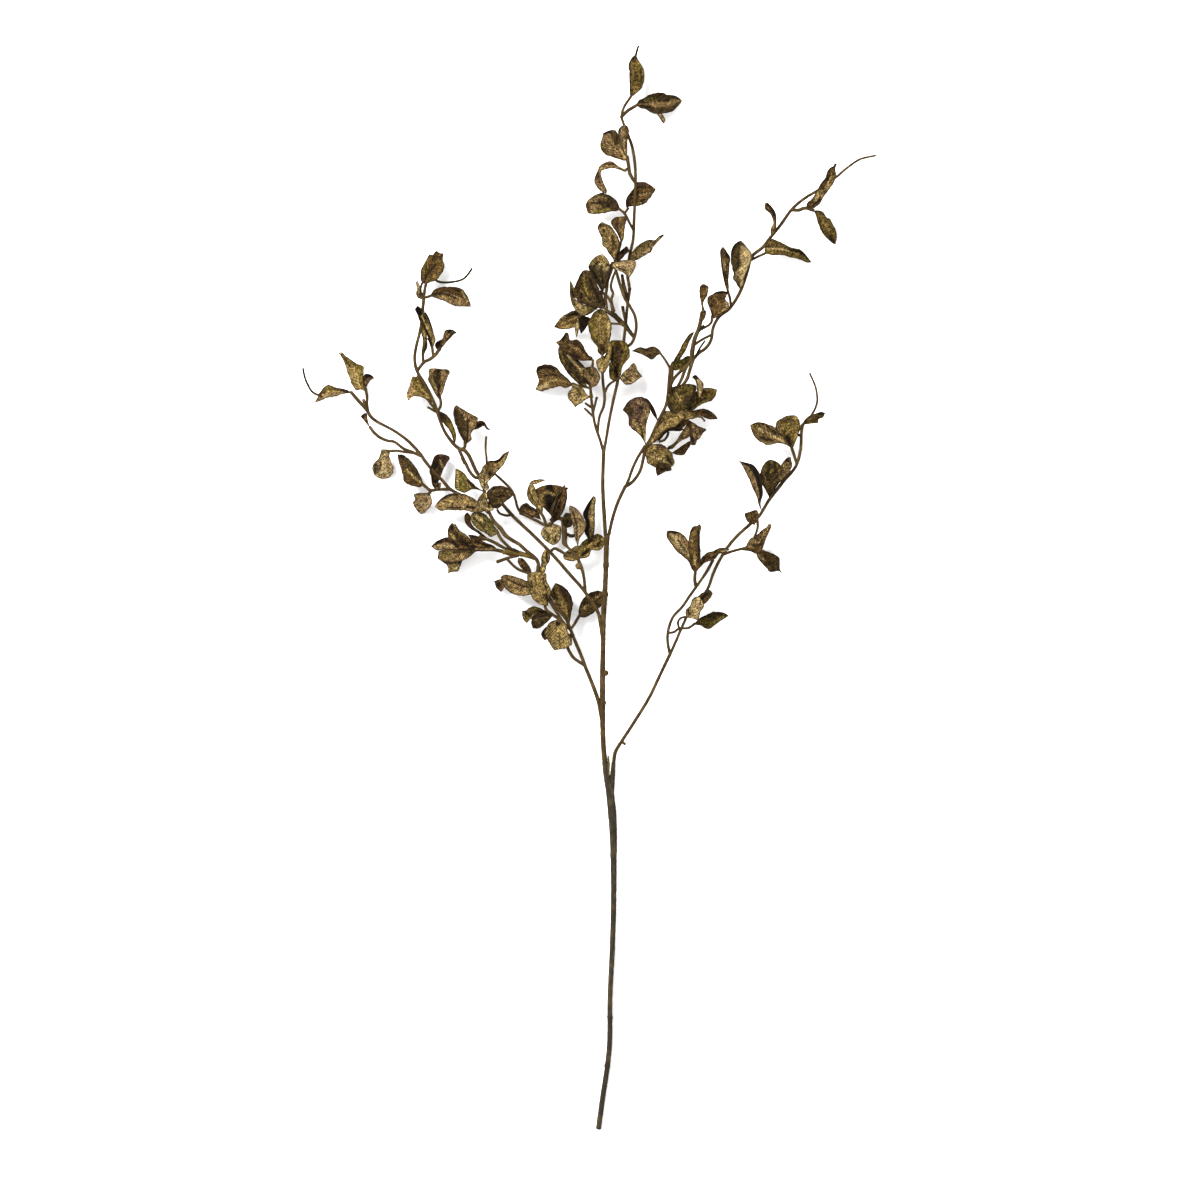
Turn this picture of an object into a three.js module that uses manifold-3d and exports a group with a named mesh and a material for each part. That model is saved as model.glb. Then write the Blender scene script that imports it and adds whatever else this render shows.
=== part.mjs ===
// A long artificial spray of dried-look leaves, lying on a surface.
// Coated wires carry crinkled leaves; each leafy branch is one solid.
// Plan positions are [x, y, height] in millimetres on a sheet under the spray:
// x runs to the right, y runs down the sheet towards the cut end of the stem.
import * as THREE from 'three';
import { mergeVertices } from 'three/addons/utils/BufferGeometryUtils.js';
import Module from 'manifold-3d';

const wasm = await Module();
wasm.setup();

// Driving dimensions, in millimetres
const BLADE_THICKNESS = 0.7;
const BLADE_ROWS = 5;
const BLADE_COLUMNS = 2;
const NARROW_ROWS = 4;
const NARROW_LIMIT = 10;
const SLIM_LIMIT = 14;
const SLIM_ROLL = 45;
const BROAD_ROLL = 20;
const OUTLINE_FULLNESS = 0.72;
const ARCH_SHARE = 0.07;
const CURL_START = 0.55;
const RIPPLE_TURNS = 9.5;
const RIPPLE_SHIFT = 2;
const STEEPEST = 58;
const STEM_SIDES = 8;
const WIRE_SIDES = 4;
const KNOB_RADIUS = 2.9;
const BUD_RADIUS = 3;

// A number from 0 to 1 that depends only on a leaf's own place
function draw(place, turn) {
  const value = Math.sin(place[0] * 12.9898 + place[1] * 78.233 + turn * 37.719) * 43758.5453;
  return value - Math.floor(value);
}

const onSheet = ([x, y, height]) => new THREE.Vector3(x, -y, height);

// A closed geometry as a solid, with nothing below the surface it lies on
function solid(geometry) {
  geometry.deleteAttribute('normal');
  geometry.deleteAttribute('uv');
  const merged = mergeVertices(geometry, 1e-4);
  const places = merged.getAttribute('position');
  for (let i = 0; i < places.count; i += 1) {
    places.setZ(i, Math.max(0, places.getZ(i)));
  }
  return new wasm.Manifold(new wasm.Mesh({
    numProp: 3,
    vertProperties: new Float32Array(places.array),
    triVerts: new Uint32Array(merged.getIndex().array),
  }));
}

// A smooth route whose sections stand at the very points that it is drawn through
class Route extends THREE.CatmullRomCurve3 {
  getPointAt(along, target) {
    return this.getPoint(along, target);
  }

  getTangentAt(along, target) {
    return this.getTangent(along, target);
  }
}

// A coated wire through [x, y, height, width] points, its width changing evenly between them
function wire(points, sides = WIRE_SIDES) {
  const route = new Route(points.map(onSheet), false, 'centripetal');
  const corners = Array.from({ length: sides }, (_, side) => {
    const angle = (side + 0.5) * 2 * Math.PI / sides;
    return new THREE.Vector2(0.5 * Math.cos(angle), 0.5 * Math.sin(angle));
  });
  const section = new THREE.Shape(corners);
  const geometry = new THREE.ExtrudeGeometry(section, { steps: points.length - 1, extrudePath: route });
  const places = geometry.getAttribute('position');
  const rings = points.map((point) => ({ centre: onSheet(point), width: point[3] }));
  const place = new THREE.Vector3();
  for (let i = 0; i < places.count; i += 1) {
    place.fromBufferAttribute(places, i);
    const ring = rings.reduce((best, next) => (
      next.centre.distanceTo(place) < best.centre.distanceTo(place) ? next : best));
    place.sub(ring.centre).multiplyScalar(ring.width).add(ring.centre);
    places.setXYZ(i, place.x, place.y, place.z);
  }
  return solid(geometry);
}

// A round bud or knob
function knob(place, radius) {
  const ball = new THREE.IcosahedronGeometry(radius, 1);
  const centre = onSheet(place);
  ball.translate(centre.x, centre.y, centre.z);
  return solid(ball);
}

// Share of the full half width at a place along the blade; belly is where it is widest
function outline(along, belly) {
  const swelled = along ** (Math.log(0.5) / Math.log(belly));
  return Math.sin(Math.PI * swelled) ** OUTLINE_FULLNESS;
}

// Places evenly spaced along one edge of a leaf in plan; numbers are x and y by turns
function leafEdge(start, numbers, end, rows) {
  const points = [start];
  for (let i = 0; i < numbers.length; i += 2) {
    points.push(onSheet([numbers[i], numbers[i + 1], 0]));
  }
  return new THREE.CatmullRomCurve3([...points, end], false, 'centripetal').getSpacedPoints(rows);
}

// The left edge, midrib and right edge of a leaf in plan, one of each for each row
function leafPlan(base, tip, width, shape, rows) {
  const { belly = 0.47, left, right } = shape;
  const start = onSheet([base[0], base[1], 0]);
  const end = onSheet([tip[0], tip[1], 0]);
  if (left && right) {
    const sides = [left, right].map((numbers) => leafEdge(start, numbers, end, rows));
    return sides[0].map((place, row) => [place, place.clone().lerp(sides[1][row], 0.5), sides[1][row]]);
  }
  const side = end.clone().sub(start).cross(new THREE.Vector3(0, 0, 1)).normalize();
  return Array.from({ length: rows + 1 }, (_, row) => {
    const rib = start.clone().lerp(end, row / rows);
    const half = 0.5 * width * outline(row / rows, belly);
    return [rib.clone().addScaledVector(side, -half), rib, rib.clone().addScaledVector(side, half)];
  });
}

// The middle surface of a leaf: a point for each row along it and column across it.
// left and right give points of its two edges as seen from its base towards its tip.
// In millimetres, curl lifts its tip and wave ripples its edges. In degrees, roll turns
// its right side down and fold lifts both sides from the midrib.
function leafSurface(base, tip, width, shape, rows, columns) {
  const mostRoll = width < SLIM_LIMIT ? SLIM_ROLL : BROAD_ROLL;
  const {
    roll = (2 * draw(base, 1) - 1) * mostRoll,
    fold = 34 * draw(base, 2) - 8,
    curl = 8 * draw(base, 3) - 3,
    wave = 0.5 + 0.9 * draw(base, 4),
  } = shape;
  const length = onSheet(base).distanceTo(onSheet(tip));
  const phase = 2 * Math.PI * draw(base, 5);
  return leafPlan(base, tip, width, shape, rows).map(([left, rib, right], row) => {
    const along = row / rows;
    const inside = 0 < row && row < rows;
    const height = THREE.MathUtils.lerp(base[2], tip[2], along)
      + ARCH_SHARE * length * Math.sin(Math.PI * along)
      + curl * Math.max(0, (along - CURL_START) / (1 - CURL_START)) ** 2;
    return Array.from({ length: columns + 1 }, (_, column) => {
      const across = 2 * column / columns - 1;
      const point = rib.clone().lerp(across < 0 ? left : right, Math.abs(across));
      const tilt = THREE.MathUtils.clamp(fold - roll * Math.sign(across), -STEEPEST, STEEPEST);
      const shift = across < 0 ? RIPPLE_SHIFT : 0;
      const ripple = wave * across ** 2 * Math.sin(RIPPLE_TURNS * along + phase + shift);
      const rise = point.distanceTo(rib) * Math.tan(THREE.MathUtils.degToRad(tilt));
      point.z = Math.max(height + rise + (inside ? ripple : 0), 0.5 * BLADE_THICKNESS);
      return point;
    });
  });
}

// The direction square to the middle surface at one of its points
function squareTo(surface, row, column) {
  const rows = surface.length - 1;
  const columns = surface[0].length - 1;
  const inner = THREE.MathUtils.clamp(row, 1, rows - 1);
  const ahead = surface[Math.min(row + 1, rows)][column].clone()
    .sub(surface[Math.max(row - 1, 0)][column]);
  const across = surface[inner][Math.min(column + 1, columns)].clone()
    .sub(surface[inner][Math.max(column - 1, 0)]);
  return across.cross(ahead).normalize();
}

// A leaf from its base to its tip, closed all round, with both faces split alike
function leaf(base, tip, width, shape = {}) {
  const columns = BLADE_COLUMNS;
  const rows = width < NARROW_LIMIT ? NARROW_ROWS : BLADE_ROWS;
  const surface = leafSurface(base, tip, width, shape, rows, columns);
  const places = [];
  const number = (row, column, face) => {
    const pointed = row === 0 || row === rows;
    return 2 * (row * (columns + 1) + (pointed ? 0 : column)) + face;
  };
  surface.forEach((line, row) => line.forEach((point, column) => {
    const lies = point.z <= 0.5 * BLADE_THICKNESS;
    const offset = (lies ? new THREE.Vector3(0, 0, 1) : squareTo(surface, row, column))
      .multiplyScalar(0.5 * BLADE_THICKNESS);
    places.push(...point.clone().add(offset).toArray(), ...point.clone().sub(offset).toArray());
  }));
  const index = [];
  const face = (a, b, c) => {
    if (a !== b && b !== c && a !== c) index.push(a, b, c);
  };
  const TOP = 0;
  const UNDER = 1;
  for (let row = 0; row < rows; row += 1) {
    for (let column = 0; column < columns; column += 1) {
      const corners = (side) => [
        number(row, column, side), number(row, column + 1, side),
        number(row + 1, column + 1, side), number(row + 1, column, side)];
      const [a, b, c, d] = corners(TOP);
      face(a, b, c);
      face(a, c, d);
      const [e, f, g, h] = corners(UNDER);
      face(e, g, f);
      face(e, h, g);
    }
    const rim = (column) => [
      number(row, column, TOP), number(row + 1, column, TOP),
      number(row + 1, column, UNDER), number(row, column, UNDER)];
    const [p, q, r, s] = rim(columns);
    face(s, r, q);
    face(s, q, p);
    const [t, u, v, w] = rim(0);
    face(w, u, v);
    face(w, t, u);
  }
  const geometry = new THREE.BufferGeometry();
  geometry.setAttribute('position', new THREE.Float32BufferAttribute(places, 3));
  geometry.setIndex(index);
  return solid(geometry.toNonIndexed());
}

// The dark lower stem, which forks into two prongs
const lowerStem = [
  wire([[598.5, 1130, 2.2, 4.6], [602.5, 1100, 2.2, 4.6], [607, 1070, 2.2, 4.7], [609.5, 1045, 2.6, 4.5],
    [610, 1000, 4, 4.4], [612.5, 945, 6, 4.8], [613.7, 900, 8, 5], [613.6, 860, 10, 5.8],
    [613.3, 835, 11, 7], [612, 812, 12, 8], [609.5, 790, 13, 7.4], [606.5, 775, 14, 6],
    [604.8, 761, 15, 5.2]], STEM_SIDES),
  wire([[611.2, 797, 12.6, 5], [612.4, 778, 13.6, 4.6], [613.6, 762.3, 14.4, 3.6]], STEM_SIDES),
];

// The ochre main stem, from the left prong up to where it divides
const mainStem = [
  wire([[604.7, 760.3, 15, 5], [603.8, 750, 15.4, 4.6], [602.8, 730, 16.2, 4.6], [602.5, 700, 17.4, 5],
    [602.5, 680, 18, 5], [603, 650, 19, 4.5], [603.8, 610, 21, 4.5], [604.8, 595, 21.6, 5],
    [605.7, 575, 22.4, 4.4], [606.5, 545, 23.6, 4.6], [607, 536, 24, 5.4]], STEM_SIDES),
  wire([[606, 567, 22.6, 5.6], [606.1, 563, 22.8, 5.6]], STEM_SIDES),
  knob([605, 673, 18.4], KNOB_RADIUS),
];

const centreBranch = [
  // Wires
  wire([[605.4, 535.3, 24.6, 3.2], [604.6, 520, 25, 3.3], [603.6, 505, 25.4, 3.3], [602.8, 488, 25.8, 3.3],
    [603, 470, 26, 3.1], [603.8, 450, 26, 3.2]]),
  wire([[603.7, 453, 26, 2.6], [606, 440, 26, 2.4], [609, 422, 25.6, 2.4], [613, 402, 25, 2.4],
    [617.5, 382, 24.4, 2.4], [621, 362, 24, 2.4], [624.3, 337, 24, 2.4], [627.5, 305, 23, 2.4],
    [629.5, 289, 22.6, 2.4], [627.5, 275, 22.2, 2.4], [630, 254, 21.6, 2.4], [633, 240, 21, 2.4],
    [634.2, 215, 20, 2.4], [635.5, 185, 18.6, 2.4], [635, 165, 17.6, 2.4], [632, 146, 16, 2.4],
    [625, 127, 14.6, 2.2], [621.7, 116, 14, 2.2], [624, 107, 14, 2.2], [631, 96, 13.6, 2.2]]),
  wire([[603.7, 453, 26, 2.6], [600, 440, 26.6, 2.4], [596.5, 430, 27, 2.4], [594, 420, 27, 2.2],
    [592, 405, 27, 2.2], [590, 386, 26, 2]]),
  wire([[591.8, 408, 27, 1.8], [585, 403.5, 29, 1.8]]),
  wire([[593.2, 417, 27, 1.8], [584.5, 408.5, 24, 1.8]]),
  wire([[593, 413, 27, 1.8], [596.5, 399, 29, 1.6]]),
  wire([[597.5, 433, 26.8, 2.2], [599.5, 417, 27.5, 2.2], [603.5, 407, 28, 2.2], [604.6, 397, 28, 2.2],
    [603, 383, 27.6, 2.2], [602.3, 352, 27, 2]]),
  wire([[604.6, 393, 28, 1.8], [609, 385, 27, 1.8], [620, 378, 25, 2]]),
  wire([[623.5, 350, 24, 2.2], [632, 343, 27, 2.2], [636, 330, 28, 2], [635, 317, 28, 2], [630, 307, 28, 2],
    [624.5, 298, 28, 2], [621, 288, 28, 2], [617, 275, 27, 2], [614.5, 262, 26, 2], [619, 250, 26, 2],
    [621, 242, 25, 1.8]]),
  wire([[634.5, 338, 27.6, 1.8], [627, 329.5, 29, 1.8], [622, 325, 29, 1.8], [611, 324, 28, 1.6]]),
  wire([[623, 325.5, 29, 1.6], [617, 317, 28, 1.6], [607, 311, 27, 1.8], [600, 306, 27, 2],
    [590, 313, 26.6, 1.8], [580, 317, 26, 1.8]]),
  wire([[607, 311, 27, 1.6], [606, 290, 27, 1.6], [613, 267, 26.6, 1.8]]),
  wire([[603, 308, 27, 1.8], [601, 291, 27, 1.8]]),
  wire([[592, 398, 26.6, 2], [590.5, 388, 26, 2], [592, 373, 26.6, 1.8], [593, 360, 27, 1.8]]),
  wire([[590, 388.5, 26, 1.8], [582, 386.5, 25.6, 1.8], [573, 385, 25, 1.8]]),
  wire([[635.3, 183, 18.6, 2.8], [630, 174, 19, 3], [628.5, 165, 19, 2.8], [627, 156, 19, 2.6]]),
  wire([[633.6, 231, 20.8, 2], [629, 222, 21, 2], [624, 213, 21, 2], [619, 209, 21, 2]]),
  wire([[624.5, 213.5, 20.6, 1.8], [628.5, 208, 17.5, 1.8]]),
  wire([[620.8, 117.5, 14, 2.8], [627, 111, 14, 3], [638, 104, 14, 2.6]]),
  wire([[635.2, 57, 4, 1.8], [637, 50, 8, 1.6], [638.5, 45.5, 12, 1.5]]),
  // Leaves at the top
  leaf([630.5, 98, 13.6], [636, 53, 2], 14.5, { left: [629.7, 92, 629.5, 85, 629.3, 78, 629, 70,
    628.6, 64, 631, 58, 634, 54.5], right: [634, 95, 639, 91, 642.5, 86.5, 644, 81, 644.6, 75, 644, 69.5,
    641.5, 64, 639, 60.5, 637.2, 56] }),
  leaf([636.5, 104.5, 14], [682.5, 99, -3], 21, { roll: 4, left: [639, 99.8, 643, 98.5, 649, 95,
    655, 93.2, 661, 91.8, 667, 94, 674, 94.2, 679, 96.3], right: [640, 108, 645, 109, 650, 112,
    656, 113.7, 662, 113.7, 668, 112.5, 674, 109.5, 678, 105, 681, 101.5] }),
  leaf([653, 103, 10.6], [664, 122.8, 5], 6, { left: [658, 107, 662.5, 114, 665.6, 119.5],
    right: [655, 110, 659, 116, 662, 121] }),
  leaf([628, 160, 19], [603, 133, 22], 24, { left: [624, 161, 619, 159.8, 612, 157.8, 605, 155.5,
    601, 151, 600.3, 145, 601.8, 139], right: [627, 156, 624, 151.5, 622.5, 145, 620.5, 138, 617.5, 132.8,
    613, 130, 608, 131] }),
  leaf([627, 158, 19], [624.5, 125.5, 24], 10, { left: [622.5, 150, 620, 140, 617.8, 132, 619.5, 128.5,
    621.5, 126.7], right: [627, 150, 627.6, 143, 627.8, 138, 629, 133, 628.6, 129, 627, 126.3] }),
  leaf([628.7, 166.3, 19], [606.5, 194.5, 22], 9, { roll: 20, left: [626, 172, 620, 170.3, 613, 168.7,
    606, 169.8, 601.2, 172, 602.3, 179, 604.5, 185, 607, 190.5], right: [624.5, 169, 618, 165.8,
    611.5, 161.3, 604.5, 162.7, 599.8, 166, 597.3, 171.5, 594.8, 177.5, 594.3, 183, 597.5, 188.5,
    602, 192.5] }),
  leaf([620, 209, 21], [585.3, 205, 14], 20, { left: [617, 211.3, 611, 211.8, 603, 213.8, 596, 214.3,
    588.3, 213.6, 586.8, 210], right: [618.5, 205, 616.5, 201, 612, 197, 608, 195, 602, 193.2, 597, 194,
    592, 197, 588, 200] }),
  leaf([627, 209.5, 17.5], [656, 188.5, 10], 20, { roll: 8, left: [625.8, 205, 626, 199, 629, 194,
    632, 190.5, 634, 187, 636, 182.5, 640, 181.7, 646, 182.5, 651, 184.8], right: [628.5, 207, 632, 206.5,
    637, 206, 641, 205.3, 646, 202.5, 649.5, 198.5, 652.5, 194, 655, 190.5] }),
  // Leaves at the middle
  leaf([614.6, 262.2, 26], [601.5, 222, 20], 18, { left: [612, 258, 608, 253, 605.5, 248.5, 603, 247,
    601.5, 239, 599, 233, 597.5, 228, 599, 224.5], right: [616.5, 256, 618.5, 249, 619.5, 242, 617.5, 237,
    614, 231, 611, 227, 606, 224.3] }),
  leaf([621, 244, 25], [620, 217.8, 27], 13, { left: [619.5, 239, 616, 232, 611.5, 226, 611.7, 221.5,
    614.8, 218.4], right: [623.3, 240, 624.5, 233, 625.2, 227, 626.2, 221, 625, 217.3] }),
  leaf([614.8, 261.5, 26], [628.3, 249, 27], 6, { left: [615.8, 257, 619.5, 252.5, 623.5, 249,
    626.3, 246.8], right: [618, 262.3, 621.5, 260, 625.2, 255.5, 629.2, 251.7] }),
  leaf([611, 266, 26.4], [629, 278.3, 30], 13, { left: [616, 262, 625, 260.5, 634, 260.5, 636, 264.5,
    634, 271], right: [614, 270, 619.5, 272, 624.5, 274.8] }),
  leaf([628.5, 261, 21.6], [665.5, 233.5, 12], 11, { roll: 30, left: [630, 256, 632.5, 252, 636, 248,
    641, 244, 645, 241.5, 650, 240, 655, 240, 659, 236], right: [636, 260.5, 641, 258, 646, 255, 651, 252,
    654, 246.5, 658, 242, 662, 237.5] }),
  leaf([602.5, 293, 27], [602.5, 254.3, 24], 20, { left: [598, 286, 593, 278, 588.5, 270, 589.5, 265,
    592, 261, 597, 256.5], right: [605.5, 287, 608, 278, 609.8, 268, 609.5, 263.5, 606, 257.5] }),
  leaf([602.5, 309, 27], [583, 270.5, 18], 25, { left: [595, 308, 585, 305.5, 578, 302, 574.5, 297,
    573.6, 291, 577, 282, 580, 275], right: [602.5, 301, 600, 292, 596, 283, 592, 275, 588, 270.5] }),
  leaf([598, 309.5, 27], [570, 280.3, 24], 12, { roll: 35, left: [590, 312.5, 584, 316.5, 579, 314.5,
    572.5, 306, 570, 296, 569.7, 287], right: [592, 307, 584, 305, 577, 301, 574, 295, 574, 288,
    572, 283.5] }),
  leaf([584, 315, 26], [553.8, 327, 14], 16, { left: [580, 320, 577, 326.5, 570, 329, 561, 329.5],
    right: [580, 311.5, 574, 311, 567, 313.8, 561, 317.5, 557, 322.5] }),
  leaf([578, 317, 26.4], [576.5, 338, 26], 4, { roll: 50, left: [579.2, 323, 578.8, 331],
    right: [576.2, 322, 574.8, 330] }),
  leaf([583.5, 316, 26.4], [581, 334, 23], 6, { left: [590, 318.5, 588, 325, 584.5, 330],
    right: [580.5, 318, 579, 325, 579.5, 330] }),
  leaf([602.3, 357, 27], [601, 308.5, 24], 23, { left: [597.5, 352, 597.5, 348, 593, 342, 589.5, 334,
    588, 326, 590, 319, 595, 312], right: [606.5, 352, 609.5, 342, 611, 334, 611.6, 327, 610, 320,
    606, 312.5] }),
  leaf([619, 378.5, 25], [615, 341, 31], 20, { left: [613, 380.5, 609.5, 378.5, 609, 371, 610, 362,
    611, 350, 610.5, 341.5], right: [621, 375, 622, 368, 626, 362, 629.3, 357, 629, 349, 626, 343.5,
    620.5, 341.2] }),
  leaf([603, 375, 27.6], [607, 338.5, 33], 12, { left: [599, 371.5, 596.5, 366, 596.3, 361, 600, 358.3,
    604.5, 356.5, 606.7, 350, 607, 344], right: [606.5, 370.5, 609, 366, 610.5, 358, 611.7, 351,
    611.8, 346.5, 609.8, 342] }),
  leaf([619.5, 378.5, 25], [642.5, 376, 16], 16, { left: [623, 373, 628, 368.5, 633.8, 363.5,
    636, 366.5, 638, 371], right: [622, 381.5, 626, 384.8, 631, 384.5, 636, 381] }),
  leaf([588, 388, 26], [558.5, 346, 10], 14, { left: [579, 384.5, 575, 381, 569, 375, 564, 368,
    560, 361, 558.3, 355, 558, 350], right: [583, 380, 577, 375, 575, 368, 575, 364, 569, 358, 560.5, 348] }),
  leaf([593, 361, 27], [555.5, 342, 20], 14, { left: [588, 361, 581, 361, 574, 359, 569, 354.5,
    562, 350, 558, 345], right: [592, 357.5, 589, 356, 585, 350, 581, 343, 577, 340.5, 570, 340.5,
    568.5, 334.5, 566, 333, 563.5, 336, 560, 340] }),
  leaf([590.5, 380, 26.2], [566, 354.5, 29], 9, { fold: 50, left: [585, 376.5, 579, 371.5, 573.5, 365.5,
    568.5, 359.5], right: [588, 371, 582.5, 368, 577.5, 364, 572, 358.5, 568, 355] }),
  leaf([590.5, 388, 26], [586, 368, 31], 9, { left: [587.5, 384, 583.5, 378, 583, 371.5],
    right: [596.5, 386, 600, 379, 598, 372, 592.5, 367.5] }),
  leaf([573, 385, 25], [535, 389, 0.5], 22, { left: [566, 388.3, 560, 386.5, 554, 388, 549, 389,
    542, 391], right: [568, 379, 561, 373, 555, 366.5, 545, 364.5, 538, 366.5, 536, 371, 538.5, 380] }),
  leaf([591, 397, 26.5], [575, 408, 17], 16, { left: [585, 400.5, 581.5, 403, 578.5, 405],
    right: [586, 394, 583, 388.5, 577, 384.5, 571.5, 383, 571.5, 388.5, 568, 393.5, 568, 398.5, 571, 402,
    574, 405.5] }),
];

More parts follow.
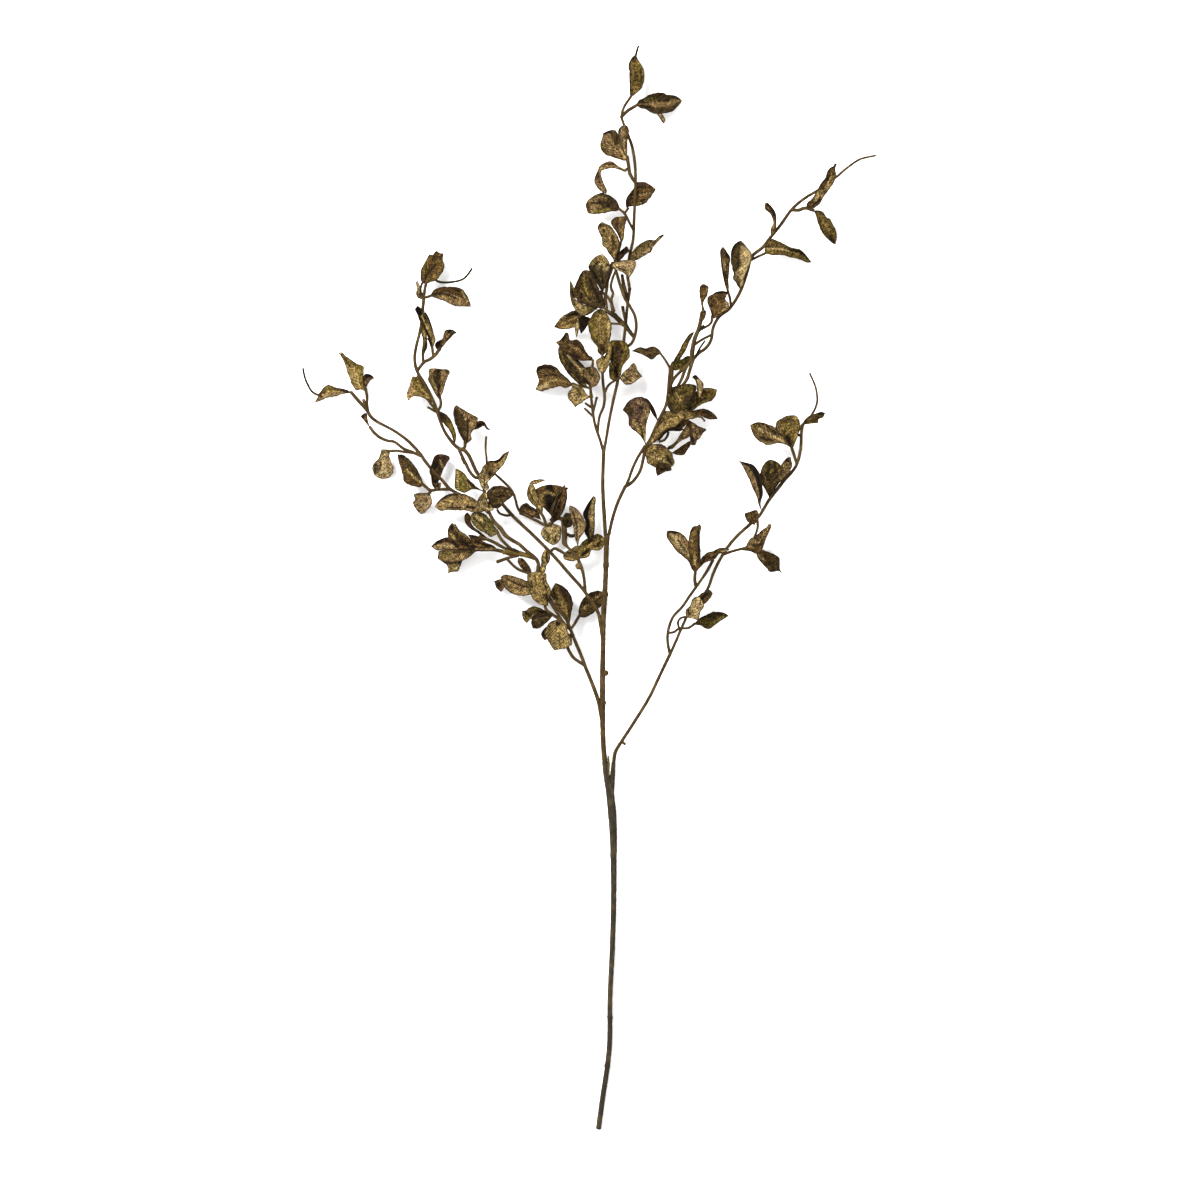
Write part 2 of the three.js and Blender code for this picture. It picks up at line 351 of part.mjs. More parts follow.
const rightCentreBranch = [
  // Wires
  wire([[608.9, 535.2, 23, 2.8], [610.5, 527, 23.2, 2.8], [613.5, 515, 23.6, 2.8], [618, 502, 24, 2.8],
    [625.5, 486, 24, 3]]),
  wire([[624.9, 488, 24, 2.4], [628.5, 480, 25, 2.4], [632, 470, 25.6, 2.4], [637, 459, 26, 2.4],
    [645, 446, 26, 2.6]]),
  wire([[625.2, 487, 24, 2.6], [630, 484, 23.4, 2.8], [635, 479, 23, 2.8], [640, 471, 23, 2.8],
    [643, 460, 24, 2.8], [645.5, 446, 25.6, 3]]),
  wire([[645, 448, 26, 3], [651, 438, 26.6, 2.6], [659, 420, 27, 2.6], [666, 405, 27, 2.6],
    [668, 393, 26.6, 2.6], [669, 380, 26, 2.6], [670.5, 366, 25.6, 2.4]]),
  wire([[669, 389, 26.4, 2.2], [676, 378, 26, 2.2], [684, 370, 25.6, 2.2], [692.4, 360.5, 25, 2.6]]),
  wire([[673, 382.5, 26.2, 1.8], [682, 381, 27, 1.8], [688, 372, 26.6, 1.8], [694, 359, 25, 1.8]]),
  wire([[691.5, 362, 25, 3.2], [692.3, 350, 24.6, 3.2], [695, 338, 24.2, 3.2], [699, 328, 23.8, 3.2],
    [702, 312, 23.4, 3]]),
  wire([[691.8, 361.5, 25, 2.6], [698, 354, 24.2, 2.6], [706, 348, 23.6, 2.6], [711, 340, 23, 2.6],
    [713, 328, 22.6, 2.6], [719, 317, 22, 2.6], [730, 308, 21.4, 2.6], [740, 292, 20.6, 2.8],
    [747, 272, 19.6, 3], [751.5, 257, 18.6, 3], [763, 247, 18, 2.8], [770, 238, 17.4, 2.6],
    [779, 227, 17, 2.6], [793, 208, 16, 2.6], [805, 198, 15.4, 2.4], [818, 190, 15, 2.2],
    [836, 177, 14, 2], [848, 167, 13.4, 1.8], [860, 159, 13, 1.7], [876, 155, 12, 1.5]]),
  wire([[694.6, 345, 24.6, 2], [700, 341, 24, 2], [709.5, 335.5, 23, 2]]),
  wire([[699.5, 330, 23.8, 2], [706, 327, 23.6, 2], [711, 323, 23, 2], [712, 316, 23, 2]]),
  wire([[662, 412, 26.8, 2.2], [675, 413.5, 25.6, 2.2], [689, 412, 24, 2.2]]),
  wire([[683, 412.6, 24.8, 2], [687, 421, 23, 2], [691, 434, 21, 2], [691.5, 442, 20, 1.8]]),
  wire([[669.5, 367.5, 25.6, 1.8], [665, 360, 25.4, 1.8], [659, 352, 25, 1.8]]),
  wire([[731, 307, 21.2, 2], [730, 299, 21.4, 2], [727.5, 290, 21, 2]]),
  wire([[741, 291, 20.6, 2], [740, 286, 20, 2]]),
  wire([[750.5, 260.5, 18.8, 2], [757, 257, 18, 2], [766, 253, 17, 2]]),
  wire([[791.5, 210, 16.2, 2.6], [799, 210, 17, 3], [805, 208, 17.4, 3], [814, 210.5, 17, 2.6]]),
  // Lower leaves
  leaf([645.5, 445, 26], [622.3, 410.5, 31], 24, { roll: -8, left: [641, 437.5, 636, 432.5, 631, 428.5,
    628.3, 424, 628.5, 419, 627.3, 415.5], right: [645.8, 434, 646, 427, 647.5, 420, 650, 413, 650, 406,
    646, 401, 640, 397.2, 630, 400.5] }),
  leaf([657.5, 421, 27], [641, 397.5, 29], 7, { roll: 30, left: [652, 414, 649.5, 408, 645.5, 401.5],
    right: [656, 413, 652, 405, 647, 399.3] }),
  leaf([651, 443, 26.4], [686, 416.5, 24], 18, { left: [655, 434, 659, 424, 663, 415, 668, 411.5,
    676, 412.5], right: [658, 439, 662, 433.5, 668, 429, 675, 427, 680, 423] }),
  leaf([683, 412.5, 24.6], [689, 384.2, 29], 26, { roll: 5, left: [677, 414.2, 669.5, 411, 667, 403,
    667.5, 394, 670, 389, 676, 386.5, 683, 384.6], right: [688, 408, 692, 402, 695, 395, 696.5, 386.5] }),
  leaf([685.5, 412.2, 24.4], [717.3, 389.3, 16], 17, { left: [690, 406, 693, 400, 696, 392, 700, 388.8,
    708, 388, 713, 388.3], right: [692, 409.5, 700, 405.5, 707, 402.5, 712, 400.5, 715.3, 397, 716.8, 392] }),
  leaf([699, 401, 22.6], [691.7, 377.8, 27], 6, { left: [697, 391, 696.3, 385, 695, 380.5],
    right: [702.8, 389, 703.2, 384.5, 699, 378.8, 695, 375.2] }),
  leaf([687, 413, 24], [718, 418.8, 12], 9, { roll: 20, left: [692, 411.3, 698, 409.7, 703, 409,
    708, 410.3, 712.5, 412.8, 716.3, 416], right: [691, 415.6, 697, 415, 703, 417, 708, 419, 713, 419.3] }),
  leaf([686, 418, 23], [706.8, 429.6, 12], 21, { left: [690, 421, 696, 424.3, 701, 427.3, 705, 428.3],
    right: [686.5, 428, 688, 434, 690, 438, 690.5, 444.3, 695.5, 444.6, 696.5, 441, 700, 438, 703, 433] }),
  leaf([687.5, 422, 23], [669, 449.5, 20], 7, { left: [690, 430, 689.3, 436.5, 682, 440.5, 677, 444,
    673, 448.5], right: [684.5, 428, 680, 434.5, 676.5, 440, 672.5, 444.3, 667.5, 447.3] }),
  leaf([691.5, 441, 20], [672, 452.5, 12], 9, { left: [690, 446, 687, 450.8, 684, 455, 679, 455.2,
    675, 454.2], right: [688.5, 441.7, 683, 445.3, 677, 449.3] }),
  leaf([656.5, 443, 26], [684, 430, 31], 6, { roll: 30, left: [659.5, 437.5, 663, 432.5, 668.5, 429,
    675, 427, 680, 427.5], right: [661.5, 438.5, 664, 435.3, 668, 432, 673, 431.3, 679, 431.6] }),
  leaf([645.5, 447, 25.6], [670.5, 467, 8], 23, { left: [650, 444.8, 656, 444, 662, 444.6, 667, 448,
    672, 453.3, 673.3, 458, 674.7, 462, 673.5, 465.2], right: [645, 452, 645.8, 458, 646.8, 463,
    651, 465.8, 656, 467.8, 663, 469] }),
  leaf([658, 463, 22], [657.2, 475.9, 10], 9, { left: [668, 464, 670.8, 467.5, 670.8, 470.5, 666, 471.4,
    662, 473.5], right: [656.5, 466, 655.6, 469.5, 656.3, 473] }),
  // Middle leaves
  leaf([662, 354, 25], [631.5, 351, 20], 11, { roll: 30, left: [657, 356, 652, 360.3, 646, 357,
    639, 353.7], right: [659, 349.5, 653, 346.5, 646, 348.5, 640, 347.3] }),
  leaf([670, 368, 25.6], [691.5, 357, 22], 11, { left: [671.5, 362.8, 676, 360.8, 682, 359.3,
    687.5, 356], right: [675, 370.8, 682.5, 369, 688, 365.5, 691.8, 361] }),
  leaf([671, 367, 25.4], [694.5, 331.8, 18], 8, { left: [674, 360, 678.5, 352, 682.5, 344, 687.5, 336.5,
    691, 333], right: [675.5, 364.5, 681, 358, 686, 350.5, 689.5, 342, 692.3, 336.5] }),
  leaf([701.8, 314, 23.4], [703.5, 284, 26], 9, { left: [701.5, 309, 700.5, 302, 699.3, 295, 699.2, 289,
    700.5, 285.5], right: [704.3, 311, 703, 305, 704, 301.5, 706.8, 297, 708, 291, 708.6, 287.8,
    706.5, 285.8] }),
  leaf([700.5, 324, 23.6], [705.5, 310.5, 27], 6, { left: [700.8, 318, 702.5, 311.5],
    right: [704.5, 319, 706, 313.5] }),
  leaf([712, 319.5, 23], [728.5, 292.8, 27], 20, { left: [710.5, 312, 708.5, 307, 707, 301.5,
    708.5, 297, 712.5, 294.8, 716.5, 292.4, 722, 291.5], right: [717, 317.5, 723, 313, 728.5, 308.5,
    728.5, 303.5, 725.3, 300.5, 726.5, 296] }),
  leaf([728, 293, 21], [723, 246, 10], 10, { roll: 25, left: [726.3, 290, 725, 285.5, 723.5, 280,
    722, 272, 720.8, 264, 720.2, 257, 720.3, 250], right: [729, 288, 728.5, 282, 729, 273, 729.8, 264,
    730, 257, 727.5, 252, 725, 248] }),
  leaf([739.8, 289, 20], [740.5, 241, 25], 19, { left: [738, 287, 735.5, 282.5, 732.5, 279, 733.5, 275,
    732, 269, 730.8, 262, 730.6, 254, 732, 248, 736, 243.3], right: [743.5, 285, 744, 279, 746, 273,
    749, 266, 751, 260, 751, 255, 747.5, 249, 743.5, 244] }),
  // Upper leaves
  leaf([764.5, 253, 17], [812, 261.3, 4], 16, { left: [765, 246, 769.5, 239, 776, 240, 783.5, 243.5,
    791, 247.3, 800, 248.8, 805, 252.5, 809, 257.5], right: [772, 255.4, 782, 255.2, 791, 257.3,
    801, 259.5, 807.5, 262] }),
  leaf([772, 236, 17.4], [765, 203.3, 25], 7, { left: [770.5, 233, 771, 228, 773, 223.5, 771.5, 217,
    769, 213, 765.5, 210.5, 764.3, 206], right: [774.5, 234, 776, 229, 776.3, 222, 775.8, 215, 774, 211,
    770.5, 206.5, 767, 203.2] }),
  leaf([811, 210, 17], [837.5, 163.5, 8], 13, { left: [806.5, 206.5, 807.5, 202.5, 811, 199.5, 815, 194,
    818.5, 187, 822, 181.5, 825, 178, 827, 172, 830, 167.5, 834, 165, 835, 162.5], right: [816, 207,
    820, 203.5, 823, 198, 826.5, 193, 831, 187.5, 834.5, 181.5, 836.5, 174, 835.8, 170, 836.2, 166] }),
  leaf([813, 210.5, 17], [835.8, 243.8, -4], 14, { roll: 5, left: [819, 210.5, 823.5, 212.5, 827, 217.5,
    830.5, 219, 833, 224, 836, 229, 837.3, 235, 837, 240], right: [815.5, 214, 817, 220, 819.5, 227,
    822.5, 233, 827, 237.5, 832, 241.5] }),
];

const rightBranch = [
  // Wires
  wire([[613.8, 761.3, 14.6, 3.2], [615.5, 752, 15, 3], [622, 741, 15.6, 2.9], [633, 724, 16.6, 2.8],
    [649, 698, 18, 2.8], [660, 675, 19.4, 2.8], [670.5, 653, 20.6, 3]]),
  wire([[622, 741.5, 15.6, 2], [625.2, 744.5, 16.8, 2.2]]),
  wire([[670, 654.5, 20.6, 2.6], [667.6, 642, 21, 2.4], [668.3, 630, 21.4, 2.4], [673, 617, 22, 2.4],
    [682, 607, 22, 2.4], [691, 594, 22, 2.4], [701, 580, 22, 2.4], [707, 571, 22, 2.4],
    [713, 560, 22, 2.4]]),
  wire([[669.8, 654.5, 20.6, 2.6], [676, 641, 19.6, 2.4], [681.5, 628, 19, 2.4], [690, 611, 18.6, 2.2],
    [707, 590, 19, 2.4], [713, 574, 20, 2.4], [718, 563, 21, 2.6], [727, 548, 21.4, 2.8],
    [737, 536, 21.4, 2.8], [748, 526, 21.2, 2.8], [759, 516, 20.6, 2.8], [769, 500, 20, 2.8],
    [783, 482, 19, 2.8], [796, 466, 18, 2.6], [800.5, 450, 17, 2.4], [803, 425, 16, 2.2],
    [811, 416, 15, 1.9], [817, 403, 14, 1.7], [816, 388, 13, 1.6], [810, 373, 12, 1.5]]),
  wire([[668.4, 633, 21.4, 2], [674, 632, 20.5, 2], [679, 628.5, 20, 2], [688, 628, 19, 2],
    [695, 623.5, 18, 2]]),
  wire([[679, 628.5, 20, 1.8], [678, 622, 22, 1.8], [681, 618, 23, 1.8], [689, 616.5, 23, 1.8]]),
  wire([[696, 588, 22, 2.6], [694.7, 580, 23, 3], [695.5, 569, 23, 2.4]]),
  wire([[723, 554.5, 21.2, 2.4], [733, 551, 20, 2.2], [741, 549, 18, 2.2], [747.5, 547, 16, 2.2]]),
  wire([[741, 549, 18, 2], [750, 550, 14, 2], [759, 552.5, 10, 2]]),
  wire([[757, 517.5, 20.8, 2.4], [757.5, 528, 20, 2], [754, 538, 18, 1.8]]),
  wire([[757, 517, 20.8, 2.2], [753.5, 524.5, 20.8, 2]]),
  wire([[797, 464.5, 18, 2.4], [794, 455, 19, 2.4], [791, 446, 20, 2.4]]),
  wire([[802, 436, 16.6, 2], [797.5, 434, 17, 2], [800.5, 427, 17, 2], [804, 423, 16, 2]]),
  // Leaves, from the lowest to the highest
  leaf([693.5, 624.5, 18], [729.2, 616, 7], 16, { left: [697, 620.5, 700.5, 617.5, 706, 615, 711, 612.5,
    717, 611.7, 723, 612.3, 727, 614], right: [697, 624.9, 701, 625.5, 704.5, 628, 709, 629, 713, 626.5,
    719, 622, 725, 618.5] }),
  leaf([687, 617.5, 23], [699.5, 597, 27], 13, { left: [685.3, 614.5, 685.5, 610, 689.5, 605.5,
    692, 599.5, 695.5, 596.5], right: [694, 619, 698, 620, 700, 613, 703.8, 605.5, 701.5, 600.5] }),
  leaf([689.8, 611.8, 18.6], [713, 593.3, 14], 10, { roll: 30, left: [694, 603.5, 697.5, 596.5,
    703, 592.3, 707.5, 589.5, 710.5, 590.3], right: [697, 606.5, 704.5, 604, 709, 600, 711.5, 596.5] }),
  leaf([695.3, 573, 23], [667.3, 530.3, 12], 15, { left: [691.5, 569, 688.5, 562, 683.5, 557,
    676.5, 551.5, 671, 544, 667, 538, 666.3, 533.5], right: [694, 563, 692, 552, 688.5, 542, 684, 535.5,
    679, 532, 673, 530.5] }),
  leaf([695.5, 573, 23], [699, 523.8, 28], 11, { roll: -25, left: [691, 565, 689.3, 555, 688, 545,
    688.5, 538, 690.5, 530, 693, 526.5, 697, 526], right: [699.5, 567, 700.2, 555, 699.7, 545, 699.7, 535,
    701, 526.5] }),
  leaf([696, 571.5, 23], [730, 549.8, 32], 9, { roll: 20, left: [699, 563, 702.5, 556.5, 707, 552.8,
    713, 551.2, 718, 548.5, 724, 547.8], right: [700.5, 567, 704.5, 563, 710, 561, 715.5, 558.5,
    718.5, 554.5, 724, 552.5] }),
  leaf([746, 548, 16], [771.5, 524.3, 12], 14, { left: [746.5, 545, 750, 539, 756, 535.5, 762, 530,
    767, 526.5, 768.5, 524], right: [750, 550.5, 755, 553.5, 761, 552, 763.5, 547, 765.5, 540,
    768.5, 533.5, 771, 527.5] }),
  leaf([756, 551, 11], [785, 575.7, -9], 17, { roll: 0, fold: 4, wave: 0.5, curl: 0, left: [761, 549.5,
    766, 551, 772, 553, 777, 555.5, 779.8, 557.5, 780.2, 563, 780.5, 569], right: [758, 558, 762, 563,
    767, 568.5, 770.5, 572, 775, 571.5, 779, 571] }),
  leaf([754, 524.5, 20.8], [744.3, 513.5, 26], 11, { left: [750, 524, 746.5, 521, 744.6, 517],
    right: [757.5, 520, 758.3, 513, 756.5, 510, 750, 511.5] }),
  leaf([761.5, 511, 20.4], [737.7, 460.7, 25], 13, { roll: -35, left: [758.5, 505, 756.5, 497,
    752.5, 489, 749, 480, 744, 470, 740, 463], right: [760.5, 503, 762.5, 495, 761.8, 487, 760.5, 479,
    758, 472, 753, 465.5, 746, 463] }),
  leaf([769.5, 498, 20], [770.5, 460, 28], 18, { fold: 20, left: [765, 490, 761.5, 484, 759.5, 477,
    761, 469, 764, 463.5, 768, 460.3], right: [774, 488, 777, 480, 781, 471, 780, 465.5, 775.5, 461.5] }),
  leaf([771.5, 496, 20], [790.5, 457.5, 24], 13, { roll: 20, left: [771.5, 487, 773, 478, 777, 470,
    781, 464.5, 785, 459.5, 788, 457.5], right: [774.5, 490, 779.5, 483, 785, 478, 789.5, 472, 792, 466,
    791, 460] }),
  leaf([791.5, 448, 20], [749.8, 425.3, 24], 20, { left: [786, 445, 780, 443.5, 775, 443.7,
    769.5, 445.4, 763, 444.3, 757.5, 441, 753.5, 436, 751, 430.5], right: [787, 441, 781, 434, 775, 428.5,
    769, 425, 763, 422.8, 755, 423] }),
  leaf([792.5, 449, 20], [795, 414.8, 9], 23, { left: [789.5, 446.5, 784, 444, 778, 440, 774.5, 434,
    775, 427, 777, 421.5, 782, 418, 787, 415.5], right: [795, 443, 797, 438, 798.5, 433, 800, 427,
    799.7, 421, 797.5, 416.5] }),
  leaf([802.5, 424.5, 16], [825.8, 412.5, 5], 9, { left: [804.5, 420, 808, 416.5, 813, 414.5,
    818, 412.5, 822, 411.5], right: [808, 424, 813, 423.5, 818, 422.5, 819, 419, 823.5, 417] }),
];

const lowerLeftBranch = [
  // Wires up to the cluster of dark and tan leaves
  wire([[597, 700.5, 17.4, 3.5], [594.4, 689.5, 18, 3.4], [589.9, 678, 18.6, 3.2], [585.4, 667, 19.2, 3],
    [581.8, 657, 19.8, 2.8], [575.5, 642, 20.8, 2.8], [570.3, 629, 21.4, 2.8], [566.5, 620, 22, 2.4],
    [559.4, 611, 23, 2.4], [550, 598, 24, 2.4], [545, 588, 25, 2.6], [540, 578, 26, 2.8],
    [538, 570, 26.4, 3.2], [538.5, 564, 26.6, 3.2], [536, 559, 26.6, 3.2], [526, 550.3, 26.6, 3],
    [518.7, 544, 26.6, 3], [511, 539.5, 26.6, 3.2], [505.3, 535, 26.6, 3.6], [501, 529, 26.6, 3.6],
    [494.5, 522, 26.6, 2.8], [490.5, 515, 26.6, 2.6], [486.5, 505, 26.4, 2.6], [484.5, 492, 25.2, 2.6],
    [483.5, 481, 24.4, 2.6]]),
  wire([[570.5, 630, 21.4, 2.4], [566, 625.5, 22.6, 2.2], [556.7, 612.5, 24, 2.2], [548, 598, 25, 2.2]]),
  wire([[584.4, 665, 19.2, 2.8], [578, 661.2, 19, 2.6], [572.8, 657, 18.4, 2.6], [566.6, 646, 17.6, 2.6]]),
  wire([[570.6, 629, 21.2, 2.2], [573.5, 625.5, 18, 2.2], [576.5, 620.5, 14, 2.4], [580, 614.5, 10, 2.4]]),
  wire([[564.5, 627, 22.4, 2.2], [560, 620, 22.4, 2.4], [549.5, 612.5, 23, 2.6], [545.7, 608.5, 23.6, 2.4],
    [545, 600, 24.4, 2.4]]),
  wire([[536, 559, 26.4, 3], [526, 555.7, 25, 3], [519, 554.4, 24, 3], [509.8, 554, 23, 3],
    [500.8, 552, 22, 2.8], [487, 550, 21, 2.8], [477, 549.5, 20, 2.6]]),
  wire([[519.6, 554, 24, 2.6], [505.3, 548.5, 24.4, 2.6], [491.8, 541.3, 24.8, 2.6],
    [479, 536.5, 24.6, 2.4]]),
  wire([[519, 554, 24.4, 2.6], [510.7, 548.5, 25, 2.4], [500.8, 538.5, 26, 2.4], [496.5, 530, 26.6, 2.4]]),
  wire([[518.5, 555.5, 24, 2.4], [509.8, 557.5, 23, 2.4], [497, 562, 21, 2.8]]),
  wire([[506.2, 558, 22.8, 2.2], [514.3, 566.4, 22, 2.2], [519.6, 570, 22, 2.2], [531, 574, 24, 2.4],
    [541, 579, 25.6, 2.2]]),
  wire([[484.3, 489, 25, 2.2], [486, 479, 28, 2.2], [487, 469, 29, 2.2], [486.8, 458, 30, 1.8],
    [485.9, 451, 31, 1.6], [486.4, 437, 33, 1.5]]),
  // Leaves below the cluster
  leaf([578.5, 617, 11], [606, 593, 4], 22, { roll: 0, fold: 4, left: [579, 608, 583, 598.5, 590, 592.8,
    598, 590.5], right: [585, 617.5, 592, 614, 599, 608, 604.5, 600.5] }),
  leaf([569.5, 624, 21], [555.5, 582.8, 12], 20, { left: [562, 612, 555, 602, 550, 594, 552.5, 588],
    right: [571.5, 612, 573, 603, 570, 594, 563.5, 586.5] }),
  leaf([559, 619.5, 22], [554.5, 650.7, 14], 24, { left: [566, 624, 568, 631, 570, 636.5, 572, 643,
    567, 648, 560, 649.3], right: [551, 621.5, 546.5, 627.5, 545.5, 636, 549, 642.5, 552, 647.5] }),
  leaf([554, 624, 20.6], [543.8, 640, 14], 7, { left: [549, 630, 547.5, 636, 546, 640],
    right: [546, 627, 542.5, 631, 541.2, 635] }),
  leaf([567, 646, 17.6], [570.5, 633.5, 21], 9, { left: [564, 643, 565, 638, 568, 634.5],
    right: [571.5, 645, 572, 640, 571.5, 636] }),
  leaf([556, 616, 23], [521.7, 610.5, 17], 13, { left: [549, 616, 541, 612.5, 534.5, 615, 530, 620,
    526.5, 623.3, 523.5, 617], right: [551, 613.5, 545, 610.5, 540, 608, 534.5, 606.4, 529, 607.8,
    526, 610.3] }),
  leaf([548, 612.5, 23], [531, 619.5, 14], 10, { left: [541, 615, 536, 616.3], right: [541, 611.8,
    535.5, 612.8] }),
  leaf([522.8, 611, 18.4], [524.5, 621.5, 15], 5, { roll: 40, left: [524.8, 615, 525.5, 619],
    right: [521.9, 614, 522.8, 618.5] }),
  leaf([553, 615.5, 22.6], [532.5, 628.5, 8], 13, { left: [548, 621.5, 543.5, 625.5, 538, 628.6],
    right: [547, 613.5, 540, 613.5, 534, 616.5, 531, 621.5] }),
  leaf([548, 606, 24.6], [536, 572.5, 28], 22, { left: [540, 604.3, 535, 601, 531.5, 596.5, 529, 590,
    528, 583, 528, 573.5], right: [548.8, 600, 551, 591, 548.5, 584, 546.5, 580, 546.3, 573.5] }),
  leaf([539, 596, 25], [536, 571, 25], 14, { left: [534, 591, 531, 584, 531.5, 575], right: [541, 590,
    541.5, 582, 540, 574] }),
  leaf([541.5, 575.5, 26], [544.5, 549.8, 27], 8, { roll: -20, left: [539.3, 571, 541.2, 564,
    541.5, 556], right: [545.5, 571, 546.5, 566, 549.5, 562, 550.3, 556, 547.5, 551.5] }),
  leaf([531.5, 574.3, 24.2], [518.3, 558, 20], 9, { left: [526, 571.5, 521, 567.5, 517.8, 562.5],
    right: [531, 569.5, 526.5, 562, 522.5, 558.3] }),
  leaf([545.6, 590, 25], [500, 577, 8], 20, { left: [536, 594.5, 529, 595, 523, 596, 515, 594.5,
    507, 590.5, 503, 584], right: [538, 583, 527, 581, 519, 577.5, 510, 575, 504, 574.5] }),
  leaf([505, 584.5, 12], [493.7, 581.3, 4], 12, { left: [503.5, 588.5, 501, 591.5, 496.5, 588.5],
    right: [501, 579, 498, 579.5] }),
  // Leaves of the far cluster
  leaf([482, 550, 20], [447, 573.3, -5], 24, { roll: 0, fold: 6, curl: 0, left: [474, 552.3,
    468.5, 555.7, 463, 560.5, 460.3, 565, 457.8, 571, 452, 571.8], right: [465, 550, 452, 549, 440, 551,
    437, 557, 439, 560, 444.5, 562, 447.5, 568] }),
  leaf([480, 549, 20.6], [430.5, 546.5, 3], 16, { left: [470, 550, 455, 550.5, 442, 549.5, 436, 550],
    right: [472, 545, 460, 541, 447, 537, 441, 538.7, 435.5, 541.5] }),
  leaf([475, 550.5, 19], [437, 558.5, 2], 15),
  leaf([481, 547.5, 22], [452, 522.8, 15], 17, { left: [470, 549, 460, 548.8, 454, 545.5, 449.3, 540,
    447.7, 533, 448.7, 526.5], right: [476, 541.5, 471, 539.5, 466, 534.7, 460.5, 531.5, 456.3, 525.5] }),
  leaf([472, 540.5, 21], [455, 523.5, 21], 5, { roll: 40, left: [463, 536, 457, 530],
    right: [466, 534.5, 459.5, 530] }),
  leaf([487, 540.5, 24.6], [468, 534.5, 20], 8, { left: [478, 541, 471, 539], right: [480, 537,
    473, 535] }),
  leaf([491, 541, 24.6], [467.5, 512.5, 18], 8, { left: [483, 537, 477, 532.5, 471, 529, 466, 524,
    464.4, 518, 465.5, 514], right: [486, 536.5, 480, 531.5, 474.5, 527.5, 471, 522, 470.5, 516] }),
  leaf([497.5, 534, 26.4], [473, 512.5, 22], 15, { left: [491, 537, 486, 533.5, 480, 530.5,
    474.5, 526.5, 471.5, 521, 470.8, 515.8], right: [497, 529.5, 494, 525, 490, 519, 484.5, 514, 479, 512] }),
  leaf([488.4, 510, 26.5], [434.8, 506.5, 18], 18, { roll: 4, fold: 6, left: [480, 512.5, 472, 512,
    465, 510.3, 456, 510.7, 448, 510, 441, 511], right: [480, 503.5, 473, 498, 463, 493.7, 453, 493,
    446, 495.5, 439, 500.5] }),
  leaf([484, 491.5, 25.2], [455.6, 468.4, 17], 24, { left: [473, 489.3, 465, 493, 460, 491.5,
    455, 488.3, 455.2, 478], right: [477, 487, 470, 480, 463.5, 472.5, 459, 469.7] }),
  leaf([485, 492, 27.5], [483.5, 472.5, 32], 10, { left: [481.5, 487, 479.8, 483, 478, 478, 480, 474],
    right: [489.5, 488, 488, 483, 490, 479, 488.5, 474.5] }),
  leaf([485, 491, 26.4], [487, 512, 30], 13, { left: [488, 495, 488, 501, 492, 506, 494, 510],
    right: [482, 494, 478.5, 499.5, 478, 504, 481.5, 508.5] }),
  leaf([485, 478.5, 28.4], [509.9, 450.8, 34], 14, { roll: 5, left: [479.5, 475, 481.5, 471, 483, 467,
    487, 463.5, 489.5, 461, 495, 461, 500, 458.5, 503, 454.5], right: [489, 481, 493, 477.5, 497, 473,
    501.5, 468, 505, 463, 508, 456.5] }),
  leaf([489, 510, 27], [513.3, 493, 30], 19, { roll: 4, fold: 6, left: [488.5, 500, 487, 494, 489, 490,
    493.5, 486.8, 500, 486, 506, 487.3, 510.5, 489.3], right: [493.5, 508.5, 498, 508.8, 502, 506.3,
    505, 502.5, 509, 499.3, 512.8, 496] }),
];

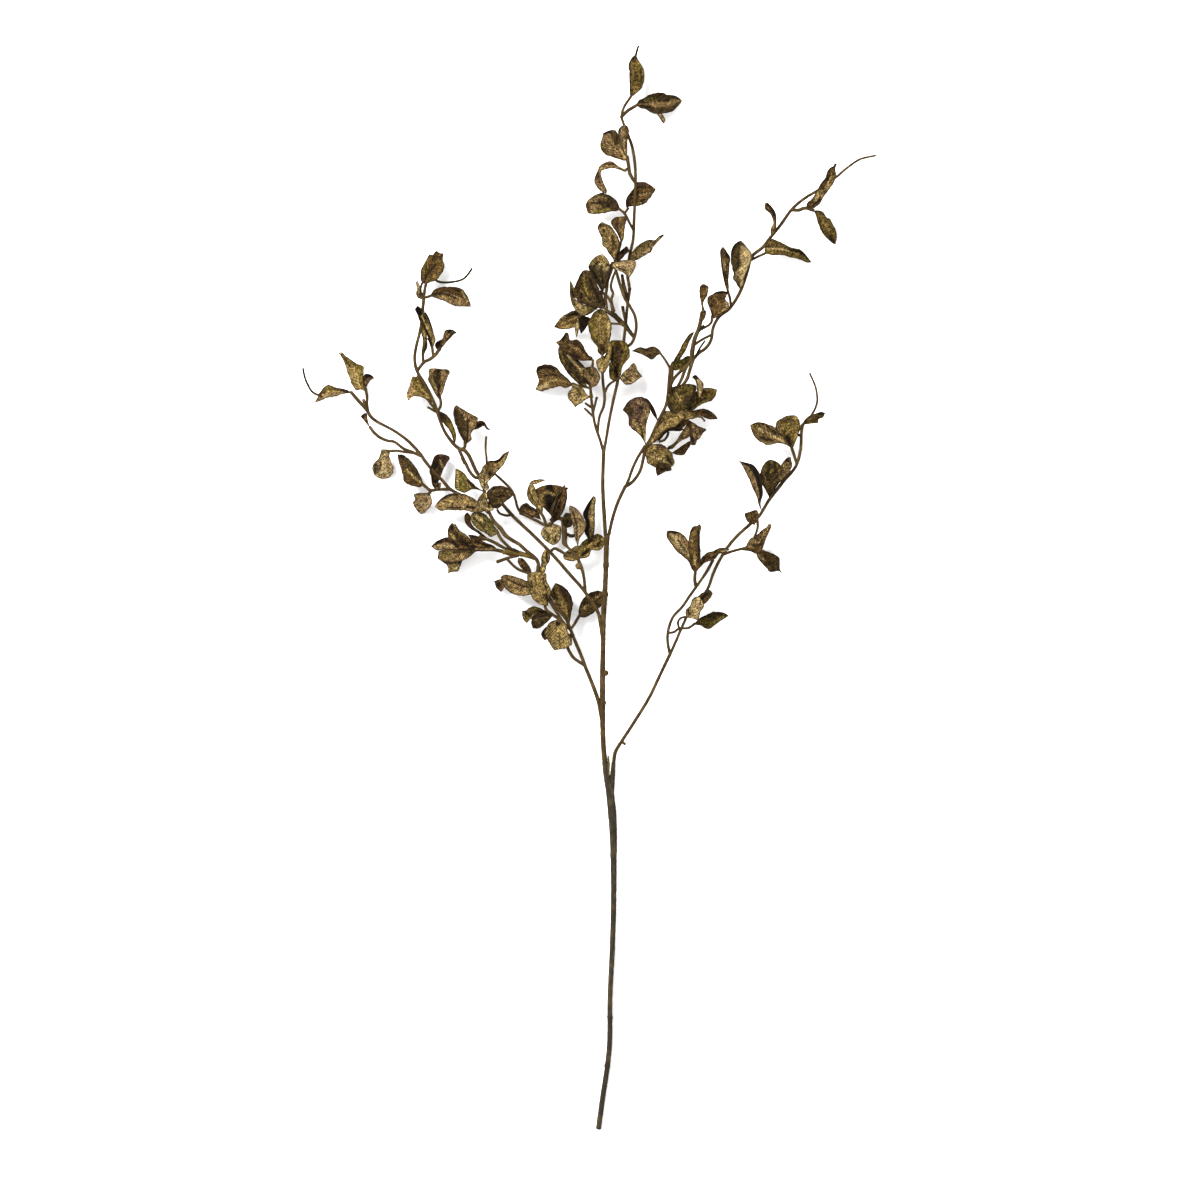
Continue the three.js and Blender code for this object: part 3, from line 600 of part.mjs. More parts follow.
const farLeftTwig = [
  // Wires
  wire([[489, 513.2, 23.2, 2.4], [482, 507, 20.6, 2.4], [472, 500, 17, 2.4], [458, 493.5, 15, 2.6],
    [450, 489, 15, 2.6], [441, 479, 15.6, 2.6], [433, 471, 16, 2.6], [425, 461, 16, 2.6],
    [421, 455, 16, 2.8], [407, 440, 16, 2.6], [392, 429.5, 15.6, 2.3], [376, 421, 15, 2.4],
    [371, 417, 15, 2.6], [366, 409, 15, 3], [360, 402.5, 14.6, 3], [356, 398, 14.2, 3],
    [350.5, 391.5, 14, 2.8]]),
  wire([[421.2, 456, 16, 2.6], [412, 452, 16.6, 2.6], [404, 448.8, 17, 2.4], [394, 441.7, 17, 2.3],
    [388, 440.8, 17, 2.4], [380, 437.5, 17, 2.6], [374, 432.5, 17, 2.6], [369.5, 426.5, 17, 2.6]]),
  wire([[414, 453, 16.4, 2], [405, 452, 16, 2], [397, 450.8, 15.6, 2], [387, 451, 15, 2.4]]),
  wire([[451.5, 489.3, 15, 2.4], [441, 489.3, 15.6, 2.4], [430, 490, 15, 2.6], [426.5, 487.5, 14.6, 2.4],
    [421, 483, 14.4, 2.4]]),
  wire([[431.5, 490, 15, 2.2], [428, 494.5, 14.4, 2.4]]),
  wire([[368, 412, 15, 2.4], [367, 404, 16, 2.4], [367, 397, 17, 2.4], [365.5, 388, 17.4, 2.4]]),
  wire([[367, 411, 15.4, 2.6], [363.3, 399.5, 19, 2.2]]),
  wire([[324, 396.6, 8, 2], [312.4, 392, 9, 1.6], [307.5, 384.5, 11, 1.6], [304.3, 376, 13, 1.5],
    [302.8, 368.2, 15, 1.5]]),
  // Leaves
  leaf([352.5, 393, 14], [313.8, 401.7, 4], 13, { roll: 10, left: [347, 393.3, 341, 394.5, 335, 396.3,
    328, 397.5, 322, 399.5, 318, 401.5], right: [347, 389.8, 341, 388, 335, 387, 331, 385, 328, 384.3,
    324.5, 386, 321, 390, 318, 394, 317, 397] }),
  leaf([366, 391.8, 17.2], [338, 352.5, 8], 16, { left: [361, 389.5, 356, 390.3, 353, 386.5, 350, 380,
    347, 372, 344.5, 364, 341.5, 357.5], right: [364.5, 387, 363, 380, 363.7, 373, 364, 367.5,
    360.5, 364.5, 357, 363.7, 351, 359.5, 345.5, 355.5, 341.5, 352] }),
  leaf([365.6, 389, 17.4], [374.7, 378.3, 24], 9, { left: [363.5, 382, 363.5, 376, 366.5, 374,
    371, 375], right: [368.5, 384, 371.5, 380.5, 373.5, 379.3] }),
  leaf([386, 449.5, 15], [382.5, 478.7, -4], 21, { roll: 0, fold: 3, curl: 0, left: [389.5, 450.5,
    389.5, 456, 391, 462, 393, 467, 392.8, 472, 390.5, 475.5, 387, 478], right: [381.5, 449.5, 380, 454,
    378, 458.5, 374.5, 461.5, 372, 466, 372, 471, 374.5, 475.5, 378.5, 478] }),
  leaf([423, 485, 14.4], [397, 454.2, 8], 16, { roll: 6, left: [420.5, 487, 415, 486.5, 409, 485,
    404.3, 482, 402.5, 475, 400.5, 468, 398.5, 461.5], right: [422.5, 481, 420, 475, 416.5, 468.5,
    411.5, 462, 406.5, 457, 402, 454.3] }),
  leaf([429, 493, 14.4], [420.3, 514, -2], 18, { roll: 5, left: [431, 497, 431.8, 501.5, 430.5, 506,
    426.5, 510.5, 423.5, 513], right: [424, 493, 418, 493, 413.5, 494.5, 415, 499, 412.5, 502, 414, 506.5,
    417.5, 512] }),
  leaf([434.5, 489, 15], [442, 453.8, 6], 14, { roll: 10, left: [431.8, 484, 431, 478, 429.3, 471,
    431.5, 464, 433.8, 457, 437, 454.2], right: [438, 485, 438.5, 482, 441.5, 474, 445.5, 465, 449.8, 457,
    446.5, 454.8] }),
  leaf([434.5, 489.5, 15], [441, 482.5, 13], 6),
  leaf([370, 428, 17], [363.5, 414, 19], 7, { left: [366.5, 424, 363.5, 420, 360.7, 416.5],
    right: [368, 420, 367.5, 416, 366.3, 413] }),
];

const topLeftTwig = [
  // Wires
  wire([[482.9, 479.8, 24.3, 2.6], [479, 475.5, 24, 3], [475.5, 470, 23.8, 3], [472, 462, 23.6, 3],
    [468.5, 455, 23.4, 3], [464.5, 450.5, 23.2, 3], [459.5, 448.8, 23, 3], [454.6, 445, 23, 3],
    [450, 439.6, 23, 2.8], [444.8, 431.6, 23, 2.6], [441.2, 423.5, 23, 2.6], [438.9, 416.3, 22.8, 2.8],
    [434.8, 404.6, 22.4, 2.6], [425.9, 385.8, 21.6, 2.6], [416.9, 370.5, 21, 2.8],
    [414.7, 359, 20.2, 2.6], [415.8, 349, 19.8, 2.6], [420.7, 327.8, 18.6, 2.6], [422.5, 311, 17.8, 2.6],
    [423.3, 303, 17.4, 2.8], [424, 294.6, 17, 2.8], [424.8, 289, 16.8, 2.6], [426.5, 281, 16, 2.2]]),
  wire([[480.5, 477.5, 24, 2.4], [475.5, 477.5, 23.4, 2.6], [470.8, 473, 23, 2.6], [465.5, 463, 22.8, 2.6],
    [462, 456, 22.8, 2.6], [458.5, 448.5, 23, 2.6]]),
  wire([[464.8, 464, 22.8, 2], [461.8, 458.5, 24, 1.6]]),
  wire([[461, 449.6, 23, 2.6], [464.7, 447.5, 22.6, 2.6], [465, 441, 22, 2.6]]),
  wire([[438, 411.5, 22.6, 2.2], [441, 405, 22, 2.2], [440.1, 397.5, 21.6, 2.2]]),
  wire([[437.5, 412.5, 22.6, 2.4], [427.7, 407.3, 23.6, 1.6]]),
  wire([[435, 408.5, 22.5, 2], [431.5, 405, 22.6, 2], [428, 399, 22.4, 2]]),
  wire([[416.9, 371.6, 21, 2.8], [420.5, 366.5, 20.6, 2.8], [424.5, 362, 20, 2.8], [429.5, 359.5, 19.6, 2.8],
    [434.9, 355.3, 19.2, 2.8], [440, 348.5, 19, 2.8]]),
  wire([[433.2, 356.5, 19.2, 2.2], [432, 347, 20, 2.2], [428.5, 338, 20.4, 2.2]]),
  wire([[423.4, 363, 20, 2], [423, 353, 20, 2.4], [425.5, 345, 19.6, 2.2]]),
  wire([[423.6, 299, 17, 2], [420.5, 290, 17, 1.8], [421.4, 285, 17, 1.8], [424.5, 279, 16.4, 1.8]]),
  wire([[424, 297.6, 17, 2.2], [427.5, 296.8, 16.6, 2.2], [432, 295, 15.6, 2.2]]),
  wire([[432, 277, 14.6, 1.6], [439.1, 281.6, 13.6, 1.6], [455.3, 281.2, 13, 1.6], [463.4, 278.5, 13, 1.6],
    [468.7, 273.1, 13.4, 1.5], [472, 268, 14, 1.5]]),
  // Leaves
  leaf([466, 445, 22], [456.3, 404.8, 12], 24, { roll: -4, left: [463, 440, 459, 433, 456, 425,
    454, 418, 453.3, 411, 454.3, 407], right: [468, 443, 472, 439.5, 471, 435, 472.5, 431.5, 476, 427.5,
    477.5, 422, 478.5, 418.5, 473, 415, 466, 411, 460, 407.3] }),
  leaf([469, 427, 19.4], [490.8, 430.2, 10], 8, { left: [473.5, 424, 478, 421, 482, 420.2, 485.5, 423.2,
    487.5, 427], right: [474, 429.5, 479, 428.3, 484, 426.2, 486.2, 429] }),
  leaf([454.8, 444, 23], [439.5, 411.3, 25], 9, { roll: 30, left: [453.5, 441, 452, 436, 449.5, 430.5,
    445, 425, 441.5, 420.5, 439.8, 415.5], right: [456.3, 439, 456, 433, 454, 427, 451.3, 420.5,
    447.5, 415.7, 443, 412.7] }),
  leaf([432, 403.5, 22.4], [408, 389, 10], 26, { left: [428.5, 402, 425, 398.8, 419, 397, 412.5, 397.5,
    409, 400.5, 406.5, 396, 406.8, 392.5], right: [432.3, 398, 429, 389.5, 423.5, 381.5, 418.3, 374,
    416, 377, 412.5, 376.3, 410.5, 382.5] }),
  leaf([440.4, 400.5, 21.8], [441, 370.5, 27], 21, { left: [438, 398, 434.5, 392.5, 431, 385,
    428.3, 380, 429.5, 375, 429.5, 369.8, 434, 368.9], right: [441.5, 396, 444, 391, 446, 383, 448.5, 377,
    450.3, 371.5, 448, 369.8] }),
  leaf([440, 350.5, 19], [450.5, 328.9, 13], 13, { fold: 40, left: [439.5, 347, 441.5, 341,
    443.5, 335.5, 444.5, 331.5, 446.3, 329.8], right: [442.5, 347, 446, 343, 450, 339, 454, 334.5,
    457, 333, 454.5, 330.5] }),
  leaf([438.3, 352, 19], [442, 339.2, 15], 6, { left: [436.5, 349, 435, 345.3, 437, 341.8],
    right: [439.5, 347.5, 441.3, 343] }),
  leaf([432.5, 349.5, 19.9], [417.8, 305.8, 19], 10, { fold: 45, left: [430.5, 345, 427.8, 337,
    424.5, 329.5, 420, 321.5, 417.3, 314.5, 415.2, 309.5], right: [434.2, 345, 435.7, 340.5, 433.5, 333,
    430, 324, 426.5, 316.5, 422, 309.5] }),
  leaf([432.4, 348, 20], [424.3, 310.8, 21], 6, { left: [432, 337, 428.5, 324, 425.3, 315],
    right: [434, 336, 431.2, 323.5, 427.7, 315] }),
  leaf([423.4, 358, 20], [424, 325, 19.6], 6, { left: [421.7, 354, 422.3, 347, 423, 341, 422, 335,
    420.5, 329], right: [425, 353, 427.3, 348, 427.5, 342, 426.8, 335, 425.5, 329] }),
  leaf([422.6, 299.5, 17.2], [417.3, 280.3, 20], 5, { left: [418, 298, 416, 294, 417, 288, 416, 283.5],
    right: [421.5, 297, 420.5, 292, 420, 287, 418.8, 283] }),
  leaf([425.5, 284.5, 16.4], [443.5, 252.8, 6], 23, { left: [421.3, 281.5, 420.2, 276, 421, 270,
    424, 263.5, 427, 257, 429.3, 254.2, 432.5, 254.5, 436.2, 250.3, 439.5, 252.5], right: [430, 282.3,
    436, 280.3, 440, 275.5, 443.7, 269.5, 444.5, 265, 442.8, 259.5] }),
  leaf([430.5, 296, 16], [470.5, 305.8, 2], 17, { left: [432, 292.3, 435, 289.5, 440, 287.5, 447, 286.7,
    455, 286.7, 461, 288.5, 465, 292, 468, 297, 469.5, 301.5], right: [433, 297, 438, 299, 444, 301,
    450, 303.5, 455, 305.7, 462, 305.7, 467, 305.8] }),
];

const upperLeftBranch = [
  // Wires
  wire([[599.2, 621.5, 21, 2.8], [598.6, 614, 21.2, 2.8], [594.8, 606.5, 21, 2.8], [589, 598, 20.4, 2.8],
    [583.6, 590, 19.6, 2.8], [570, 574.5, 17.6, 2.8], [551.8, 554, 15, 2.8], [534, 536, 12.6, 2.8],
    [520.4, 523.3, 10.8, 2.8], [511.4, 514.4, 9.6, 2.8], [499, 500, 8, 2.4]]),
  wire([[585.2, 592, 19.8, 2.6], [584.6, 583, 20, 2.6], [583.2, 574, 20.4, 2.6], [581.6, 568, 20.8, 2.6],
    [577.6, 558, 21.4, 2.6]]),
  knob([579, 566, 21], BUD_RADIUS),
  wire([[549.8, 552, 14.8, 2.4], [554.5, 548.5, 15.4, 2.4], [560, 551, 16.4, 2.4], [568, 555.5, 18.6, 2.6],
    [578.5, 559, 21.2, 2.6]]),
  wire([[578.5, 559, 21.4, 2.6], [573, 552, 20.2, 2.2], [568, 547.5, 19, 2.2], [564.8, 543, 18.4, 3],
    [566.3, 536, 18.6, 3.4], [566, 527, 19, 3.6], [563.6, 518.5, 19.4, 3.2], [557.5, 518.5, 19, 2.4],
    [547, 525, 18, 2.4], [536.2, 520.5, 16, 2.4], [529, 517, 14, 2.4], [520, 511.5, 12, 2.2],
    [517, 506, 11.6, 2], [515.5, 500, 11.4, 2], [513.3, 493.5, 11.2, 2], [510.5, 488.8, 11, 2],
    [505.7, 483.7, 10.6, 2], [493, 472, 10, 1.8]]),
  wire([[566.4, 533.5, 18.8, 1.8], [570.7, 536, 19, 1.8], [577, 534.5, 19.8, 1.8]]),
  wire([[546, 525, 18, 2.4], [543.4, 517, 19, 2.4], [537, 508, 20, 2.4]]),
  wire([[511.5, 514.7, 10, 2], [507, 515.4, 11, 1.8], [502.5, 514.6, 12, 1.8], [499, 512.8, 13, 1.8],
    [497, 509.5, 14, 1.8]]),
  // Leaves by the main stem
  leaf([580, 558, 21], [563, 556, 14], 13, { roll: 5, left: [574, 561, 568, 561, 564, 558.8],
    right: [583, 549, 577, 546, 570, 549.3, 564.5, 552.5] }),
  leaf([576, 559, 21], [604.5, 538, 12], 15, { roll: -5, fold: 5, left: [578, 548, 584, 540.5, 591, 537,
    597, 533.8, 602, 535.5], right: [582, 558.5, 588.5, 557, 591.5, 550.5, 600, 550, 604.5, 543.5] }),
  leaf([588, 549, 19], [600, 535.5, 12], 10, { roll: 0, left: [588.5, 542, 593, 537.5],
    right: [594, 548, 600, 543] }),
  leaf([578, 547, 21], [570, 505.5, 24], 12, { left: [575, 538, 573, 526, 570.5, 515.5, 569, 508.5],
    right: [579.5, 539, 584.5, 531.5, 586, 524, 581.5, 515, 575.5, 508] }),
  leaf([590, 545, 18], [593, 495.7, 8], 14, { roll: 20, left: [587, 537, 584.5, 532, 585.7, 523,
    583, 514.5, 585.7, 507, 590, 500], right: [593, 538, 594.5, 530, 595, 520, 595, 508.5, 595.7, 497] }),
  leaf([566.5, 528, 19], [566, 512.8, 22], 9, { left: [563, 525, 562.9, 517], right: [571.5, 526,
    573, 520, 570, 513.5] }),
  // Leaves of the middle cluster
  leaf([553, 523.5, 18], [553, 545.5, 10], 20, { left: [561, 526.5, 561.3, 532, 560.5, 538.5,
    557, 543.5], right: [549, 524.8, 543.5, 527.5, 540.3, 533, 543, 538.8, 548.3, 543] }),
  leaf([554, 521, 18.6], [549.5, 484.5, 24], 25, { left: [550, 514.3, 544.3, 508.6, 538.6, 503,
    536.5, 496, 535.7, 490, 541.4, 486.4], right: [559.5, 517, 563.5, 508, 566.5, 500, 565.7, 490,
    561.4, 486.4, 555, 485] }),
  leaf([558, 519.5, 19], [565.5, 485.5, 12], 13, { left: [556, 511, 558, 500, 560.5, 490],
    right: [561.5, 514, 565.5, 505, 567, 495] }),
  leaf([551.5, 519, 19.4], [564.5, 487, 29], 5, { roll: 30, left: [552.5, 508, 557.5, 498, 561, 491],
    right: [555.5, 509, 560.5, 499, 564, 492] }),
  leaf([539, 513, 20], [530, 482.5, 24], 6, { left: [535.5, 510, 530, 502.5, 526.5, 494, 527.5, 486],
    right: [539.5, 508, 535, 500, 531.5, 493, 532, 486] }),
  leaf([531, 485.5, 24], [547, 480.5, 27], 5, { left: [534, 480.5, 540, 478], right: [535, 484,
    541, 482.5] }),
  leaf([541, 520, 17], [518.7, 514, 8], 13, { left: [534, 517.5, 528, 516.5, 523, 515.7],
    right: [538, 511, 531, 506, 526, 503, 520.5, 506.5] }),
];

const LOWER_STEM = { color: 0x4a443a, roughness: 0.75, metalness: 0 };
const OCHRE_WIRE = { color: 0x6f5629, roughness: 0.7, metalness: 0 };
const OLIVE_LEAF = { color: 0x6b5a34, roughness: 0.9, metalness: 0 };
const TAUPE_LEAF = { color: 0x86714d, roughness: 0.9, metalness: 0 };

const pieces = [
  { name: 'lower_stem', solids: lowerStem, finish: LOWER_STEM },
  { name: 'main_stem', solids: mainStem, finish: OCHRE_WIRE },
  { name: 'centre_branch', solids: centreBranch, finish: OLIVE_LEAF },
  { name: 'right_centre_branch', solids: rightCentreBranch, finish: OLIVE_LEAF },
  { name: 'right_branch', solids: rightBranch, finish: OLIVE_LEAF },
  { name: 'lower_left_branch', solids: lowerLeftBranch, finish: TAUPE_LEAF },
  { name: 'far_left_twig', solids: farLeftTwig, finish: TAUPE_LEAF },
  { name: 'top_left_twig', solids: topLeftTwig, finish: OLIVE_LEAF },
  { name: 'upper_left_branch', solids: upperLeftBranch, finish: OLIVE_LEAF },
];

// One mesh for each piece: its wires and leaves joined into one closed body
const group = new THREE.Group();
for (const { name, solids, finish } of pieces) {
  const bodies = solids.reduce((whole, next) => whole.add(next)).decompose();
  const joined = bodies.reduce((most, next) => (next.volume() > most.volume() ? next : most)).getMesh();
  const geometry = new THREE.BufferGeometry();
  geometry.setAttribute('position', new THREE.BufferAttribute(joined.vertProperties, joined.numProp));
  geometry.setIndex(new THREE.BufferAttribute(joined.triVerts, 1));
  geometry.computeVertexNormals();
  const mesh = new THREE.Mesh(geometry, new THREE.MeshStandardMaterial(finish));
  mesh.name = name;
  group.add(mesh);
}

// The origin is on the surface, under the middle of the whole spray
const box = new THREE.Box3().setFromObject(group);
const middle = box.getCenter(new THREE.Vector3());
group.position.set(-middle.x, -middle.y, 0);
group.updateMatrixWorld(true);

export default group;
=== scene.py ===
"""An artificial spray of dried-look leaves, lying on a pale surface and seen from above.

Plan positions are (x, y, height, ...) in millimetres on a sheet under the spray: x runs to the
right, and y runs down the sheet towards the cut end of the stem. The frame is in metres.
"""
import logging
import math
from collections.abc import Sequence
from dataclasses import dataclass
from enum import Enum

import bpy
from mathutils import Color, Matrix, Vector, noise


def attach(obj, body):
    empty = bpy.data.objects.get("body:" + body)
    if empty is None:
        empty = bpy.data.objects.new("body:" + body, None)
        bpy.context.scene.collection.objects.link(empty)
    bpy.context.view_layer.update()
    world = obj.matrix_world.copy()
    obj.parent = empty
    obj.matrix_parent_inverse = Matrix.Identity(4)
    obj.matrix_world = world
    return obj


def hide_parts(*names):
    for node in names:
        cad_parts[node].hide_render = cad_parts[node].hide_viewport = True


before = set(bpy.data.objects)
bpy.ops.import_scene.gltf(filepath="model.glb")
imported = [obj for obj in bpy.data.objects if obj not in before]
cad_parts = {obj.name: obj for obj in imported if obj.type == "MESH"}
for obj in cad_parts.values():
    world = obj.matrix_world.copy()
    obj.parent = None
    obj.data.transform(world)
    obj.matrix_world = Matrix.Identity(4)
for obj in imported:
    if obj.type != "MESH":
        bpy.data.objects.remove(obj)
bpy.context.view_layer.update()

LOG = logging.getLogger("leaf_spray")

MM = 0.001
SHEET_MIDDLE = (589.166, 587.660)  # the sheet point over the frame's origin
VIEW_MIDDLE = (600.0, 600.0)  # the sheet point under the camera
VIEW_WIDTH = 1200.0  # of the sheet, across the picture
CAMERA_HEIGHT = 6000.0
SPRAY_MEAN_HEIGHT = 18.0  # the level at which the picture is that wide
SENSOR_WIDTH = 36.0
GLOSS = 0.06  # specular level of all finishes, which are matt

WIRE_SIDES = 12
WIRE_STEP = 1.5
WIRE_FULLNESS = 0.5  # radius of a round wire, as a share of its width
WIRE_COAT = 0.36  # what the tape and paint add to the radius
WIRE_END_SHARE, WIRE_END_PUSH = 0.6, 0.3  # the rounded end, in radii
LUMPS_PER_MM, FINE_LUMPS_PER_MM = 0.55, 1.7
FINE_LUMP_SHARE = 0.5
DUST_PER_MM, DUST_SHARE = 0.12, 0.35  # pale pigment on the wire
DUST_SHIFT = Vector((7, 0, 0))
KNOB_TURNS, KNOB_LEVELS = 18, 10
KNOB_LUMPS_PER_MM = 0.8

BLADE_HALF_THICKNESS = 0.3
RIM_HALF_THICKNESS = 0.14
BLADE_ROWS = 44
BLADE_COLUMNS = 20
SLIM_LIMIT = 14.0
SLIM_ROLL, BROAD_ROLL = 45.0, 20.0  # the most that leaves turn about their midrib, in degrees
FOLD_SPREAD, FOLD_LEAST = 34.0, -8.0
CURL_SPREAD, CURL_LEAST = 8.0, -3.0
WAVE_SPREAD, WAVE_LEAST = 0.9, 0.5
CUP_SPREAD, CUP_LEAST, CUP_FLATTEST = 40.0, 8.0, 1.0
RIM_SPREAD, RIM_LEAST, RIM_CURL = 1.5, -0.4, 2.2
BELLY = 0.47  # where a leaf drawn without edges is widest
OUTLINE_FULLNESS = 0.72
ARCH_SHARE = 0.07  # rise of the midrib's middle, as a share of its length
CURL_START = 0.55
RIPPLE_TURNS = 9.5
RIPPLE_SHIFT = 2.0
STEEPEST = math.radians(58)
NOTCH_MM, NOTCH_SHARE = 3.2, 0.09  # length and depth of the fine notches in an edge
RIM_CURL_MM = 9.0
COARSE_PER_MM, FINE_PER_MM, GRAIN_PER_MM = 0.13, 0.34, 0.8  # crumples, and grain of the paint
COARSE_HEIGHT, FINE_HEIGHT = 1.8, 1.0
COARSE_RELIEF, FINE_RELIEF, GRAIN_RELIEF = 0.3, 0.6, 0.5
STRAY_PER_MM, STRAY_SHARE = 0.22, 0.3
MOTTLE_SHARE = 0.75
# Painted shade darkening each leaf's base, where it tucks under the stem and the leaves beside it.
BASE_PAINTED_SHADE = 0.55
MARK_STRENGTH = 0.95
MARK_RAGS_PER_MM, MARK_RAG_SHARE = 0.9, 0.25
# Painted light and shade that follows the crumples' relief, lighter where they rise and darker in their
# creases, together with the paint's grain.
SHADE_AND_GRAIN_LEAST, SHADE_AND_GRAIN_MOST = 0.4, 1.35
SHADE_AND_GRAIN_MEAN, SHADE_AND_GRAIN_GAIN = 0.8, 0.8

Point = tuple[float, ...]


class Tone(Enum):
    """Dry leaf and wire colours, as sRGB hex."""

    OLIVE = "#4a3c18"
    DARK_OLIVE = "#2d2310"
    GREY_OLIVE = "#473e21"
    GREEN_OLIVE = "#4a4019"
    BROWN = "#3e2d15"
    DARK_BROWN = "#21160a"
    # Near-black painted shade, laid in hollows, folds, curls and the gaps between leaves.
    PAINTED_HOLLOW_SHADE = "#0d0804"
    TAUPE = "#59472b"
    PINK_TAUPE = "#635036"
    TAN = "#63522e"
    STRAW = "#705f39"
    BEIGE = "#776644"
    PURPLE_BROWN = "#3c2c1f"
    OCHRE_WIRE = "#362915"
    DARK_WIRE = "#1f1609"
    PALE_WIRE = "#544529"
    STEM = "#28231a"
    STEM_RIDGE = "#5e5646"


class Side(Enum):
    """Where a leaf's second colour shows, as seen from its base towards its tip."""

    LEFT = 1
    RIGHT = 2
    TIP = 3
    BASE = 4
    MIDRIB = 5
    RIM = 6
    MOTTLED = 7


def linear(code: str) -> tuple[float, float, float, float]:
    """Turns an sRGB hex colour into linear light.

    Args:
        code: Six hex digits after a hash sign.

    Returns:
        Linear red, green, blue and an alpha of 1.
    """
    srgb = Color([int(code[i:i + 2], 16) / 255 for i in (1, 3, 5)])
    return (*srgb.from_srgb_to_scene_linear(), 1.0)


def draw(place: Point, turn: int) -> float:
    """Gives a number from 0 to 1 that depends only on a leaf's own place.

    Args:
        place: The leaf's base on the sheet.
        turn: Which of the leaf's numbers is wanted.

    Returns:
        The number.
    """
    value = math.sin(place[0] * 12.9898 + place[1] * 78.233 + turn * 37.719) * 43758.5453
    return value - math.floor(value)


def on_sheet(point: Point) -> Vector:
    """Places a sheet point in the frame's axes, still in millimetres.

    Args:
        point: x, y and, where it has one, its height, and anything after them.

    Returns:
        The place in the frame.
    """
    height = point[2] if len(point) > 2 else 0.0
    return Vector((point[0] - SHEET_MIDDLE[0], SHEET_MIDDLE[1] - point[1], height))


def smooth(start: float, end: float, value: float) -> float:
    """Eases from 0 at start to 1 at end.

    Args:
        start: Where the rise begins.
        end: Where it is complete, above or below start.
        value: The place to look at.

    Returns:
        A share from 0 to 1.
    """
    share = min(1.0, max(0.0, (value - start) / (end - start)))
    return share * share * (3 - 2 * share)


def settled(given: float | None, drawn: float) -> float:
    """Takes the given value, or the drawn one where none is given."""
    return drawn if given is None else given


def blend(first: Sequence[float], second: Sequence[float], share: float) -> list[float]:
    """Mixes two colours.

    Args:
        first: The colour at share 0.
        second: The colour at share 1.
        share: How far to go from the first to the second.

    Returns:
        The mixed colour.
    """
    return [a + (b - a) * share for a, b in zip(first, second)]


def smooth_path(points: Sequence[Vector], step: float) -> list[tuple[Vector, float]]:
    """Runs a centripetal Catmull-Rom curve through points.

    Args:
        points: The points, in order.
        step: The greatest distance between two places on the curve.

    Returns:
        Each place on the curve, with its place in the list of points, such as 1.5.
    """
    ends = [points[0] * 2 - points[1], *points, points[-1] * 2 - points[-2]]
    gaps = [max(1e-4, (b - a).length ** 0.5) for a, b in zip(ends, ends[1:])]
    places = []
    for i in range(1, len(ends) - 2):
        before, first, last, after = ends[i - 1:i + 3]
        lead, span, follow = gaps[i - 1:i + 2]
        leaving = (first - before) / lead - (last - before) / (lead + span) + (last - first) / span
        arriving = (last - first) / span - (after - first) / (span + follow) + (after - last) / follow
        pieces = max(1, math.ceil((last - first).length / step))
        for piece in range(pieces):
            t = piece / pieces
            place = (
                first * (2 * t**3 - 3 * t**2 + 1)
                + leaving * span * (t**3 - 2 * t**2 + t)
                + last * (3 * t**2 - 2 * t**3)
                + arriving * span * (t**3 - t**2)
            )
            places.append((place, i - 1 + t))
    places.append((points[-1].copy(), float(len(points) - 1)))
    return places


def evenly(points: Sequence[Vector], count: int) -> list[Vector]:
    """Spaces places evenly along a smooth path.

    Args:
        points: The points that the path runs through.
        count: How many steps to take from the first to the last.

    Returns:
        One more place than count.
    """
    path = [place for place, _ in smooth_path(points, 0.5)]
    reach = [0.0]
    for a, b in zip(path, path[1:]):
        reach.append(reach[-1] + (b - a).length)
    places = []
    at = 0
    for i in range(count + 1):
        wanted = reach[-1] * i / count
        while at < len(path) - 2 and reach[at + 1] < wanted:
            at += 1
        places.append(path[at].lerp(path[at + 1], (wanted - reach[at]) / (reach[at + 1] - reach[at])))
    return places


class Skin:
    """Points and faces of one piece, with what its material needs to know at each point."""

    def __init__(self) -> None:
        """Starts with nothing in it."""
        self.points: list[Vector] = []
        self.faces: list[tuple[int, ...]] = []
        self.tones: list[float] = []
        self.blades: list[float] = []

    def add_point(self, place: Vector, tone: Sequence[float], blade: Sequence[float]) -> int:
        """Adds a point.

        Args:
            place: Where it is, in millimetres.
            tone: Its colour in linear light.
            blade: Millimetres along, across, and inward from the nearest edge.

        Returns:
            The point's number.
        """
        self.points.append(Vector((place.x, place.y, max(0.0, place.z))) * MM)
        self.tones.extend(tone[:3])
        self.tones.append(1.0)
        self.blades.extend(blade)
        return len(self.points) - 1

    def to_object(self, name: str, material: bpy.types.Material) -> bpy.types.Object:
        """Makes the Blender object.

        Args:
            name: The piece's name.
            material: Its finish.

        Returns:
            The object, linked to the scene.
        """
        mesh = bpy.data.meshes.new(name)
        mesh.from_pydata(self.points, [], self.faces)
        mesh.attributes.new("tone", "FLOAT_COLOR", "POINT").data.foreach_set("color", self.tones)
        mesh.attributes.new("blade", "FLOAT_VECTOR", "POINT").data.foreach_set("vector", self.blades)
        mesh.shade_smooth()
        mesh.materials.append(material)
        mesh.validate()
        piece = bpy.data.objects.new(name, mesh)
        bpy.context.collection.objects.link(piece)
        return piece


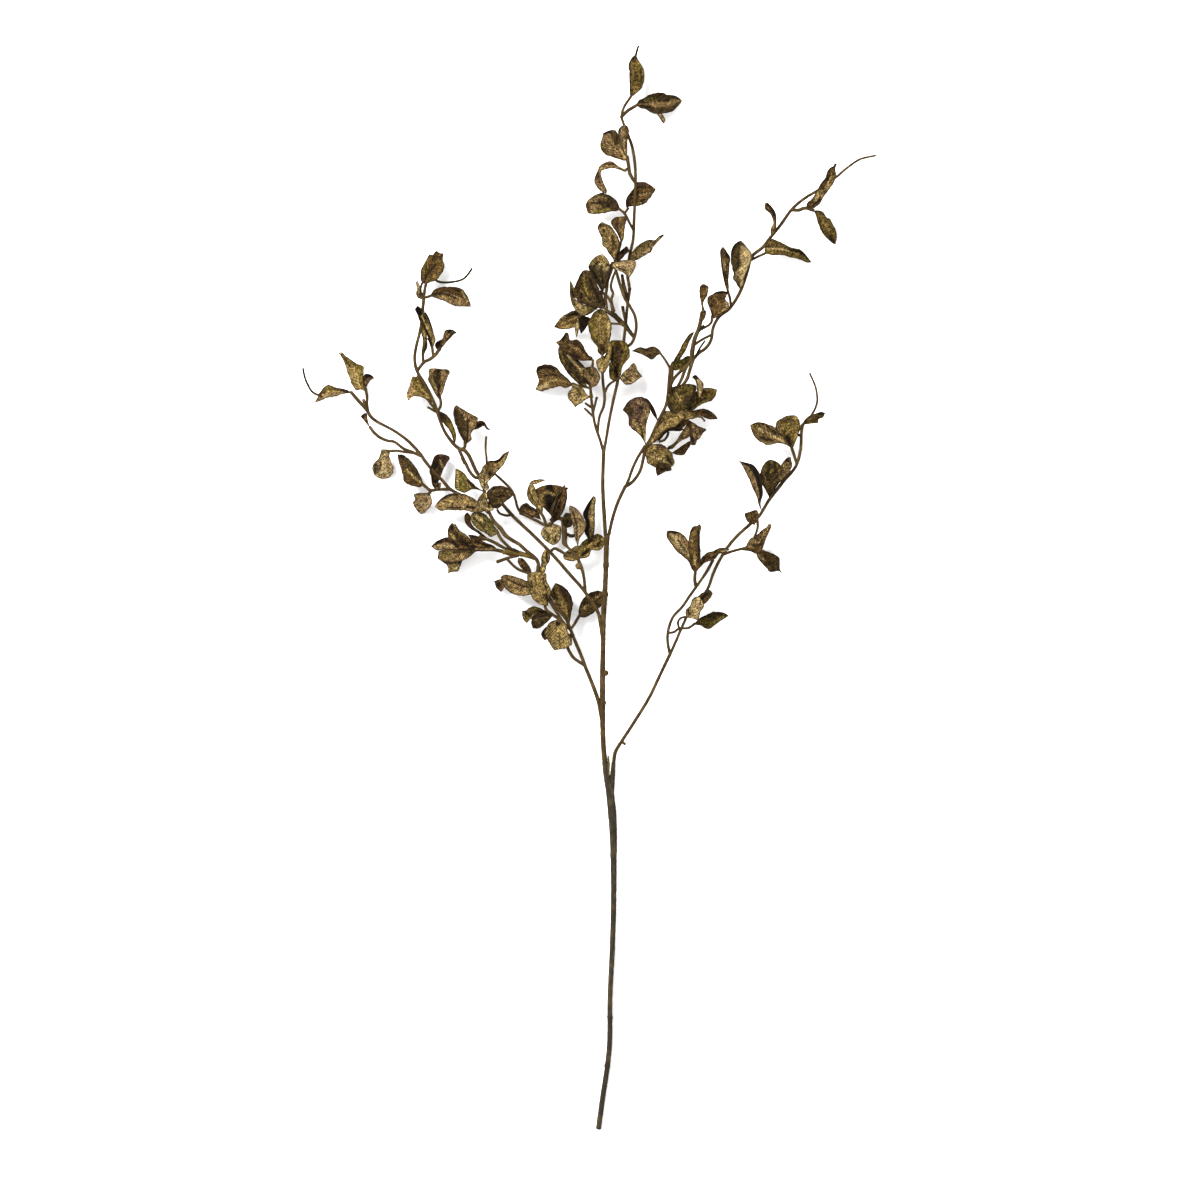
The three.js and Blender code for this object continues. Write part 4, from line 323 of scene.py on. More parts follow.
@dataclass(frozen=True)
class Wire:
    """A coated wire through (x, y, height, width) points."""

    points: tuple[Point, ...]
    tone: Tone = Tone.OCHRE_WIRE
    lumps: float = 0.12

    def add_to(self, skin: Skin) -> None:
        """Adds the wire, round and closed at both ends.

        Args:
            skin: What it is added to.
        """
        path = smooth_path([on_sheet(point) for point in self.points], WIRE_STEP)
        widths = [point[3] for point in self.points]
        tone = linear(self.tone.value)
        pale = linear(Tone.PALE_WIRE.value)
        rings = []
        reach = 0.0
        across = Vector((0, 0, 1))
        stations = [
            (path[0], WIRE_END_SHARE, -WIRE_END_PUSH),
            *((place, 1.0, 0.0) for place in path),
            (path[-1], WIRE_END_SHARE, WIRE_END_PUSH),
        ]
        last = len(path) - 1
        for number, ((centre, at), share, push) in enumerate(stations):
            index = min(max(number - 1, 0), last)
            ahead = (path[min(index + 1, last)][0] - path[max(index - 1, 0)][0]).normalized()
            across = (across - ahead * across.dot(ahead)).normalized()
            other = ahead.cross(across)
            low = min(int(at), len(widths) - 2)
            width = widths[low] + (widths[low + 1] - widths[low]) * (at - low)
            radius = WIRE_FULLNESS * width + WIRE_COAT
            centre = centre + ahead * (push * radius)
            if number > 1:
                reach += (centre - stations[number - 1][0][0]).length
            ring = []
            for side in range(WIRE_SIDES):
                angle = 2 * math.pi * side / WIRE_SIDES
                out = across * math.cos(angle) + other * math.sin(angle)
                bump = self.lumps * noise.noise((centre + out * radius) * LUMPS_PER_MM)
                fine = noise.noise((centre + out * radius) * FINE_LUMPS_PER_MM)
                bump += FINE_LUMP_SHARE * self.lumps * fine
                place = centre + out * (radius * share + bump)
                dust = smooth(0.0, 0.5, noise.noise(place * DUST_PER_MM + DUST_SHIFT))
                colour = blend(tone, pale, DUST_SHARE * dust)
                ring.append(skin.add_point(place, colour, (reach, radius * angle, 0.0)))
            rings.append(ring)
        for first, second in zip(rings, rings[1:]):
            for side in range(WIRE_SIDES):
                after = (side + 1) % WIRE_SIDES
                skin.faces.append((first[side], first[after], second[after], second[side]))
        skin.faces.append(tuple(reversed(rings[0])))
        skin.faces.append(tuple(rings[-1]))


@dataclass(frozen=True)
class Knob:
    """A rough bud or knob of the wire's coating."""

    centre: Point
    radius: float
    tone: Tone = Tone.DARK_WIRE
    roughness: float = 0.35

    def add_to(self, skin: Skin) -> None:
        """Adds the knob as a closed lumpy ball.

        Args:
            skin: What it is added to.
        """
        middle = on_sheet(self.centre)
        tone = linear(self.tone.value)
        ends = []
        rings = []
        for level in range(KNOB_LEVELS + 1):
            lift = math.pi * (level / KNOB_LEVELS - 0.5)
            count = 1 if level in (0, KNOB_LEVELS) else KNOB_TURNS
            ring = []
            for turn in range(count):
                angle = 2 * math.pi * turn / KNOB_TURNS
                level_reach = math.cos(lift)
                out = Vector((math.cos(angle) * level_reach, math.sin(angle) * level_reach, math.sin(lift)))
                bump = self.roughness * noise.noise((middle + out * self.radius) * KNOB_LUMPS_PER_MM)
                place = middle + out * (self.radius + bump)
                ring.append(skin.add_point(place, tone, (self.radius * lift, self.radius * angle, 0.0)))
            (ends if count == 1 else rings).append(ring)
        for turn in range(KNOB_TURNS):
            after = (turn + 1) % KNOB_TURNS
            skin.faces.append((ends[0][0], rings[0][after], rings[0][turn]))
            skin.faces.append((ends[1][0], rings[-1][turn], rings[-1][after]))
            for low, high in zip(rings, rings[1:]):
                skin.faces.append((low[turn], low[after], high[after], high[turn]))


# Marks in the near-black hollow tone are painted shade in hollows, folds and gaps between leaves.
@dataclass(frozen=True)
class Mark:
    """A stroke or spot of another colour on a leaf, along x, y points, that may be hollow."""

    points: Point
    width: float
    tone: Tone
    depth: float = 0.0

    def share(self, place: Vector) -> float:
        """Tells how much of the mark shows at a place.

        Args:
            place: The place, in the frame's axes and millimetres.

        Returns:
            0 outside the mark, up to 1 in its middle.
        """
        path = [on_sheet(point) for point in zip(self.points[::2], self.points[1::2])]
        spot = Vector((place.x, place.y, 0.0))
        gap = (spot - path[0]).length
        for first, second in zip(path, path[1:]):
            step = second - first
            reach = min(1.0, max(0.0, (spot - first).dot(step) / step.length_squared))
            gap = min(gap, (spot - first.lerp(second, reach)).length)
        ragged = MARK_RAG_SHARE * noise.noise(place * MARK_RAGS_PER_MM)
        return smooth(0.75, 0.25, gap / self.width + ragged)


@dataclass(frozen=True)
class Leaf:
    """One pressed leaf: where it grows from, where it ends, and how it bends and is painted.

    Where left and right give its two edges, they take the place of width in the outline. Bends
    that aren't given are drawn from the leaf's own place.
    """

    base: Point
    tip: Point
    width: float
    tone: Tone
    other: Tone = Tone.DARK_BROWN
    where: Side = Side.MOTTLED
    roll: float | None = None
    fold: float | None = None
    curl: float | None = None
    wave: float | None = None
    cup: float | None = None
    left: Point = ()
    right: Point = ()
    marks: tuple[Mark, ...] = ()

    def plan(self) -> list[tuple[Vector, Vector, Vector]]:
        """Works out the leaf's left edge, midrib and right edge in plan.

        Returns:
            The three places for each row from base to tip, all at height 0.
        """
        start, end = on_sheet(self.base[:2]), on_sheet(self.tip[:2])
        if self.left and self.right:
            sides = []
            for edge in (self.left, self.right):
                points = [on_sheet(point) for point in zip(edge[::2], edge[1::2])]
                sides.append(evenly([start, *points, end], BLADE_ROWS))
            return [(a, a.lerp(b, 0.5), b) for a, b in zip(*sides)]
        ahead = (end - start).normalized()
        right = Vector((ahead.y, -ahead.x, 0))
        lines = []
        for row in range(BLADE_ROWS + 1):
            along = row / BLADE_ROWS
            swelled = along ** (math.log(0.5) / math.log(BELLY))
            half = 0.5 * self.width * max(0.0, math.sin(math.pi * swelled)) ** OUTLINE_FULLNESS
            rib = start.lerp(end, along)
            lines.append((rib - right * half, rib, rib + right * half))
        return lines

    def surface(self) -> list[list[tuple[Vector, float, float]]]:
        """Works out the leaf's middle surface.

        Returns:
            For each row, a place, its signed share of the half width and its relief for each column.
        """
        base = self.base
        most = SLIM_ROLL if self.width < SLIM_LIMIT else BROAD_ROLL
        roll = math.radians(settled(self.roll, (2 * draw(base, 1) - 1) * most))
        fold = math.radians(settled(self.fold, FOLD_SPREAD * draw(base, 2) + FOLD_LEAST))
        curl = settled(self.curl, CURL_SPREAD * draw(base, 3) + CURL_LEAST)
        wave = settled(self.wave, WAVE_SPREAD * draw(base, 4) + WAVE_LEAST)
        phase = 2 * math.pi * draw(base, 5)
        cup = math.radians(max(CUP_FLATTEST, settled(self.cup, CUP_SPREAD * draw(base, 6) + CUP_LEAST)))
        rim_lift = RIM_SPREAD * draw(base, 7) + RIM_LEAST
        hollows = [mark for mark in self.marks if mark.depth]
        length = (on_sheet(self.tip) - on_sheet(base)).length
        seed = Vector((base[0] * 0.37, base[1] * 0.53, 3.0))
        rows = []
        for row, (left, rib, right) in enumerate(self.plan()):
            along = row / BLADE_ROWS
            height = base[2] + (self.tip[2] - base[2]) * along
            height += ARCH_SHARE * length * math.sin(math.pi * along)
            height += curl * max(0.0, (along - CURL_START) / (1 - CURL_START)) ** 2
            fade = math.sin(math.pi * min(1.0, max(0.0, along))) ** 0.5
            line = []
            for column in range(BLADE_COLUMNS + 1):
                across = 2 * column / BLADE_COLUMNS - 1
                edge = left if across < 0 else right
                share = abs(across)
                notch = Vector((along * length / NOTCH_MM, math.copysign(4, across), 0))
                reach = (edge - rib) * (share * (1 + NOTCH_SHARE * noise.noise(notch + seed) * fade))
                spread = reach.length
                tilt = max(-STEEPEST, min(STEEPEST, fold - roll * math.copysign(1, across)))
                place = rib + reach
                place.z = height + spread * math.tan(tilt)
                place.z += (edge - rib).length * (1 - math.cos(cup * share)) / math.sin(cup)
                turn = RIPPLE_TURNS * along + phase + (RIPPLE_SHIFT if across < 0 else 0)
                place.z += fade * wave * share**2 * math.sin(turn)
                curled = Vector((along * length / RIM_CURL_MM, math.copysign(9, across), 5))
                rim_height = rim_lift + RIM_CURL * noise.noise(curled + seed)
                place.z += fade * smooth(0.62, 1.0, share) * rim_height
                coarse = noise.noise(place * COARSE_PER_MM + seed)
                fine = noise.noise(place * FINE_PER_MM + seed)
                place.z += fade * (COARSE_HEIGHT * coarse + FINE_HEIGHT * fine)
                relief = COARSE_RELIEF * coarse + FINE_RELIEF * fine
                relief += GRAIN_RELIEF * noise.noise(place * GRAIN_PER_MM + seed)
                place.z -= sum(mark.depth * mark.share(place) for mark in hollows)
                place.z = max(place.z, BLADE_HALF_THICKNESS)
                line.append((place, across, relief))
            rows.append(line)
        return rows

    def colour(self, place: Vector, along: float, across: float, relief: float) -> list[float]:
        """Paints one point of the leaf.

        Args:
            place: The point.
            along: Its share of the way from base to tip.
            across: Its signed share of the half width.
            relief: How far it stands out of the crumpled blade, mostly from -1 to 1, with the paint's grain
                added; it sets the painted light and shade.

        Returns:
            Its colour in linear light.
        """
        stray = STRAY_SHARE * noise.noise(place * STRAY_PER_MM)
        side, share = across + stray, abs(across)
        shown = {
            Side.LEFT: smooth(0.1, -0.35, side),
            Side.RIGHT: smooth(-0.1, 0.35, side),
            Side.TIP: smooth(0.5, 0.8, along + stray),
            Side.BASE: smooth(0.5, 0.2, along + stray),
            Side.MIDRIB: smooth(0.5, 0.15, share + stray),
            Side.RIM: smooth(0.55, 0.9, share + stray),
            Side.MOTTLED: MOTTLE_SHARE * smooth(-0.02, 0.12, stray),
        }[self.where]
        # Where the second tone is the near-black hollow tone, it is painted shade.
        mixed = blend(linear(self.tone.value), linear(self.other.value), shown)
        # Painted shade at the base, where the leaf tucks under the stem and the leaves beside it.
        mixed = blend(mixed, linear(Tone.DARK_BROWN.value), BASE_PAINTED_SHADE * smooth(0.16, 0.02, along))
        # Marks in the near-black hollow tone are painted shade in hollows, folds and gaps between leaves.
        for mark in self.marks:
            mixed = blend(mixed, linear(mark.tone.value), MARK_STRENGTH * mark.share(place))
        # Painted light and shade from the crumples, lighter where they rise and darker in their creases,
        # together with the paint's grain.
        shaded_and_grained = min(SHADE_AND_GRAIN_MOST, max(SHADE_AND_GRAIN_LEAST, SHADE_AND_GRAIN_MEAN + SHADE_AND_GRAIN_GAIN * relief))
        return [value * shaded_and_grained for value in mixed]

    def add_to(self, skin: Skin) -> None:
        """Adds the leaf as a closed blade with both faces split alike.

        Args:
            skin: What it is added to.
        """
        rows = self.surface()
        length = (on_sheet(self.tip) - on_sheet(self.base)).length
        last_row, last_column = len(rows) - 1, BLADE_COLUMNS
        faces: list[list[list[int]]] = [[], []]
        for row, line in enumerate(rows):
            along = row / last_row
            numbers: list[list[int]] = [[], []]
            half_width = max((line[0][0] - line[-1][0]).length / 2, 0.1)
            for column, (place, across, relief) in enumerate(line):
                ahead = rows[min(row + 1, last_row)][column][0] - rows[max(row - 1, 0)][column][0]
                near = min(max(row, 1), last_row - 1)
                beside = rows[near][min(column + 1, last_column)][0] - rows[near][max(column - 1, 0)][0]
                normal = beside.cross(ahead).normalized()
                thick = BLADE_HALF_THICKNESS
                thick += (RIM_HALF_THICKNESS - thick) * smooth(0.8, 1.0, abs(across))
                thick += (RIM_HALF_THICKNESS - thick) * smooth(0.93, 1.0, along)
                tone = self.colour(place, along, across, relief)
                inward = min(half_width * (1 - abs(across)), length * (1 - along))
                blade = (along * length, across * half_width, inward)
                numbers[0].append(skin.add_point(place + normal * thick, tone, blade))
                numbers[1].append(skin.add_point(place - normal * thick, tone, blade))
            faces[0].append(numbers[0])
            faces[1].append(numbers[1])
        top, under = faces
        for row in range(last_row):
            for column in range(last_column):
                a, b = top[row][column], top[row][column + 1]
                c, d = top[row + 1][column + 1], top[row + 1][column]
                skin.faces.append((a, b, c, d))
                e, f = under[row][column], under[row][column + 1]
                g, h = under[row + 1][column + 1], under[row + 1][column]
                skin.faces.append((e, h, g, f))
            skin.faces.append((top[row][0], top[row + 1][0], under[row + 1][0], under[row][0]))
            skin.faces.append((top[row][-1], under[row][-1], under[row + 1][-1], top[row + 1][-1]))
        for a in range(last_column):
            b = a + 1
            skin.faces.append((top[0][a], under[0][a], under[0][b], top[0][b]))
            skin.faces.append((top[-1][a], top[-1][b], under[-1][b], under[-1][a]))


def add_node(
    tree: bpy.types.NodeTree, kind: str, settings: dict | None = None, inputs: dict | None = None
) -> bpy.types.Node:
    """Adds one node, sets it and links it.

    Args:
        tree: The material's nodes.
        kind: The node's type.
        settings: Its own properties.
        inputs: A value or another node's output for each input socket, by name or number.

    Returns:
        The node.
    """
    node = tree.nodes.new(kind)
    for name, value in (settings or {}).items():
        setattr(node, name, value)
    for socket, value in (inputs or {}).items():
        if isinstance(value, bpy.types.NodeSocket):
            tree.links.new(value, node.inputs[socket])
        else:
            node.inputs[socket].default_value = value
    return node


@dataclass(frozen=True)
class LeafyBranch:
    """A leafy branch or twig: its wires and knobs, and the leaves that grow from them."""

    node: str
    wires: tuple[Wire | Knob, ...]
    leaves: tuple[Leaf, ...]

    def build(self, wire_finish: "TapedWire", leaf_finish: "FlockedLeaf") -> list[bpy.types.Object]:
        """Builds and dresses the branch in place of its plain solid.

        Args:
            wire_finish: The finish of its wires.
            leaf_finish: The finish of its leaves.

        Returns:
            Its wires and its leaves, as two pieces.
        """
        pieces = []
        for ending, parts, finish in (
            ("wires", self.wires, wire_finish), ("leaves", self.leaves, leaf_finish),
        ):
            skin = Skin()
            for part in parts:
                part.add_to(skin)
            piece = skin.to_object(f"{self.node}_{ending}", finish.material())
            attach(piece, "root")
            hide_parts(self.node)
            pieces.append(piece)
        return pieces


@dataclass(frozen=True)
class CentreBranch(LeafyBranch):
    """The leafy branch that goes straight up to the top tendril."""

    node: str = "centre_branch"
    wires: tuple[Wire | Knob, ...] = (
        Wire(((605.4, 535.3, 24.6, 3.2), (604.6, 520, 25, 3.3), (603.6, 505, 25.4, 3.3),
            (602.8, 488, 25.8, 3.3), (603, 470, 26, 3.1), (603.8, 450, 26, 3.2))),
        Wire(((603.7, 453, 26, 2.6), (606, 440, 26, 2.4), (609, 422, 25.6, 2.4), (613, 402, 25, 2.4),
            (617.5, 382, 24.4, 2.4), (621, 362, 24, 2.4), (624.3, 337, 24, 2.4), (627.5, 305, 23, 2.4),
            (629.5, 289, 22.6, 2.4), (627.5, 275, 22.2, 2.4), (630, 254, 21.6, 2.4), (633, 240, 21, 2.4),
            (634.2, 215, 20, 2.4), (635.5, 185, 18.6, 2.4), (635, 165, 17.6, 2.4), (632, 146, 16, 2.4),
            (625, 127, 14.6, 2.2), (621.7, 116, 14, 2.2), (624, 107, 14, 2.2), (631, 96, 13.6, 2.2))),
        Wire(((603.7, 453, 26, 2.6), (600, 440, 26.6, 2.4), (596.5, 430, 27, 2.4), (594, 420, 27, 2.2),
            (592, 405, 27, 2.2), (590, 386, 26, 2))),
        Wire(((591.8, 408, 27, 1.8), (585, 403.5, 29, 1.8))),
        Wire(((593.2, 417, 27, 1.8), (584.5, 408.5, 24, 1.8))),
        Wire(((593, 413, 27, 1.8), (596.5, 399, 29, 1.6))),
        Knob((596.6, 398.5, 29), 1.5),
        Wire(((597.5, 433, 26.8, 2.2), (599.5, 417, 27.5, 2.2), (603.5, 407, 28, 2.2),
            (604.6, 397, 28, 2.2), (603, 383, 27.6, 2.2), (602.3, 352, 27, 2))),
        Wire(((604.6, 393, 28, 1.8), (609, 385, 27, 1.8), (620, 378, 25, 2))),
        Wire(((628, 346.5, 25.6, 2.4), (632, 343, 27, 2.4), (636, 330, 28, 2.6), (635, 317, 28, 2.6),
            (630, 307, 28, 2.4), (625, 299, 28, 2.2), (621.6, 290, 28, 2.4), (617.6, 277, 27, 2.6),
            (614.5, 262, 26, 2), (619, 250, 26, 2), (621, 242, 25, 1.8))),
        Wire(((627.4, 304, 24, 2.6), (625.8, 293, 25, 2.8), (623.4, 284, 25.4, 2.8), (622, 275, 25, 2.4)),
            Tone.DARK_WIRE),
        Wire(((625.6, 325, 24.4, 3.4), (628.4, 330, 25.4, 3.4), (633.6, 337, 27, 3.2)), Tone.DARK_WIRE),
        Wire(((612.5, 262.5, 26, 1.8), (609.6, 269, 25.6, 2.2), (608, 279, 25.4, 2.4),
            (606.6, 290, 25.4, 2.4), (604.6, 300, 25.4, 2.2), (603.6, 309, 25.4, 2))),
        Wire(((615.6, 271, 26, 1.8), (611.6, 282, 26, 2), (611, 288, 26, 2), (613, 294, 26, 2),
            (611.2, 300, 26, 2.4), (612, 306, 26, 2.8), (613.4, 312, 26, 3.6))),
        Wire(((602.4, 293, 26.4, 1.8), (607.4, 297, 26.6, 2), (611.6, 303.5, 26.6, 2.2))),
        Wire(((605.6, 311.4, 27.4, 2.2), (612.6, 314.6, 27.6, 4.6), (618.6, 320, 27.6, 4.4),
            (624, 325, 27, 4.4)), Tone.DARK_WIRE, 0.3),
        Wire(((622.6, 307, 28, 2.6), (623.8, 314, 27.6, 2), (625.6, 322, 26.6, 2.2)), Tone.DARK_WIRE),
        Knob((629.6, 289.6, 23.4), 1.9, Tone.DARK_BROWN),
        Wire(((634.5, 338, 27.6, 1.8), (627, 329.5, 29, 1.8), (622, 325, 29, 1.8), (611, 324, 28, 1.6))),
        Wire(((623, 325.5, 29, 1.6), (617, 317, 28, 1.6), (607, 311, 27, 1.8), (600, 306, 27, 2),
            (590, 313, 26.6, 1.8), (580, 317, 26, 1.8))),
        Wire(((607, 311, 27, 1.6), (606, 290, 27, 1.6), (613, 267, 26.6, 1.8))),
        Wire(((603, 308, 27, 1.8), (601, 291, 27, 1.8))),
        Wire(((592, 398, 26.6, 2), (590.5, 388, 26, 2), (592, 373, 26.6, 1.8), (593, 360, 27, 1.8))),
        Wire(((590, 388.5, 26, 1.8), (582, 386.5, 25.6, 1.8), (573, 385, 25, 1.8))),
        Wire(((635.3, 183, 18.6, 2.8), (630, 174, 19, 3), (628.5, 165, 19, 2.8), (627, 156, 19, 2.6))),
        Wire(((633.6, 231, 20.8, 2), (629, 222, 21, 2), (624, 213, 21, 2), (619, 209, 21, 2))),
        Wire(((624.5, 213.5, 20.6, 1.8), (628.5, 208, 17.5, 1.8))),
        Wire(((620.8, 117.5, 14, 2.8), (627, 111, 14, 3), (638, 104, 14, 2.6))),
        Wire(((635.2, 57, 4, 1.8), (637, 50, 8, 1.6), (638.5, 45.5, 12, 1.5)), Tone.DARK_WIRE),
    )
    leaves: tuple[Leaf, ...] = (
        # Leaves at the top
        Leaf((630.5, 98, 13.6), (636, 53, 2), 14.5, Tone.OLIVE, Tone.BROWN, Side.LEFT, left=(629.7, 92,
            629.5, 85, 629.3, 78, 629, 70, 628.6, 64, 631, 58, 634, 54.5), right=(634, 95, 639, 91,
            642.5, 86.5, 644, 81, 644.6, 75, 644, 69.5, 641.5, 64, 639, 60.5, 637.2, 56),
            marks=(Mark((632.3, 62, 632.5, 75, 631.8, 88), 2.4, Tone.TAN),
            Mark((637.5, 75.5), 2.6, Tone.PAINTED_HOLLOW_SHADE, 0.8), Mark((634, 54, 635, 60), 3, Tone.BROWN),
            Mark((641, 68, 641, 84), 2, Tone.DARK_BROWN))),
        Leaf((636.5, 104.5, 14), (682.5, 99, -3), 21, Tone.DARK_OLIVE, Tone.TAUPE, Side.MIDRIB, roll=4,
            left=(639, 99.8, 643, 98.5, 649, 95, 655, 93.2, 661, 91.8, 667, 94, 674, 94.2, 679, 96.3),
            right=(640, 108, 645, 109, 650, 112, 656, 113.7, 662, 113.7, 668, 112.5, 674, 109.5, 678, 105,
            681, 101.5), marks=(Mark((648, 104, 656, 103, 664, 102, 674, 99), 2.2, Tone.TAUPE),
            Mark((658, 100, 669, 99), 1.8, Tone.PAINTED_HOLLOW_SHADE), Mark((661.5, 110), 3.4, Tone.PAINTED_HOLLOW_SHADE, 0.8),
            Mark((641, 105.5, 651, 106.5), 2, Tone.DARK_BROWN),
            Mark((645, 100, 655, 97), 2.4, Tone.GREEN_OLIVE))),
        Leaf((653, 103, 10.6), (664, 122.8, 5), 6, Tone.BEIGE, left=(658, 107, 662.5, 114, 665.6, 119.5),
            right=(655, 110, 659, 116, 662, 121), marks=(Mark((663, 121), 3, Tone.DARK_BROWN),)),
        Leaf((628, 160, 19), (603, 133, 22), 24, Tone.TAUPE, Tone.BROWN, Side.RIM, left=(624, 161,
            619, 159.8, 612, 157.8, 605, 155.5, 601, 151, 600.3, 145, 601.8, 139), right=(627, 156,
            624, 151.5, 622.5, 145, 620.5, 138, 617.5, 132.8, 613, 130, 608, 131),
            marks=(Mark((617, 143.5), 4, Tone.PAINTED_HOLLOW_SHADE, 1), Mark((614, 136, 616, 141), 7, Tone.DARK_OLIVE),
            Mark((606, 141, 611, 147, 616, 152), 2.6, Tone.PINK_TAUPE),
            Mark((608, 142.5, 613.5, 148), 1.8, Tone.DARK_BROWN),
            Mark((605, 134, 608, 132, 612, 133.5), 2.4, Tone.PAINTED_HOLLOW_SHADE), Mark((603, 147), 4, Tone.GREEN_OLIVE),
            Mark((622, 153, 626, 158), 2.4, Tone.STRAW))),
        Leaf((627, 158, 19), (624.5, 125.5, 24), 10, Tone.BEIGE, Tone.BROWN, Side.RIGHT, left=(622.5, 150,
            620, 140, 617.8, 132, 619.5, 128.5, 621.5, 126.7), right=(627, 150, 627.6, 143, 627.8, 138,
            629, 133, 628.6, 129, 627, 126.3), marks=(Mark((619.6, 129, 619.6, 134), 2, Tone.DARK_BROWN),
            Mark((622.5, 131, 623.5, 137), 3, Tone.PINK_TAUPE))),
        Leaf((628.7, 166.3, 19), (606.5, 194.5, 22), 9, Tone.TAUPE, Tone.BROWN, roll=20, left=(626, 172,
            620, 170.3, 613, 168.7, 606, 169.8, 601.2, 172, 602.3, 179, 604.5, 185, 607, 190.5),
            right=(624.5, 169, 618, 165.8, 611.5, 161.3, 604.5, 162.7, 599.8, 166, 597.3, 171.5,
            594.8, 177.5, 594.3, 183, 597.5, 188.5, 602, 192.5),
            marks=(Mark((598.5, 173, 598.5, 178, 600, 184), 2, Tone.DARK_BROWN),
            Mark((604, 165, 614, 164.5), 2, Tone.DARK_BROWN))),
        Leaf((620, 209, 21), (585.3, 205, 14), 20, Tone.DARK_OLIVE, Tone.TAUPE, Side.TIP, left=(617, 211.3,
            611, 211.8, 603, 213.8, 596, 214.3, 588.3, 213.6, 586.8, 210), right=(618.5, 205, 616.5, 201,
            612, 197, 608, 195, 602, 193.2, 597, 194, 592, 197, 588, 200),
            marks=(Mark((591, 203, 602, 203.5), 2.2, Tone.PAINTED_HOLLOW_SHADE),
            Mark((608, 205.5), 3.6, Tone.PAINTED_HOLLOW_SHADE, 0.8), Mark((588, 203, 588.3, 210), 2.4, Tone.DARK_BROWN),
            Mark((595, 211.5, 609, 210), 3.4, Tone.GREEN_OLIVE),
            Mark((599, 197, 606, 199), 3, Tone.TAUPE))),
        Leaf((627, 209.5, 17.5), (656, 188.5, 10), 20, Tone.BROWN, Tone.DARK_BROWN, Side.BASE, roll=8,
            left=(625.8, 205, 626, 199, 629, 194, 632, 190.5, 634, 187, 636, 182.5, 640, 181.7, 646, 182.5,
            651, 184.8), right=(628.5, 207, 632, 206.5, 637, 206, 641, 205.3, 646, 202.5, 649.5, 198.5,
            652.5, 194, 655, 190.5), marks=(Mark((636, 184, 646, 184.5), 2.6, Tone.PURPLE_BROWN),
            Mark((635, 187, 646, 187), 1.6, Tone.PAINTED_HOLLOW_SHADE),
            Mark((640, 202.5, 644, 199.5), 3, Tone.PAINTED_HOLLOW_SHADE, 0.8),
            Mark((634, 197, 643, 194, 650, 193), 2.4, Tone.TAUPE),
            Mark((633, 204, 640, 203), 3, Tone.GREEN_OLIVE))),
        # Leaves at the middle
        Leaf((614.6, 262.2, 26), (601.5, 222, 20), 18, Tone.TAUPE, Tone.OLIVE, left=(612, 258, 608, 253,
            605.5, 248.5, 603, 247, 601.5, 239, 599, 233, 597.5, 228, 599, 224.5), right=(616.5, 256,
            618.5, 249, 619.5, 242, 617.5, 237, 614, 231, 611, 227, 606, 224.3),
            marks=(Mark((603.5, 231), 3.4, Tone.DARK_BROWN),
            Mark((600, 225, 604, 226), 3.4, Tone.DARK_BROWN), Mark((604, 239, 607, 250), 3.6, Tone.STRAW),
            Mark((612, 236, 614, 246), 3, Tone.DARK_OLIVE))),
        Leaf((621, 244, 25), (620, 217.8, 27), 13, Tone.BROWN, Tone.OLIVE, left=(619.5, 239, 616, 232,
            611.5, 226, 611.7, 221.5, 614.8, 218.4), right=(623.3, 240, 624.5, 233, 625.2, 227, 626.2, 221,
            625, 217.3), marks=(Mark((618, 223, 618.5, 229), 4, Tone.PURPLE_BROWN),
            Mark((612, 228, 617, 233.5), 1.8, Tone.PAINTED_HOLLOW_SHADE), Mark((623, 228, 622, 238), 2.6, Tone.TAN))),
        Leaf((614.8, 261.5, 26), (628.3, 249, 27), 6, Tone.DARK_BROWN, left=(615.8, 257, 619.5, 252.5,
            623.5, 249, 626.3, 246.8), right=(618, 262.3, 621.5, 260, 625.2, 255.5, 629.2, 251.7),
            marks=(Mark((627, 249.5), 3.6, Tone.PAINTED_HOLLOW_SHADE),)),
        Leaf((611, 266, 26.4), (629, 278.3, 30), 13, Tone.BEIGE, Tone.PINK_TAUPE, left=(616, 262,
            625, 260.5, 634, 260.5, 636, 264.5, 634, 271), right=(614, 270, 619.5, 272, 624.5, 274.8),
            marks=(Mark((617, 268, 624, 271.5), 2, Tone.DARK_BROWN),
            Mark((625, 264, 632, 264), 2.4, Tone.PINK_TAUPE))),
        Leaf((628.5, 261, 21.6), (665.5, 233.5, 12), 11, Tone.TAUPE, Tone.TAN, Side.LEFT, roll=30,
            left=(630, 256, 632.5, 252, 636, 248, 641, 244, 645, 241.5, 650, 240, 655, 240, 659, 236),
            right=(636, 260.5, 641, 258, 646, 255, 651, 252, 654, 246.5, 658, 242, 662, 237.5),
            marks=(Mark((636, 257, 644, 252, 652, 247), 1.8, Tone.BEIGE),
            Mark((662, 236.5), 4, Tone.DARK_BROWN), Mark((650, 252, 655, 245.5), 2, Tone.DARK_BROWN),
            Mark((633, 252, 640, 246), 3, Tone.GREEN_OLIVE))),
        Leaf((602.5, 293, 27), (602.5, 254.3, 24), 20, Tone.DARK_OLIVE, Tone.BEIGE, Side.TIP,
            left=(598, 286, 593, 278, 588.5, 270, 589.5, 265, 592, 261, 597, 256.5), right=(605.5, 287,
            608, 278, 609.8, 268, 609.5, 263.5, 606, 257.5),
            marks=(Mark((594, 262, 600, 259, 606, 262), 5, Tone.TAN),
            Mark((590, 267, 592, 272, 597, 279), 2, Tone.PAINTED_HOLLOW_SHADE),
            Mark((602, 266, 602.5, 284), 1.8, Tone.PAINTED_HOLLOW_SHADE))),
        Leaf((602.5, 309, 27), (583, 270.5, 18), 25, Tone.DARK_OLIVE, Tone.BROWN, left=(595, 308,
